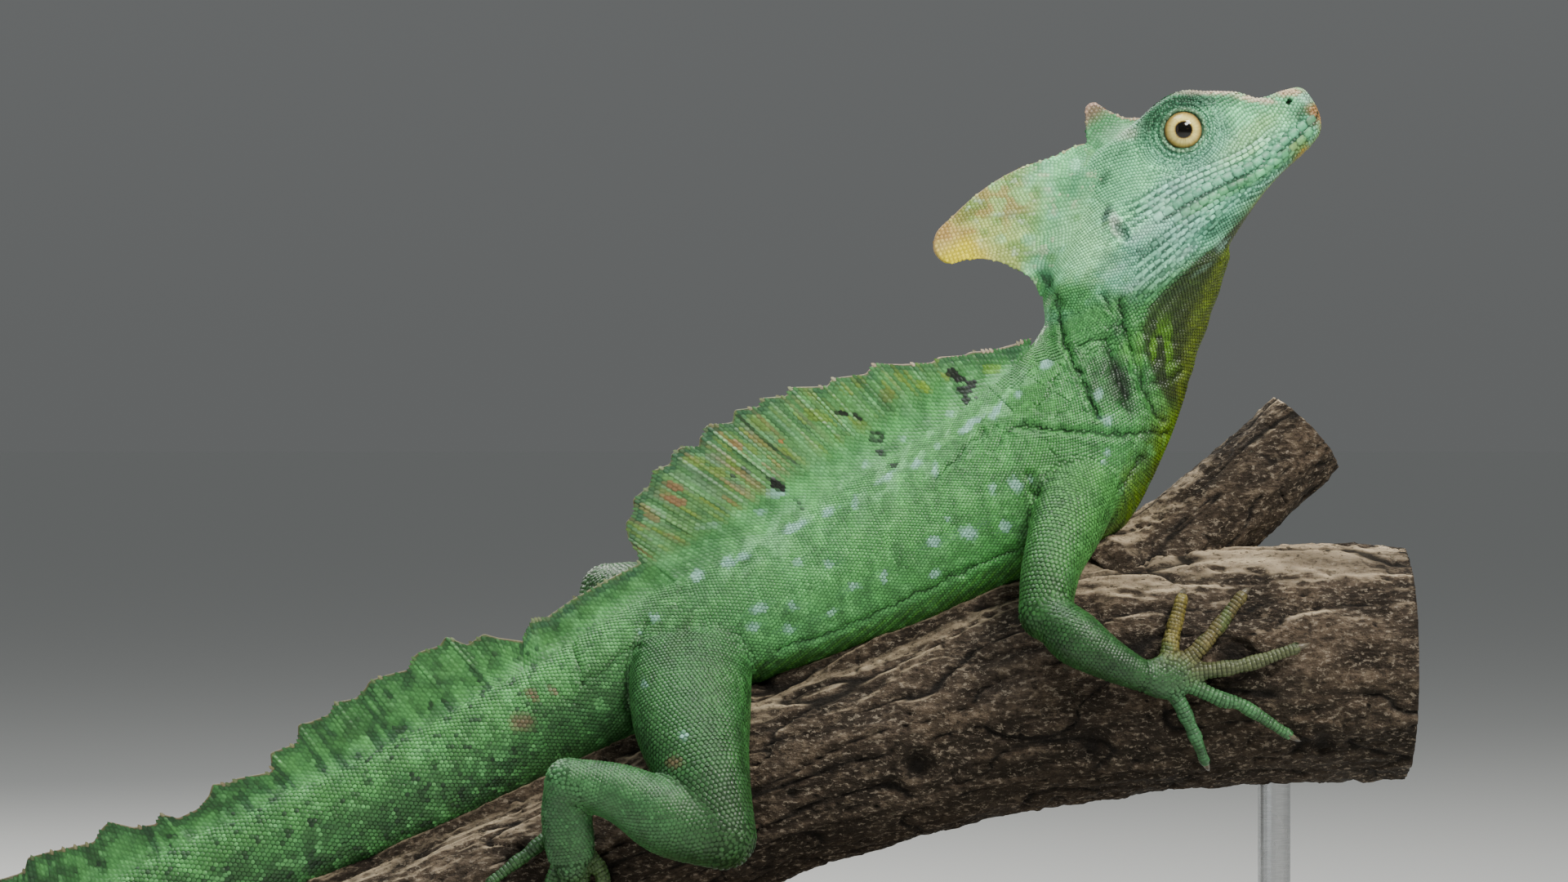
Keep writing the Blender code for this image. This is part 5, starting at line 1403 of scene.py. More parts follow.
def lip_plates():
    """Roots of the long plates along both lips and the jaw, with their lengths."""
    out = []
    for hand in (-1, 1):
        for k, (rise, spread, height, length, first, last) in enumerate(STRAPS):
            for s in np.arange(first + 0.5 * length * (k % 2), last, length * 0.97):
                def spot(s):
                    far = min(1, s / 12) if k > 1 else min(1, 0.5 + s / 10)
                    fan = max(0.0, s - 26) / 30
                    return head_at(s, float(head_read("mouth", min(s, 46))[0]) + rise * far
                                   + spread * fan, hand * (float(head_read("lip_w", s)[0]) + 0.4))
                here = spot(s)
                out.append([*here, *(spot(s + 1) - here), height * MM, s / 84,
                            0.3 if hand < 0 else 0.7, 0, length / height])
    return np.array(out)


def lid_rows():
    """Roots of small beads in rings around the eyes, lying along their ring."""
    out = []
    for hand in (-1, 1):
        for ring in range(12):
            far = (5.45 + 0.68 * ring) / LID
            count = int(2 * np.pi * far / 0.74)
            for a in 2 * np.pi * (np.arange(count) + 0.5 * (ring % 2)) / count:
                here = head_at(EYE_S + 1.07 * far * math.cos(a), EYE_H + far * math.sin(a),
                               hand * 11.2)
                lie = np.array(AHEAD) * 1.07 * math.sin(a) + np.array(OVER) * math.cos(a)
                out.append([*here, *lie, 0.60 * MM, 0.35, 0.2 if hand < 0 else 0.8, 0, 1.25])
    return np.array(out)


ORDER = ["head"] + [n for kind in ("digit", "palm", "fore", "upper") for n in part_names
                    if n.startswith(kind)] + ["trunk"]
all_rows = [np.c_[r, np.ones(len(r))] for r in (rows_on(name, part_names.index(name))
                                                for name in ORDER)]
rooted = [settle(lip_plates(), 3.0, 2.5), settle(lid_rows(), 3.2, 3.0)]
rooted += [settle(r, 2.4, 1.7) for r in all_rows]
roots = np.concatenate([r for r, _ in rooted])
faces_hit = np.concatenate([f for _, f in rooted])
plate_kind = np.r_[np.ones(len(rooted[0][0])), np.zeros(len(roots) - len(rooted[0][0]))]
reach = roots[:, 6] * np.where(plate_kind == 1, 0.82, 0.62)
kept = drop_crowded(roots[:, 0:3], reach)
roots, faces_hit, plate_kind = roots[kept], faces_hit[kept], plate_kind[kept]
print(len(roots), "scales in rows")

# %% Fill the gaps
def fill_gaps(roots, seed=5):
    random = np.random.default_rng(seed)
    tree = point_tree(roots[:, 0:3])
    a, b, c = co[tris[:, 0]], co[tris[:, 1]], co[tris[:, 2]]
    area = np.linalg.norm(np.cross(b - a, c - a), axis=1) / 2
    count = int(area.sum() / (0.42 * MM * COARSER) ** 2)
    face = random.choice(len(tris), count, p=area / area.sum())
    p, q = random.random((2, count))
    p, q = np.where(p + q > 1, (1 - p, 1 - q), (p, q))
    spots = a[face] + (b - a)[face] * p[:, None] + (c - a)[face] * q[:, None]
    found = [tree.find(s) for s in spots]
    owner = np.array([f[1] for f in found])
    gap = np.array([f[2] for f in found])
    free = gap > 0.80 * roots[owner, 6]
    new = roots[owner[free]].copy()
    new[:, 0:3] = spots[free]
    new[:, 7:9] += random.uniform(-0.004, 0.004, (len(new), 2))
    kept = drop_crowded(new[:, 0:3], new[:, 6] * 0.80)
    return new[kept], face[free][kept]


more, more_faces = fill_gaps(roots)
roots = np.concatenate([roots, more])
faces_hit = np.r_[faces_hit, more_faces]
plate_kind = np.r_[plate_kind, np.zeros(len(more))]
s, h, y = head_frame(roots[:, 0:3])
on_ball = (eye_gap(s, h) < 5.3) & (np.abs(y) > 5)
in_pit = (np.hypot((s - 3.2) / 0.9, (h - 7.7) / 0.75) < 1.0) & (np.abs(y) > 1.5)
good = ~(on_ball | in_pit)
roots, faces_hit, plate_kind = roots[good], faces_hit[good], plate_kind[good]
print(len(more), "more in the gaps,", len(roots), "in all")

# %% Turn and paint each scale
def quaternions(x, y, z):
    """Rotations (w, x, y, z) that carry the axes onto three unit vectors."""
    m = np.stack([x, y, z], axis=2)
    tests = np.stack([1 + m[:, 0, 0] + m[:, 1, 1] + m[:, 2, 2],
                      1 + m[:, 0, 0] - m[:, 1, 1] - m[:, 2, 2],
                      1 - m[:, 0, 0] + m[:, 1, 1] - m[:, 2, 2],
                      1 - m[:, 0, 0] - m[:, 1, 1] + m[:, 2, 2]], 1)
    best = tests.argmax(1)
    r = np.sqrt(np.maximum(tests[np.arange(len(m)), best], 1e-12))
    a, b, c = m[:, 2, 1] - m[:, 1, 2], m[:, 0, 2] - m[:, 2, 0], m[:, 1, 0] - m[:, 0, 1]
    d, e, f = m[:, 1, 0] + m[:, 0, 1], m[:, 0, 2] + m[:, 2, 0], m[:, 2, 1] + m[:, 1, 2]
    rows = np.stack([np.stack([r * r, a, b, c], 1), np.stack([a, r * r, d, e], 1),
                     np.stack([b, d, r * r, f], 1), np.stack([c, e, f, r * r], 1)], 1)
    return rows[np.arange(len(m)), best] / (2 * r)[:, None]


def scale_frames(roots, normal):
    z = unit(normal)
    x = unit(roots[:, 3:6])
    x = unit(x - z * (x * z).sum(1)[:, None])
    y_ = np.cross(z, x)
    return quaternions(x, y_, z)


luck = np.random.default_rng(21)
root_normal = unit(skin_normal[tris[faces_hit]].mean(1))
spin = luck.normal(0, 0.06, (len(roots), 3))
turn = scale_frames(roots, root_normal + spin)
root_base = base[tris[faces_hit]].mean(1)
root_limb = is_limb[tris[faces_hit]].any(1)
paint = marks(roots[:, 0:3], root_base, root_limb)
paint *= np.clip(1 + luck.normal(0, 0.12, len(roots)), 0.6, 1.5)[:, None]
names_arr = np.array([part_names[int(k)].split("_")[0] for k in roots[:, 9]])
plate_kind = np.where(names_arr == "digit", 1, plate_kind)
broad = np.where(names_arr == "digit", 1.10, np.where(np.isin(
    names_arr, ("fore", "palm")), 1.15, 1.0))
size = np.stack([roots[:, 6] * roots[:, 10] * luck.uniform(0.98, 1.10, len(roots)),
                 roots[:, 6] * broad * luck.uniform(0.98, 1.06, len(roots)),
                 roots[:, 6] * luck.uniform(0.85, 1.15, len(roots))
                 * np.where(names_arr == "digit", 1.2, np.where(plate_kind == 1, 0.55, 1.0))], 1)
print("mean scale", round(float(roots[:, 6].mean()) / MM, 2), "mm")

# %% [markdown]
# ## One plate, many scales
#
# Body scales are keeled: a little roof with a ridge, sunk at the front and
# raised at the free rear edge. On the head they are beads, and along the lips
# broad shields. Each kind is modelled once with a few faces. A node tree sets
# a copy on every root, makes the copies real, gives each its own small patch
# on a flat map of the body, and names the finish.


# %% Plates
def plate_mesh(name, verts, faces, shade, sharp):
    """A plate of unit size with its edge kept sharp; x is the way it points."""
    mesh = bpy.data.meshes.new(name)
    mesh.from_pydata(verts, [], faces)
    mesh.update()
    mesh.shade_smooth()
    store_values(mesh, "shade", "FLOAT", shade)
    store_values(mesh, "spot", "FLOAT_VECTOR", [(v[0] * 0.8, v[1] * 0.8, 0) for v in verts])
    edge = mesh.attributes.new("sharp_edge", "BOOLEAN", "EDGE")
    edge.data.foreach_set("value", [e.vertices[0] < sharp and e.vertices[1] < sharp
                                    for e in mesh.edges])
    return bpy.data.objects.new(name, mesh)


KEELED = plate_mesh(
    "keeled_plate",
    [(-.46, 0, -.1), (-.14, -.5, -.05), (.36, -.42, .03), (.7, 0, .12),
     (.36, .42, .03), (-.14, .5, -.05), (-.16, 0, .15), (.42, 0, .25)],
    [(0, 1, 6), (1, 2, 7, 6), (2, 3, 7), (3, 4, 7), (4, 5, 6, 7), (5, 0, 6), (5, 4, 3, 2, 1, 0)],
    [0.0, .25, .2, .35, .2, .25, .8, 1.0], 6)
BEAD = plate_mesh(
    "bead_plate",
    [(-.5, 0, -.08), (-.24, -.47, -.04), (.28, -.45, 0.0), (.56, 0, .04),
     (.28, .45, 0.0), (-.24, .47, -.04), (-.18, -.16, .18), (.22, -.15, .22),
     (.22, .15, .22), (-.18, .16, .18)],
    [(0, 1, 6), (1, 2, 7, 6), (2, 3, 8, 7), (3, 4, 8), (4, 5, 9, 8), (5, 0, 6, 9), (6, 7, 8, 9),
     (5, 4, 3, 2, 1, 0)],
    [.1, .25, .25, .3, .25, .25, .9, 1.0, 1.0, .9], 6)
SHIELD = plate_mesh(
    "lip_shield",
    [(-.5, -.3, -.06), (-.3, -.5, -.06), (.28, -.5, -.04), (.48, -.3, 0.0),
     (.48, .3, 0.0), (.28, .5, -.04), (-.3, .5, -.06), (-.5, .3, -.06),
     (-.3, -.24, .13), (.3, -.24, .16), (.3, .24, .16), (-.3, .24, .13)],
    [(0, 1, 8), (1, 2, 9, 8), (2, 3, 9), (3, 4, 10, 9), (4, 5, 10), (5, 6, 11, 10), (6, 7, 11),
     (7, 0, 8, 11), (8, 9, 10, 11), (7, 6, 5, 4, 3, 2, 1, 0)],
    [.1] * 8 + [.9, 1.0, 1.0, .9], 8)
print("plates:", [len(o.data.polygons) for o in (KEELED, BEAD, SHIELD)], "faces")

# %% The scale tree
PATCH = 0.003       # a scale's side on the flat map


def scale_tree():
    tree, enter, leave = group_tree("set scales",
                                    [("Roots", "NodeSocketGeometry", None),
                                     ("Plate", "NodeSocketObject", None),
                                     ("Patch", "NodeSocketFloat", PATCH),
                                     ("Finish", "NodeSocketMaterial", None)],
                                    [("Scales", "NodeSocketGeometry")], "GeometryNodeTree")
    given = enter.outputs

    def named(kind, name):
        return add_node(tree, "GeometryNodeInputNamedAttribute", {"Name": name},
                        data_type=kind).outputs["Attribute"]

    plate = add_node(tree, "GeometryNodeObjectInfo", {"Object": given["Plate"]})
    place = add_node(tree, "GeometryNodeInstanceOnPoints",
                     {"Points": given["Roots"], "Instance": plate.outputs["Geometry"],
                      "Rotation": named("QUATERNION", "turn"),
                      "Scale": named("FLOAT_VECTOR", "size")})
    real = add_node(tree, "GeometryNodeRealizeInstances", {"Geometry": place.outputs["Instances"]})
    across = add_node(tree, "ShaderNodeVectorMath",
                      {0: named("FLOAT_VECTOR", "spot"), "Scale": given["Patch"]},
                      operation="SCALE")
    where = add_node(tree, "ShaderNodeVectorMath",
                     {0: named("FLOAT_VECTOR", "place"), 1: across.outputs[0]}, operation="ADD")
    store = add_node(tree, "GeometryNodeStoreNamedAttribute",
                     {"Name": "OFBake", "Geometry": real.outputs["Geometry"],
                      "Value": where.outputs[0]}, data_type="FLOAT2", domain="CORNER")
    finish = add_node(tree, "GeometryNodeSetMaterial",
                      {"Geometry": store.outputs["Geometry"], "Material": given["Finish"]})
    wire(finish.outputs["Geometry"], leave.inputs["Scales"])
    return tree


SCALE_TREE = scale_tree()


def grow(name, spots, turn, size, paint, place, plate, finish):
    """Points with their values, put through the tree and made a plain mesh."""
    mesh = bpy.data.meshes.new(name + "_roots")
    mesh.from_pydata([tuple(p) for p in spots], [], [])
    for key, kind, values in (("turn", "QUATERNION", turn), ("size", "FLOAT_VECTOR", size),
                              ("place", "FLOAT_VECTOR", np.c_[place, np.zeros(len(place))]),
                              ("Tint", "FLOAT_COLOR", np.c_[held(paint), np.ones(len(paint))])):
        store_values(mesh, key, kind, values)
    obj = link(bpy.data.objects.new(name, mesh))
    nodes = obj.modifiers.new("scales", "NODES")
    nodes.node_group = SCALE_TREE
    ids = {item.name: item.identifier for item in SCALE_TREE.interface.items_tree}
    nodes[ids["Plate"]], nodes[ids["Finish"]], nodes[ids["Patch"]] = plate, finish, PATCH
    made = make_real(obj)
    for key in ("turn", "size", "place", "spot"):
        if key in made.attributes:
            made.attributes.remove(made.attributes[key])
    return obj


def joined(name, objs):
    """One object from several that share a finish."""
    with bpy.context.temp_override(active_object=objs[0], selected_editable_objects=objs,
                                   selected_objects=objs):
        bpy.ops.object.join()
    objs[0].name = name
    return objs[0]


print("tree", SCALE_TREE.name, "with", len(SCALE_TREE.nodes), "nodes")

# %% Grow the coat
def scale_material(name, source):
    """The horny finish, with painted shade at a plate's edge and a painted highlight on its keel.
    """
    mat = source.copy()
    mat.name = name
    tree = mat.node_tree
    group = next(n for n in tree.nodes if n.type == "GROUP")
    paint_ = next(n for n in tree.nodes if n.type == "ATTRIBUTE").outputs["Color"]
    shade = range_node(stored(tree, "shade"), 0.0, 1.0, 0.58, 1.22)
    wire(mix_node(1.0, paint_, grey_of(shade), "MULTIPLY"), group.inputs["Paint"])
    return mat


BODY_SCALES = scale_material("body_scales", SCALE_FINISH)
limb_arr = np.array(["_".join(part_names[int(k)].split("_")[1:3]) for k in roots[:, 9]])
belongs = np.where(names_arr == "head", "head", np.where(
    names_arr == "trunk", np.where(roots[:, 7] < 0.105, "neck", np.where(
        roots[:, 7] < 0.19, "chest", np.where(roots[:, 7] < 0.34, "flank", "tail"))),
    np.where(np.char.startswith(limb_arr.astype(str), "arm"), "arms", "legs")))


def map_place(which):
    """Place of each root on a flat map of its part, one strip for each grid."""
    rows = roots[which]
    labels = np.unique(rows[:, 9])
    strip = {k: i for i, k in enumerate(labels)}
    low, high = rows[:, 7].min(), rows[:, 7].max()
    if len(labels) > 1:
        low, high = 0.0, 1.0
    at_ = np.array([strip[k] for k in rows[:, 9]])
    x = 0.01 + 0.98 * held((rows[:, 7] - low) / (high - low))
    y_ = (at_ + 0.04 + 0.92 * held(rows[:, 8])) / len(labels)
    return np.stack([x, 0.005 + 0.99 * y_], 1)


COAT = []
for part in ("head", "neck", "chest", "flank", "tail", "arms", "legs"):
    mine = belongs == part
    layers = []
    for kind, plate in ((0, BEAD if part in ("head",) else KEELED), (1, SHIELD)):
        which = mine & (plate_kind == kind)
        if which.sum():
            layers.append(grow("scales_%s_%d" % (part, kind), roots[which, 0:3], turn[which],
                               size[which], paint[which], map_place(which), plate, BODY_SCALES))
    coat = joined("scales_" + part, layers) if len(layers) > 1 else layers[0]
    coat.name = "scales_" + part
    COAT.append(coat)
    coat.data.calc_loop_triangles()
    print(coat.name, int(mine.sum()), "scales,", len(coat.data.loop_triangles), "triangles")

# %% [markdown]
# ## Crests, sail and fin
#
# The sail and the fin are webs of skin held up by bony rays. Every lobe of the
# edge runs level from a notch to a corner and then steps down towards the
# tail, and each corner is the end of a ray. The rays fan: they start far back
# on the spine and lean forward. Each blade is a closed shell between a root
# line sunk in the back and the stepped edge. Ribs, fine pleats and a foot that
# flares into the flank all come from its thickness.


# %% Lines on the back
SAIL_EDGE = [(1262, 414), (1243, 421), (1214, 429), (1187, 431), (1181, 435), (1149, 437),
             (1141, 444), (1104, 446), (1070, 445), (1060, 458), (1019, 463), (1013, 473),
             (967, 474), (963, 485), (933, 487), (929, 498), (899, 502), (897, 517), (864, 521),
             (862, 532), (857, 534), (856, 547), (834, 547), (822, 556), (821, 568), (800, 576),
             (795, 595), (775, 611), (777, 629), (766, 640), (769, 660), (781, 677), (783, 690),
             (745, 709), (702, 733), (669, 756), (651, 759), (640, 785)]
FIN_EDGE = [(640, 785), (610, 781), (592, 776), (572, 790), (546, 779), (538, 791), (514, 798),
            (506, 804), (500, 820), (471, 827), (452, 834), (448, 842), (436, 855), (410, 860),
            (404, 874), (380, 884), (365, 887), (365, 909), (331, 922), (333, 945), (290, 953),
            (280, 959), (260, 960), (256, 974), (243, 990), (218, 1002), (196, 996), (191, 1009),
            (163, 1013), (133, 1006), (124, 1015), (115, 1031), (60, 1043), (34, 1050),
            (30, 1066), (22, 1070)]
SAIL_FAN = [(-848, 1262), (-745, 1205), (-654, 1150), (-567, 1098), (-466, 1042), (-405, 1008),
            (-304, 962), (-224, 915), (-164, 880), (-114, 836), (-93, 800), (-36, 765), (31, 725),
            (87, 690), (108, 662), (145, 641)]
FIN_FAN = [(145, 641), (185, 626), (233, 600), (283, 566), (382, 500), (451, 452), (522, 404),
           (591, 366), (700, 290), (801, 222), (873, 158), (983, 70), (1048, 22)]
CASQUE_EDGE = [(48.4, 25.0), (50.2, 26.3), (58.6, 27.9), (67, 30.0), (78, 30.4), (87.2, 29.0),
               (92.8, 27.6), (95.4, 24.4), (94.6, 20.4), (90.5, 18.7), (85.0, 15.2), (81.2, 10.4),
               (79.0, 5.4), (79.6, 1.0)]
BROW_EDGE = [(35.4, 24.3), (38.4, 26.4), (41.0, 30.2), (43.2, 33.8), (44.8, 33.8), (46.4, 31.6),
             (48.0, 29.0), (49.5, 26.4), (50.8, 25.0)]
MARKS = TRUNK[:, 15]
TAIL_START = MARKS[MARKS <= TAIL_MARK + 1e-6][-1]


def back_line(mark, lift):
    """Points over the back's midline at marks of the body, lifted by millimetres."""
    p = read_line(mark, MARKS, BACK)
    ups = unit(TRUNK[:, 3:6])
    up = read_line(mark, MARKS, ups)
    return p + unit(up) * np.multiply(lift, MM)


def mark_at(u):
    """Mark where the back passes sheet line u."""
    return np.interp(-np.asarray(u, float), -(BACK[:, 0] / UNIT + 1000), MARKS)


def stepped(line, step):
    """The drawn edge at even steps in mm, its corners rounded, and the place of each step."""
    p = np.array([tuple(at(u, v)) for u, v in line])
    reach = run_along(p) / MM
    d = np.linspace(0, reach[-1], int(reach[-1] / step))
    q = read_line(d, reach, p)
    w = (1080 - (q[:, 2] - LIFT) / UNIT) - (q[:, 0] / UNIT + 1000)
    for _ in range(int(0.5 / step ** 2)):
        q[1:-1] = (q[:-2] + 2 * q[1:-1] + q[2:]) / 4
    falls = [r for r, (u, v), (a, b) in zip(reach, line, line[1:]) if b - v > 1.2 * abs(a - u)]
    return q, d, np.array(falls), w


print("tail mark", round(float(TAIL_START), 1))

# %% Blades
def skin_under(point, aim_, reach=16 * MM):
    """How far (metres) along aim_ the skin lies from a point on the midline."""
    hit = skin_tree.ray_cast(Vector(point + aim_ * reach), Vector(-aim_), reach * 2.2)[3]
    return 0.0 if hit is None else reach - hit


def blade(root, edge, d, falls, rows=22, foot=(2.0, 4.0), thick=(1.3, 0.42), rib=0.3,
          pleat=0.10):
    """A closed blade whose foot, so wide and so high, leaves the skin as a hollow curve."""
    low, across = 11, np.array([0, 1, 0])
    aim_, high = unit(edge - root), np.linalg.norm(edge - root, axis=1) / MM
    part = np.minimum(1, 0.5 * high / foot[1])[:, None]
    t = np.linspace(0, 1, low + 1)[None] * np.pi / 2
    f = np.linspace(0, 1, rows + 1)[None, 1:] ** 0.92
    up = np.concatenate([foot[1] * part * (1 - np.cos(t)),
                         foot[1] * part + (high[:, None] - foot[1] * part) * f], 1)
    v = up / high[:, None]
    gap = np.abs(d[:, None] - falls[None] - 0.2).min(1)
    drift = cloud(np.c_[d, 0 * d, 0 * d] * MM, 5, 71)
    ribs = rib * bell(gap, 0.55) + pleat * np.cos(2 * np.pi * (d / 1.9 + 1.3 * drift))
    half = (thick[0] + (thick[1] - thick[0]) * v ** 0.8 + ribs[:, None]
            * held((up - foot[1] * part) / 3) * np.minimum(1, 6 * (1 - v) + 0.2)) / 2
    half[:, :low + 1] += foot[0] * part * (1 - np.sin(t))
    half[:, -1] *= 0.55
    wave = 0.5 * MM * (cloud(np.c_[d, 0 * d, 0 * d] * MM, 6, 72) - 0.5)[:, None] * v ** 1.5
    faces_ = []
    for hand in (-1, 1):
        bed = np.zeros(up.shape)
        for i, k in np.ndindex(len(root), low + 1):
            bed[i, k] = skin_under(root[i] + across * (hand * half[i, k] * MM), aim_[i])
        for _ in range(3):
            bed[1:-1] = (bed[:-2] + 2 * bed[1:-1] + bed[2:]) / 4
        bed[:, low + 1:] = bed[:, low:low + 1] * (1 - f)
        bed[:, :low] -= 0.14 * MM * np.cos(t[:, :low]) ** 2
        faces_.append(root[:, None] + aim_[:, None] * (up * MM + bed)[..., None]
                      + across * (hand * half * MM + wave)[..., None])
    right, left = faces_
    grid = np.concatenate([left, right[:, ::-1]], axis=1)
    half_values = np.stack([np.repeat(d[:, None], v.shape[1], 1), v, up], 2)
    values = np.concatenate([half_values, half_values[:, ::-1]], axis=1).reshape(-1, 3)
    return grid, (right, left), values, (d, v, high)


def blade_roots(faces, scale, across, along_, seed, rim):
    """Scale roots on both faces of a blade and along its rim."""
    random = np.random.default_rng(seed)
    d_all, v_all, high_all = scale
    out = []
    for side, grid in enumerate(faces):
        n, m = grid.shape[:2]
        mid = grid[:, int(m * 0.75)]
        reach = run_along(mid)
        for i, x in enumerate(np.arange(0.4, reach[-1] / MM - 0.3, across * COARSER)):
            f = np.interp(x * MM, reach, np.arange(n))
            r, t = min(int(f), n - 2), f - min(int(f), n - 2)
            line = grid[r] * (1 - t) + grid[r + 1] * t
            tall = run_along(line)
            start = 1.0 + along_ * 0.5 * (i % 2) + random.uniform(-0.12, 0.12)
            d = np.arange(start, tall[-1] / MM - 0.3, along_ * COARSER) * MM
            if len(d) == 0:
                continue
            where = read_line(d, tall, line)
            ahead = read_line(d + 1e-4, tall, line) - where
            spot = np.interp(d, tall, np.arange(m))
            j = np.clip(spot.astype(int), 0, m - 1)
            run = grid[r + 1, j] - grid[r, j]
            normal_ = unit(np.cross(ahead, run))
            normal_ *= np.sign(normal_[:, 1] * (-1 if side == 0 else 1))[:, None]
            v = np.interp(spot, np.arange(m), v_all[r])
            out.append(np.c_[where, unit(ahead) + 0.3 * unit(run), normal_,
                             np.full(len(d), across * MM * COARSER), np.full(len(d), np.interp(
                                 f, np.arange(n), d_all)), v, np.full(len(d), side),
                             v * high_all[r]])
    rows = np.concatenate(out)
    kept = drop_crowded(rows[:, 0:3], rows[:, 9] * 0.62)
    rows = rows[kept]
    line = (faces[0][:, -1] + faces[1][:, -1]) / 2
    reach = run_along(line)
    d = np.arange(0.3, reach[-1] / MM, rim * COARSER) * MM
    where = read_line(d, reach, line)
    f = np.interp(d, reach, np.arange(len(line)))
    run = unit(read_line(d + 2e-4, reach, line) - where + 1e-9)
    low = (faces[0][:, 0] + faces[1][:, 0]) / 2
    out_ = read_line(f, np.arange(len(line)), line - low)
    out_ = unit(out_ - run * (out_ * run).sum(1)[:, None])
    edge_rows = np.c_[where - out_ * 0.2 * MM, run + 0.25 * out_, out_,
                      np.full(len(d), rim * 0.8 * MM), np.interp(f, np.arange(len(line)), d_all),
                      np.ones(len(d)), np.full(len(d), 2), np.full(len(d), 20.0)]
    return np.concatenate([rows, edge_rows])


CRESTS = {}
for name, line, fan, size_ in (
        ("sail", SAIL_EDGE, SAIL_FAN, dict(rows=26, foot=(7.0, 6.0), thick=(1.3, 0.5))),
        ("fin", FIN_EDGE, FIN_FAN, dict(rows=15, foot=(4.2, 3.4), thick=(1.2, 0.5)))):
    edge, d, falls, w = stepped(line, 0.42)
    stops, roots_u = np.array(fan, float).T
    marks_ = mark_at(np.interp(w, stops, roots_u))
    root = back_line(marks_, 0.0)
    short = np.linalg.norm(edge - root, axis=1)
    edge = np.where((short < 1.3 * MM)[:, None], root + unit(edge - root) * 1.3 * MM, edge)
    CRESTS[name] = blade(root, edge, d, falls, **size_)
    if name == "fin":
        fin_join = (root[-1:], edge[-1:], d[-1])
TEETH = 33
random = np.random.default_rng(12)
deep = random.uniform(0.8, 1.2, TEETH) ** 0.3
q = np.linspace(0, 1, TEETH * 8)
step_ = q * (TEETH - 1)
marks_ = TAIL_START + (MARKS[-1] - TAIL_START) * 0.46 * q
base_ = back_line(marks_, 0.35)
lean_ = unit(back_line(marks_ + 12, 1) - base_)
up_ = unit(back_line(marks_, 2) - base_)
tooth = np.interp(step_ % 4, [0, 1, 2, 3, 4], [0.77, 0.88, 0.95, 1.0, 0.77])
high = (12.6 * (1 - q) ** 0.9 + 0.9) * tooth * np.interp(step_, np.arange(TEETH), deep)
edge = base_ + (up_ * 0.95 + lean_ * (0.25 * np.minimum(1, 8 * q))[:, None]) * (high * MM)[:, None]
root = back_line(marks_, 0.0)
root[0], edge[0] = fin_join[0][0], fin_join[1][0]
d = run_along(edge) / MM
falls = np.interp(np.arange(3, TEETH - 1, 4), step_, d)
CRESTS["fin_end"] = blade(root, edge, d, falls, 9, (2.2, 2.2), (0.9, 0.4), 0.2, 0.06)
pts, share = through([head_at(s_, h_) for s_, h_ in CASQUE_EDGE], 160)
s_root = 48.8 + 30.1 * share ** 1.15
root = np.array([tuple(head_at(s_, float(head_read("top", s_)[0]) - 0.6)) for s_ in s_root])
d = share * 70
CRESTS["casque"] = blade(root, pts, d, np.array([-9.0]), 24, (7.5, 9.0), (2.0, 0.8), 0.0, 0.04)
pts, share = through([head_at(s_, h_) for s_, h_ in BROW_EDGE], 70)
s_root = 35.6 + 14.0 * share
root = np.array([tuple(head_at(s_, float(head_read("top", s_)[0]) - 0.4)) for s_ in s_root])
CRESTS["brow"] = blade(root, pts, share * 24, np.array([-9.0]), 14, (3.6, 3.4), (1.7, 0.7), 0.0,
                       0.04)
print("blades:", {k: c[0].shape[:2] for k, c in CRESTS.items()})

# %% Paint of the crests
SAIL_MARKS = [  # sheet u, v, radii, turn in degrees, colour, strength
    (1168, 459, 8.5, 6, -20, (14, 18, 12), .97), (1176, 465, 7, 4, -20, (14, 18, 12), .95),
    (1190, 471, 6.5, 5, 0, (14, 18, 12), .97), (1180, 478, 9, 5, -10, (14, 18, 12), .95),
    (1183, 490, 4.5, 6.5, 0, (14, 18, 12), .95), (1195, 490, 2.6, 2.6, 0, (22, 28, 18), .9),
    (1191, 503, 4, 3, 20, (16, 20, 14), .95), (1195, 509, 4.5, 2, 20, (50, 70, 48), .7),
    (1032, 506, 7.5, 3, -15, (12, 14, 10), .97), (1050, 511, 7.5, 2.4, -30, (16, 20, 14), .95),
    (952, 593, 11, 5, -35, (10, 12, 8), .98), (899, 584, 5.5, 2.5, -30, (44, 60, 44), .9),
    (913, 575, 6, 2.5, -30, (58, 66, 60), .8), (1159, 462, 5, 3, -30, (150, 168, 96), .6),
    (827, 596, 12, 4.5, -20, (150, 112, 92), .75), (827, 613, 14, 4.5, -15, (152, 114, 94), .8),
    (800, 634, 9, 3.5, -20, (146, 124, 98), .7), (902, 544, 9, 4.5, -30, (152, 122, 98), .75),
    (957, 540, 4, 3, 0, (176, 128, 92), .8), (1087, 483, 9, 7, -40, (118, 128, 82), .6),
    (1132, 474, 9, 5, -40, (140, 164, 84), .7), (1215, 452, 10, 6, 0, (122, 158, 76), .6),
    (852, 564, 15, 5, -10, (142, 162, 102), .6), (879, 577, 14, 5, -15, (140, 158, 100), .6),
    (930, 520, 14, 6, -35, (128, 148, 92), .6), (1000, 510, 16, 6, -20, (130, 156, 88), .6),
    (877, 562, 14, 6, -25, (128, 142, 126), .5), (1242, 430, 7, 12, -20, (58, 92, 66), .6)]
# the dark lines along the rays are painted shade in folds of the web
RAY_LINES = [  # dark folds of the web along a ray, with half width in mm
    ([(905, 509), (921, 526), (936, 540), (951, 551), (970, 564), (982, 572)], .32, .85),
    ([(974, 610), (984, 624), (989, 636), (990, 648)], .28, .8),
    ([(1052, 466), (1063, 474), (1078, 487), (1093, 503)], .9, .45),
    ([(1262, 416), (1262, 450), (1262, 498)], .3, .8),
    ([(1241, 436), (1241, 460), (1240, 486)], .35, .4)]
seen = point_tree(co)


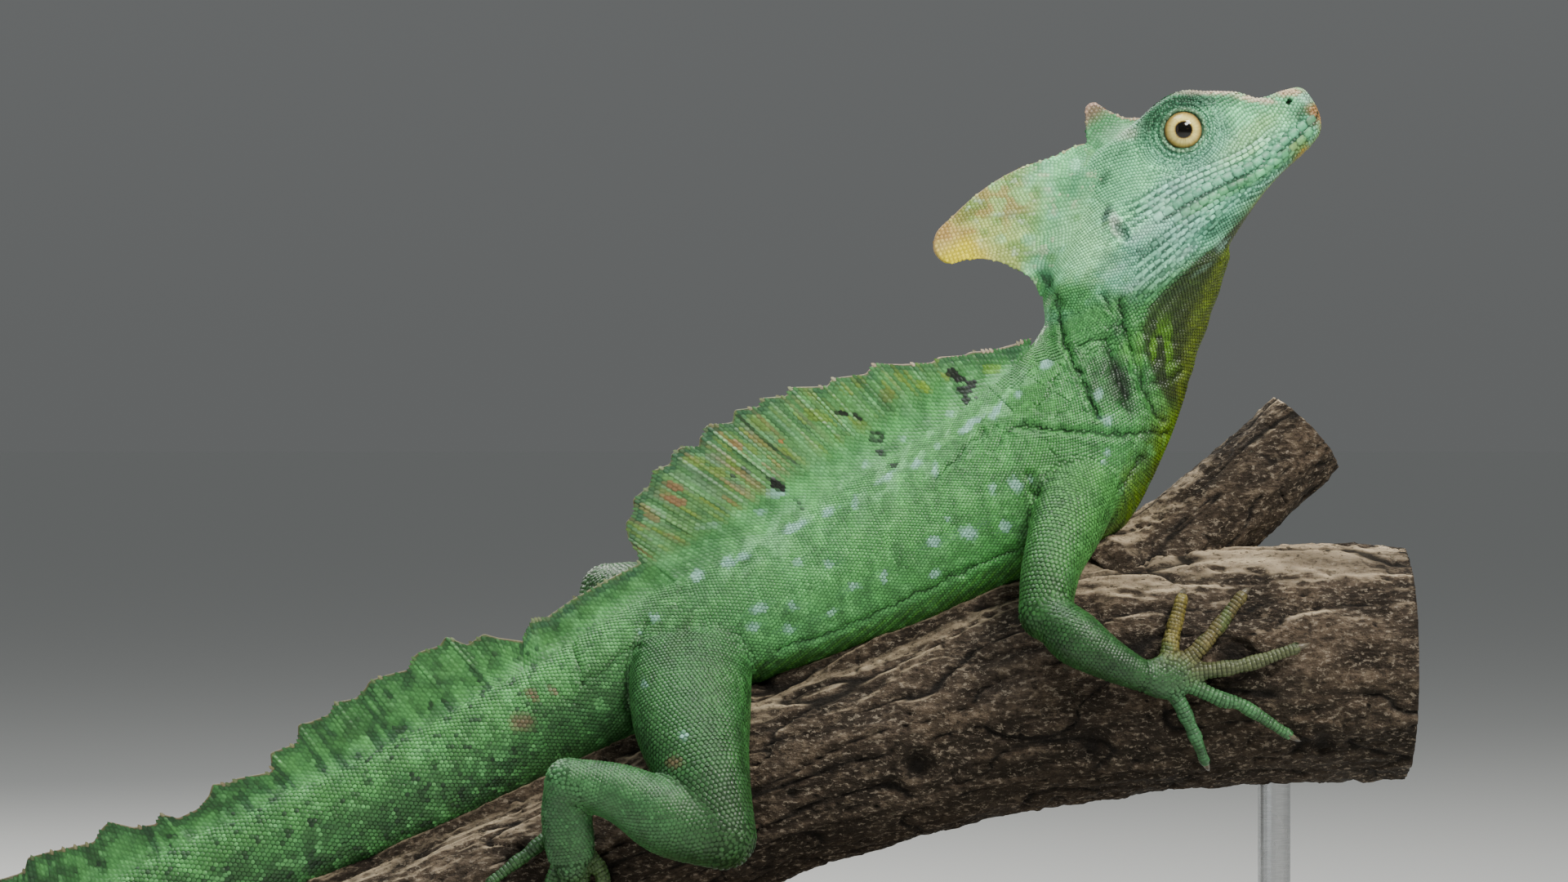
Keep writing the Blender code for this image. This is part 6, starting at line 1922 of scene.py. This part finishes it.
def crest_paint(kind, co_, d, v, up):
    """Colour of a crest; d runs along its edge, up from its root (both mm), v from 0 to 1."""
    u, w = sheet_of(co_)
    still = np.zeros(len(v), bool)
    paint = marks(co_, base[[seen.find(p)[1] for p in co_]], still)
    gap = up * (1 - v) / np.maximum(v, 1e-3)

    def dab(colour, share):
        nonlocal paint
        paint = lay(paint, tone(*colour), share)

    def ray(pitch, run, seed):
        return cloud(np.c_[d / pitch, up / run, 0 * d] * MM, 1.0, seed)

    a, b, e, c = ray(1.3, 10, 21), ray(2.3, 8, 22), ray(0.9, 5, 26), cloud(co_, 1.5, 23)
    if kind in ("casque", "brow"):
        s_, h_, _ = head_frame(co_)
        if kind == "casque":
            out = held((s_ - 60) / 24) ** 0.9
            dab((170, 236, 186), held((up - 1.5) / 4) * 0.9)
            dab((200, 214, 150), out * 1.1 * held((up - 3) / 4))
            dab((244, 222, 160), held((s_ - 82) / 8) * 0.9)
            dab((178, 236, 200), held((cloud(co_, 3.0, 48) - 0.55) * 5) * 0.7
                * held((84 - s_) / 8))
            blot = held((c * 0.5 + cloud(co_, 3.4, 24) * 0.7 - 0.62) * 6)
            dab((164, 128, 94), blot * 0.62 * held((s_ - 64) / 8) * held((h_ - 17) / 5))
            dab((104, 146, 92), held((0.36 - cloud(co_, 3.2, 27)) * 6) * 0.5 * held((92 - s_) / 8))
            dots = held((cloud(co_, 1.6, 25) - 0.70) * 9)
            dab((206, 228, 196), dots * 0.7 * held((90 - s_) / 10))
            under = held((24.5 - h_) / 3) * held((s_ - 84) / 4)
            dab((250, 236, 112), under * 0.9)
            dab((214, 188, 158), held((0.5 - gap) / 0.3) * 0.7 * held((h_ - 18) / 5))
        else:
            dab((118, 160, 124), np.full(len(v), 0.5))
            dab((142, 124, 108), held((h_ - 28.5) / 3) * 0.9)
            dab((204, 176, 160), held((1.1 - gap) / 0.5) * 0.8 * held((48 - s_) / 3))
        return paint * (0.88 + 0.24 * c)[:, None]
    free = held((up - 4.5) / 5)
    if kind == "sail":
        rear = held((1030 - u) / 120)
        dab((124, 158, 112), free * (0.35 + 0.35 * rear))
        dab((68, 104, 74), held((0.43 - a) * 6) * 0.60 * free)
        dab((148, 198, 152), held((b - 0.55) * 6) * 0.42 * held((up - 2) / 3) * held(gap / 5))
        dab((140, 156, 88), held((e - 0.58) * 7) * 0.55 * free)
        dab((150, 124, 96), held((a - 0.66) * 8) * 0.65 * free * rear)
        dab((122, 142, 124), held((0.40 - e) * 7) * 0.45 * free * rear)
        dab((64, 96, 74), bell(gap - 1.5, 1.2) * (0.50 + 0.30 * rear) * (0.6 + 0.8 * b))
        for cu, cv, ru, rv, turn_, colour, strength in SAIL_MARKS:
            off = oval(u, w, cu, cv, ru, rv, turn_) + 0.55 * (cloud(co_, 0.9, 28) - 0.5)
            dab(colour, held((1.25 - off) / 0.30) * strength)
        # painted shade along folds of the web beside the rays
        for line, wide_, dark_ in RAY_LINES:
            thin = line_gap(co_[:, 0], co_[:, 2], line)
            dab((30, 44, 30), bell(thin, wide_) * dark_)
        dab((200, 182, 168), held((0.5 - gap) / 0.2) * (0.80 - 0.45 * rear))
    else:
        patch = cloud(co_, 2.6, 29)
        dab((104, 152, 102), free * 0.4)
        dab((48, 76, 54), held((0.48 - a * 0.5 - patch * 0.5) * 8) * 0.75)
        dab((134, 192, 132), held((b - 0.53) * 7) * 0.60 * held(gap / 3))
        dab((50, 78, 56), bell(gap - 1.3, 1.2) * 0.55 * held(patch * 3 - 0.8))
        dab((186, 166, 146), held((0.6 - gap) / 0.3) * 0.60)
        dab((96, 96, 68), held((-100 - u) / 500) * 0.6)
        paint *= 0.84
    return paint * (0.90 + 0.20 * c)[:, None]


CREST_FINISH = hide_material("crest_web", 0.35, 0.14, 0.45, 0.7, 0.5, 0.4)
CREST_SCALES = scale_material("crest_scales", SCALE_FINISH)
BLADES = []
CREST_PITCH = {"sail": (0.95, 1.5), "fin": (1.0, 1.5), "fin_end": (0.95, 1.3),
               "casque": (0.95, 1.0), "brow": (0.95, 1.0)}     # mm across and along the rays
for kind, (grid, faces_, values, scale_) in CRESTS.items():
    obj = smooth_piece(kind, grid.reshape(-1, 3), grid_faces(grid.shape[0], grid.shape[1], 0),
                       CREST_FINISH)
    spots_ = mesh_arrays(obj.data)[0]
    write_tint(obj.data, crest_paint(kind, spots_, *values.T) * 0.82)
    across_, along_size = CREST_PITCH[kind]
    rows_ = blade_roots(faces_, scale_, across_, along_size, len(kind), 1.0)
    paint_ = crest_paint(kind, rows_[:, 0:3], rows_[:, 10], rows_[:, 11], rows_[:, 13])
    paint_ *= (1 + luck.normal(0, 0.06, len(rows_)))[:, None]
    turn_ = scale_frames(np.c_[rows_[:, 0:3], rows_[:, 3:6]], rows_[:, 6:9])
    size_ = np.stack([rows_[:, 9] * along_size / across_ * 0.98, rows_[:, 9] * 0.98,
                      rows_[:, 9] * 0.55], 1)
    column = rows_[:, 10] / scale_[0][-1]
    y_ = (rows_[:, 12] + np.clip(rows_[:, 11], 0.02, 0.98)) / 3
    coat = grow("scales_" + kind, rows_[:, 0:3], turn_, size_, paint_,
                np.stack([0.01 + 0.98 * column, y_], 1), BEAD if kind in ("casque", "brow")
                else KEELED, CREST_SCALES)
    BLADES.append((obj, coat))
    print(kind, len(rows_), "scales")

# %% [markdown]
# ## Eyes and claws
#
# A basilisk's eye is a wet ball with a golden iris, fine radial streaks, a dark
# outer ring and a round pupil. The ball is turned on the head's side axis, so
# one map from its pole, the angle from the axis, gives pupil, iris and rim as
# rings. The claws are small curved horns, dark and smooth, set in the end of
# every finger and toe.


# %% Eye balls
def eye_material():
    mat, tree, shader, place = new_finish("wet_eye")
    split = add_node(tree, "ShaderNodeSeparateXYZ", {0: stored(tree, "from_pupil", "Vector")})
    far, around_ = split.outputs["X"], split.outputs["Y"]
    fibres = add_node(tree, "ShaderNodeCombineXYZ",
                      {"X": range_node(far, 0, 6, 0, 1.2),
                       "Y": range_node(around_, 0, 1, 0, 34)}).outputs[0]
    threads, flecks = noise_node(fibres, 1.0, 4, 0.7), noise_node(place, 1400, 3, 0.6)
    wobbly = math_node("MULTIPLY_ADD", threads, 0.35, far)
    rings_ = add_node(tree, "ShaderNodeValToRGB", {"Fac": range_node(wobbly, 0.17, 5.05, 0, 1)})
    stops = [(0.0, (.004, .003, .002)), (.385, (.004, .003, .002)),
             (.42, (.3, .2, .05)), (.47, (.82, .66, .18)), (.6, (.92, .8, .26)),
             (.74, (.72, .56, .16)), (.87, (.4, .27, .08)), (.94, (.1, .07, .03)),
             (1.0, (.02, .02, .015))]
    band = rings_.color_ramp
    for element, (spot, colour) in zip(band.elements, (stops[0], stops[-1])):
        element.position, element.color = spot, (*colour, 1)
    for spot, colour in stops[1:-1]:
        band.elements.new(spot).color = (*colour, 1)
    dark = range_node(threads, 0.32, 0.66, 0.62, 1.18)
    streaked = mix_node(0.85, rings_.outputs["Color"], grey_of(dark), "MULTIPLY")
    shade = range_node(flecks, 0.62, 0.72, 0.0, 0.35)
    feed(shader, mix_node(shade, streaked, (0.42, 0.20, 0.06, 1)),
         range_node(flecks, 0.3, 0.7, 0.05, 0.11))
    for name, value in (("Coat Weight", 0.45), ("Specular IOR Level", 0.3),
                        ("Coat Roughness", 0.02)):
        shader.inputs[name].default_value = value
    return mat


EYE_FINISH = eye_material()


def eye_ball(name, hand):
    """A ball with a slightly raised cornea, poles on the side axis."""
    centre = head_at(EYE_S, EYE_H, hand * EYE_Y)
    axes = (np.array(AHEAD), np.array(OVER), np.array(SIDE) * hand)
    verts, faces, polar = [], [], []
    levels, turns_ = 72, 72
    for i in range(levels + 1):
        b = math.pi * i / levels
        for k in range(turns_ if 0 < i < levels else 1):
            a = 2 * math.pi * k / turns_
            bulge = 1 + 0.035 * math.exp(-(b / 0.62) ** 4)
            d = (axes[0] * math.sin(b) * math.cos(a) + axes[1] * math.sin(b) * math.sin(a)
                 + axes[2] * math.cos(b))
            verts.append(np.array(centre) + d * EYE_R * bulge * MM)
            polar.append((math.sin(min(b, math.pi / 2)) * EYE_R, k / turns_, 0.0))
    for k in range(turns_):
        n = (k + 1) % turns_
        faces.append((0, 1 + k, 1 + n))
        last = 1 + (levels - 2) * turns_
        faces.append((last + n, last + k, len(verts) - 1))
        for i in range(levels - 2):
            a = 1 + i * turns_
            faces.append((a + k, a + turns_ + k, a + turns_ + n, a + n))
    obj = smooth_piece(name, verts, faces, EYE_FINISH)
    store_values(obj.data, "from_pupil", "FLOAT_VECTOR", polar)
    return obj


EYES = [eye_ball("eye_ball_r", -1), eye_ball("eye_ball_l", 1)]
print("eyes at", [tuple(round(v, 4) for v in head_at(EYE_S, EYE_H, h_ * EYE_Y)) for h_ in (-1, 1)])

# %% Claws
def horn_material():
    mat, tree, shader, place = new_finish("claw_horn")
    grain = noise_node(place, 900, 3, 0.6)
    horn = mix_node(range_node(stored(tree, "toward_tip"), 0.0, 0.8, 0.0, 1.0),
                    (0.20, 0.17, 0.11, 1), (0.030, 0.024, 0.018, 1))
    horn = coats(horn, [(grain, 0.45, 0.75, 0.0, 0.5, (0.26, 0.22, 0.15))])
    feed(shader, horn, range_node(grain, 0.3, 0.7, 0.22, 0.42))
    return mat


def claws(name, which):
    verts, faces, tips = [], [], []
    for tag, _, horn, r in HORNS:
        if not tag.startswith(which):
            continue
        path, share_ = through(horn, 12)
        width = r * 0.80 * (1 - share_) ** 0.75 + 0.10
        grid = tube_grid(path, width * MM * 0.8, width * MM, 12, (0.3, 0.3, 0.9))
        faces += grid_faces(12, 12, len(verts))
        verts += list(grid.reshape(-1, 3))
        tips += list(np.repeat(share_, 12))
    obj = smooth_piece(name, verts, faces, HORN_FINISH)
    store_values(obj.data, "toward_tip", "FLOAT", tips)
    return obj


HORN_FINISH = horn_material()
CLAWS = [claws("claws_front", "arm"), claws("claws_rear", "leg")]
print("claws:", len(HORNS))

# %% [markdown]
# ## The branch
#
# Old bark is mostly relief: long ropes of grain that bend around knots, split
# by cracks and pitted by beetles. The branch is one fine tube whose surface is
# pushed in and out by noise that is stretched along the grain. The same values
# are kept on the mesh. The finish paints bark darker between the ropes and near
# black in cracks and pits, and pales the ridges that face up, partly as wear
# and partly as a painted highlight; faces turned down get painted shade.


# %% Bark relief
PERCH = [  # sheet u and v of the middle, half thickness and sideways place in mm
    (1722, 812, 28.4, 2), (1640, 812, 29.2, 2), (1560, 815, 29.4, 1), (1470, 819, 30.0, 1),
    (1390, 826, 29.6, 0), (1310, 841, 28.0, 0), (1220, 864, 25.8, 0), (1130, 894, 24.6, 0),
    (1040, 925, 23.8, 0), (950, 955, 23.2, 0), (868, 990, 23.0, 1), (788, 1027, 22.8, 1),
    (724, 1056, 22.8, 1), (655, 1089, 22.8, 0), (540, 1144, 22.6, 0), (420, 1193, 22.4, -1)]
STUB = ((1395, 715, 4), (1603, 531, 12), 13.5, 12.2)
KNOTS = [  # sheet u, v, radius in mm, depth in mm, hand
    (1500, 800, 6.5, 1.4, -1), (1330, 905, 5.0, 1.2, -1), (1610, 905, 4.0, 1.0, -1),
    (1120, 930, 4.5, 1.0, -1), (1440, 790, 6.0, 1.2, 1), (1000, 950, 5.0, 1.1, 1)]


def bark_relief(x, turn_, girth, seed):
    """Height in mm and the values of grain and crack; x is mm along, turn_ radians."""
    across_ = turn_ * girth
    warp = 3.2 * (cloud(np.stack([x * 0.25, across_ * 0.6, 0 * x], 1) * MM, 6, seed) - 0.5)
    a = across_ + warp * 2.2
    wrap = 2 * np.pi * girth

    def grain(size_a, size_x, k):
        lap = held((turn_ - 5.4) / (2 * np.pi - 5.4))
        first_ = cloud(np.stack([x / size_x, a / size_a, 0 * x], 1) * MM, 1.0, seed + k)
        again = cloud(np.stack([x / size_x, (a - wrap) / size_a, 0 * x], 1) * MM, 1.0, seed + k)
        return first_ * (1 - lap) + again * lap

    ropes = grain(2.6, 13, 1)
    fibres = grain(0.9, 7, 2)
    plates = grain(7.5, 17, 3)
    crack = held(1 - np.abs(grain(4.6, 24, 4) - 0.5) / 0.045)
    split_ = held(1 - np.abs(grain(5.4, 7, 5) - 0.52) / 0.035) * (plates > 0.5)
    holes = held((grain(1.3, 1.6, 6) - 0.86) / 0.08)
    rough, knobs = grain(0.6, 0.9, 7), grain(1.7, 2.4, 8)
    height = (1.4 * (ropes - 0.5) + 0.8 * (fibres - 0.5) + 1.2 * (plates - 0.5)
              + 0.5 * (rough - 0.5) + 1.0 * (knobs - 0.5) - 1.3 * crack - 0.8 * split_
              - 1.3 * holes)
    return height, ropes, np.maximum(crack, np.maximum(split_ * 0.7, holes))


def branch_grid():
    spine = [at(u, v, y_) for u, v, _, y_ in PERCH]
    rows_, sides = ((320, 240))
    path, share_ = through(spine, rows_)
    radii = smooth(np.linspace(0, 1, len(PERCH)), [r for _, _, r, _ in PERCH], share_)[:, 0]
    length = np.linalg.norm(np.diff(path, axis=0), axis=1).sum() / MM
    run = unit(np.gradient(path, axis=0))
    over = np.cross([0, 1, 0], run)
    turn_ = 2 * np.pi * np.arange(sides) / sides
    s_, t_ = np.meshgrid(share_, turn_, indexing="ij")
    swell = (1 + 0.020 * np.sin(3 * t_ + 9 * s_) + 0.014 * np.sin(5 * t_ - 23 * s_)
             + 0.012 * np.sin(2 * t_ + 31 * s_))
    high, rope, crack = (q_.reshape(s_.shape) for q_ in bark_relief(
        s_.ravel() * length, t_.ravel(), 26.0, 40))
    r = radii[:, None] * swell - 0.35 + high * 0.78
    grid = (path[:, None] + over[:, None] * (np.cos(t_) * r * MM)[..., None]
            + np.array([0, 1, 0]) * (np.sin(t_) * r * MM)[..., None])
    for u, v, size_, depth, hand_ in KNOTS:
        spot = np.array(at(u, v))
        gap = np.hypot(grid[..., 0] - spot[0], grid[..., 2] - spot[2]) / MM
        near_ = (np.sign(grid[..., 1]) == hand_) * 1.0
        ring = bell(gap - size_, 1.6) * 1.1 - bell(gap, size_) * depth * 1.6
        ring += 0.35 * np.sin(gap * 2.6) * bell(gap, size_ * 1.9)
        grid[..., 1] += hand_ * near_ * ring * MM
        crack = np.maximum(crack, near_ * bell(gap, size_ * 0.75) * 0.8)
    lift = np.zeros(s_.shape)
    for i, k in zip(*np.nonzero(np.cos(t_) > 0.25)):
        start = Vector(grid[i, k]) - Vector((0, 0, 2.5 * MM))
        hit, _, _, far = skin_tree.ray_cast(start, Vector((0, 0, 1)), 8.5 * MM)
        if hit is not None:
            gap = far / MM - 2.5
            lift[i, k] = max(0.0, gap + 0.15) * min(1.0, max(0.0, (5.5 - gap) / 2.5))
    for _ in range(4):
        lift[1:-1] = (lift[:-2] + 2 * lift[1:-1] + lift[2:]) / 4
        lift = (np.roll(lift, 1, 1) + 2 * lift + np.roll(lift, -1, 1)) / 4
    grid[..., 2] += lift * MM
    return grid, rope, crack


def end_cap(grid_ring, centre, inward_, rings_count, seed):
    """Rings of a rough sawn face from the rim to the middle, and its values."""
    rows_, values = [], []
    for k in range(1, rings_count):
        f = 1 - k / rings_count
        ring = centre + (grid_ring - centre) * f
        wave = cloud(ring, 1.5, seed) - 0.5
        rows_.append(ring + inward_ * ((0.5 + 0.7 * wave) * min(1, k / 2))[:, None] * MM)
        values.append(np.full(len(ring), f))
    rows_.append(np.repeat(centre[None] + inward_ * 0.6 * MM, len(grid_ring), 0)
                 + (grid_ring - centre) * 0.004)
    values.append(np.zeros(len(grid_ring)))
    return np.array(rows_), np.array(values)


def wood_piece(name, grid, rope, crack, seed):
    """A bark tube with its two sawn faces as one closed mesh."""
    a, b = grid[0].mean(0), grid[-1].mean(0)
    run_a, run_b = unit(grid[1].mean(0) - a), unit(grid[-2].mean(0) - b)
    first_, fa = end_cap(grid[0], a, run_a, 26, seed)
    last_, fb = end_cap(grid[-1], b, run_b, 26, seed + 1)
    whole = np.concatenate([first_[::-1], grid, last_])
    cut_ = np.concatenate([fa[::-1] * 0.98 + 0.01, np.full(rope.shape, 2.0), fb * 0.98 + 0.01])
    pad = [np.full(fa.shape, 0.5), np.zeros(fa.shape)]
    obj = smooth_piece(name, whole.reshape(-1, 3), grid_faces(len(whole), whole.shape[1], 0))
    for key, value in (("rope", np.concatenate([pad[0], rope, pad[0]])),
                       ("crack", np.concatenate([pad[1], crack, pad[1]])), ("ring", cut_)):
        store_values(obj.data, key, "FLOAT", value)
    return obj


def stub_grid():
    a, b = np.array(at(*STUB[0])), np.array(at(*STUB[1]))
    rows_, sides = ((150, 130))
    t = np.linspace(-0.12, 1, rows_)[:, None]
    path = a + (b - a) * t + np.array([0, 0, -0.6 * MM]) * np.sin(np.pi * held(t))
    radii = STUB[2] + (STUB[3] - STUB[2]) * t[:, 0]
    radii += 5.0 * np.exp(-held(t[:, 0]) / 0.10)
    turn_ = 2 * np.pi * np.arange(sides) / sides
    s_, t_ = np.meshgrid(t[:, 0], turn_, indexing="ij")
    high, rope, crack = (q_.reshape(s_.shape) for q_ in bark_relief(
        s_.ravel() * 55, t_.ravel(), 12.5, 60))
    r = (radii[:, None] - 0.4 + high * 0.62) * MM
    run = unit(np.gradient(path, axis=0))
    side = unit(np.cross(run, [0, 0, 1]))
    over = np.cross(run, side)
    return (path[:, None] + side[:, None] * (np.cos(t_) * r)[..., None]
            + over[:, None] * (np.sin(t_) * r)[..., None]), rope, crack


BRANCH = wood_piece("branch", *branch_grid(), 70)
STUB_PIECE = wood_piece("branch_stub", *stub_grid(), 80)
print("branch:", len(BRANCH.data.vertices), "points, stub:", len(STUB_PIECE.data.vertices))

# %% Bark finish
def bark_material():
    mat, tree, shader, place = new_finish("weathered_bark")
    rope, crack, ring = (stored(tree, name) for name in ("rope", "crack", "ring"))
    grain, half = stretched(place, 0.22, 1.0, 1.0), stretched(place, 0.55, 1.0, 1.0)
    fibre, drift = noise_node(grain, 900, 4, 0.65), noise_node(place, 60, 4, 0.6)
    lumps, chips = noise_node(half, 430, 5, 0.68), noise_node(half, 1050, 4, 0.72)
    speck, lichen = noise_node(place, 1600, 3, 0.6), noise_node(place, 210, 5, 0.7)
    normal_ = add_node(tree, "ShaderNodeNewGeometry").outputs["Normal"]
    up = add_node(tree, "ShaderNodeSeparateXYZ", {0: normal_}).outputs["Z"]
    bark = mix_node(range_node(rope, 0.30, 0.72, 0.0, 1.0), (0.018, 0.012, 0.007, 1),
                    (0.105, 0.074, 0.048, 1))
    bark = coats(bark, [(drift, 0.42, 0.62, 0.0, 0.55, (0.060, 0.044, 0.032)),
                        (fibre, 0.50, 0.68, 0.0, 0.55, (0.200, 0.150, 0.105)),
                        (lumps, 0.40, 0.52, 0.6, 0.0, (0.022, 0.016, 0.010)),
                        (lumps, 0.56, 0.64, 0.0, 0.5, (0.240, 0.185, 0.125))])
    # paler ridges where the bark faces up: partly wear, partly a painted highlight from the light
    # above
    lit_and_worn = math_node("MULTIPLY", range_node(up, 0.62, 0.95, 0.0, 1.0),
                     range_node(rope, 0.32, 0.58, 0.0, 0.9))
    bark = mix_node(lit_and_worn, bark, (0.76, 0.60, 0.40, 1))
    # the first coat darkens faces turned down as painted shade under the branch; the last paints
    # cracks, pits and knot hearts near black
    bark = coats(bark, [(up, -.55, .05, .62, 0.0, (.02, .016, .01)),
                        (chips, .37, .45, .8, 0.0, (.016, .012, .008)),
                        (chips, .56, .62, 0.0, .65, (.33, .275, .205)),
                        (lichen, .66, .74, 0.0, .35, (.23, .25, .17)),
                        (crack, .1, .75, 0.0, .95, (.01, .008, .006))])
    rings_ = math_node("SINE", math_node("MULTIPLY", ring, 88))
    sawn = mix_node(range_node(rings_, -0.2, 1.0, 0.0, 0.75), (0.36, 0.265, 0.165, 1),
                    (0.19, 0.125, 0.070, 1))
    sawn = coats(sawn, [(speck, 0.5, 0.7, 0.0, 0.5, (0.46, 0.37, 0.26)),
                        (ring, 0.90, 0.98, 0.0, 1.0, (0.05, 0.035, 0.025))])
    height = fibre
    for source, part in ((speck, 0.6), (chips, 1.6), (lumps, 1.6)):
        height = math_node("MULTIPLY_ADD", source, part, height)
    feed(shader, mix_node(range_node(ring, 0.995, 1.3, 0.0, 1.0), sawn, bark),
         range_node(speck, 0.3, 0.7, 0.78, 0.95), height, 0.9, 0.0007)
    shader.inputs["Specular IOR Level"].default_value = 0.25
    return mat


BARK_FINISH = bark_material()
for obj in (BRANCH, STUB_PIECE):
    obj.data.materials.append(BARK_FINISH)
print("finish:", BARK_FINISH.name)

# %% [markdown]
# ## The display stand
#
# Rods and base are right as the hard model has them, so they stay and only get
# a finish. The base is oiled dark wood with its grain running lengthways, and
# the rods are turned steel with fine lines around them.


# %% Base and rods
def base_material():
    mat, _, shader, place = new_finish("oiled_dark_wood")
    long_ = stretched(place, 0.06, 1.0, 1.0)
    figure, pores = noise_node(long_, 70, 5, 0.6), noise_node(long_, 1100, 3, 0.6)
    wave = math_node("SINE", math_node("MULTIPLY", figure, 46))
    wood_ = mix_node(range_node(wave, -1, 1, 0.0, 1.0), (0.050, 0.026, 0.014, 1),
                     (0.115, 0.062, 0.032, 1))
    wood_ = coats(wood_, [(pores, 0.58, 0.70, 0.0, 0.7, (0.020, 0.011, 0.007))])
    feed(shader, wood_, range_node(pores, 0.4, 0.7, 0.30, 0.50), pores, 0.25, 0.0003)
    return mat


def steel_material():
    mat, _, shader, place = new_finish("turned_steel")
    brushed = noise_node(stretched(place, 0.05, 0.05, 1.0), 5200, 3, 0.6)
    smear = noise_node(place, 120, 3, 0.5)
    steel = mix_node(range_node(brushed, 0.3, 0.7, 0.0, 1.0), (0.46, 0.47, 0.48, 1),
                     (0.62, 0.63, 0.64, 1))
    feed(shader, steel, range_node(smear, 0.3, 0.7, 0.20, 0.36), brushed, 0.15, 0.0001)
    shader.inputs["Metallic"].default_value = 1.0
    return mat


for name, mat in (("stand_base", base_material()), ("stand_rod_front", steel_material()),
                  ("stand_rod_rear", steel_material())):
    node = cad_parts[name]
    for slot in node.material_slots:
        slot.material = mat
print("stand finished")

# %% [markdown]
# ## Into place
#
# Each finished piece goes under the body it belongs to, and the hard nodes
# it stands for are hidden.

FLESH = ["head", "neck", "torso"] + ["tail_%d" % k for k in range(1, 6)]
FLESH += [n for names in NODES_OF.values() for n in names]
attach(skin, "root")
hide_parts(*FLESH)
for coat in COAT:
    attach(coat, "root")
STANDS_FOR = (("crest_back",), ("crest_tail_1", "crest_tail_2"), ("crest_tail_3",),
              ("crest_head",), ("crest_brow",))
for (web, coat), nodes_ in zip(BLADES, STANDS_FOR):
    for piece in (web, coat):
        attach(piece, "root")
    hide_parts(*nodes_)
for eye, claw, tag in zip(EYES, CLAWS, ("r", "l")):
    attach(eye, "root")
    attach(claw, "root")
    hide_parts("eye_" + tag)
for wood_part in (BRANCH, STUB_PIECE):
    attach(wood_part, "root")
    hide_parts("stand_perch")
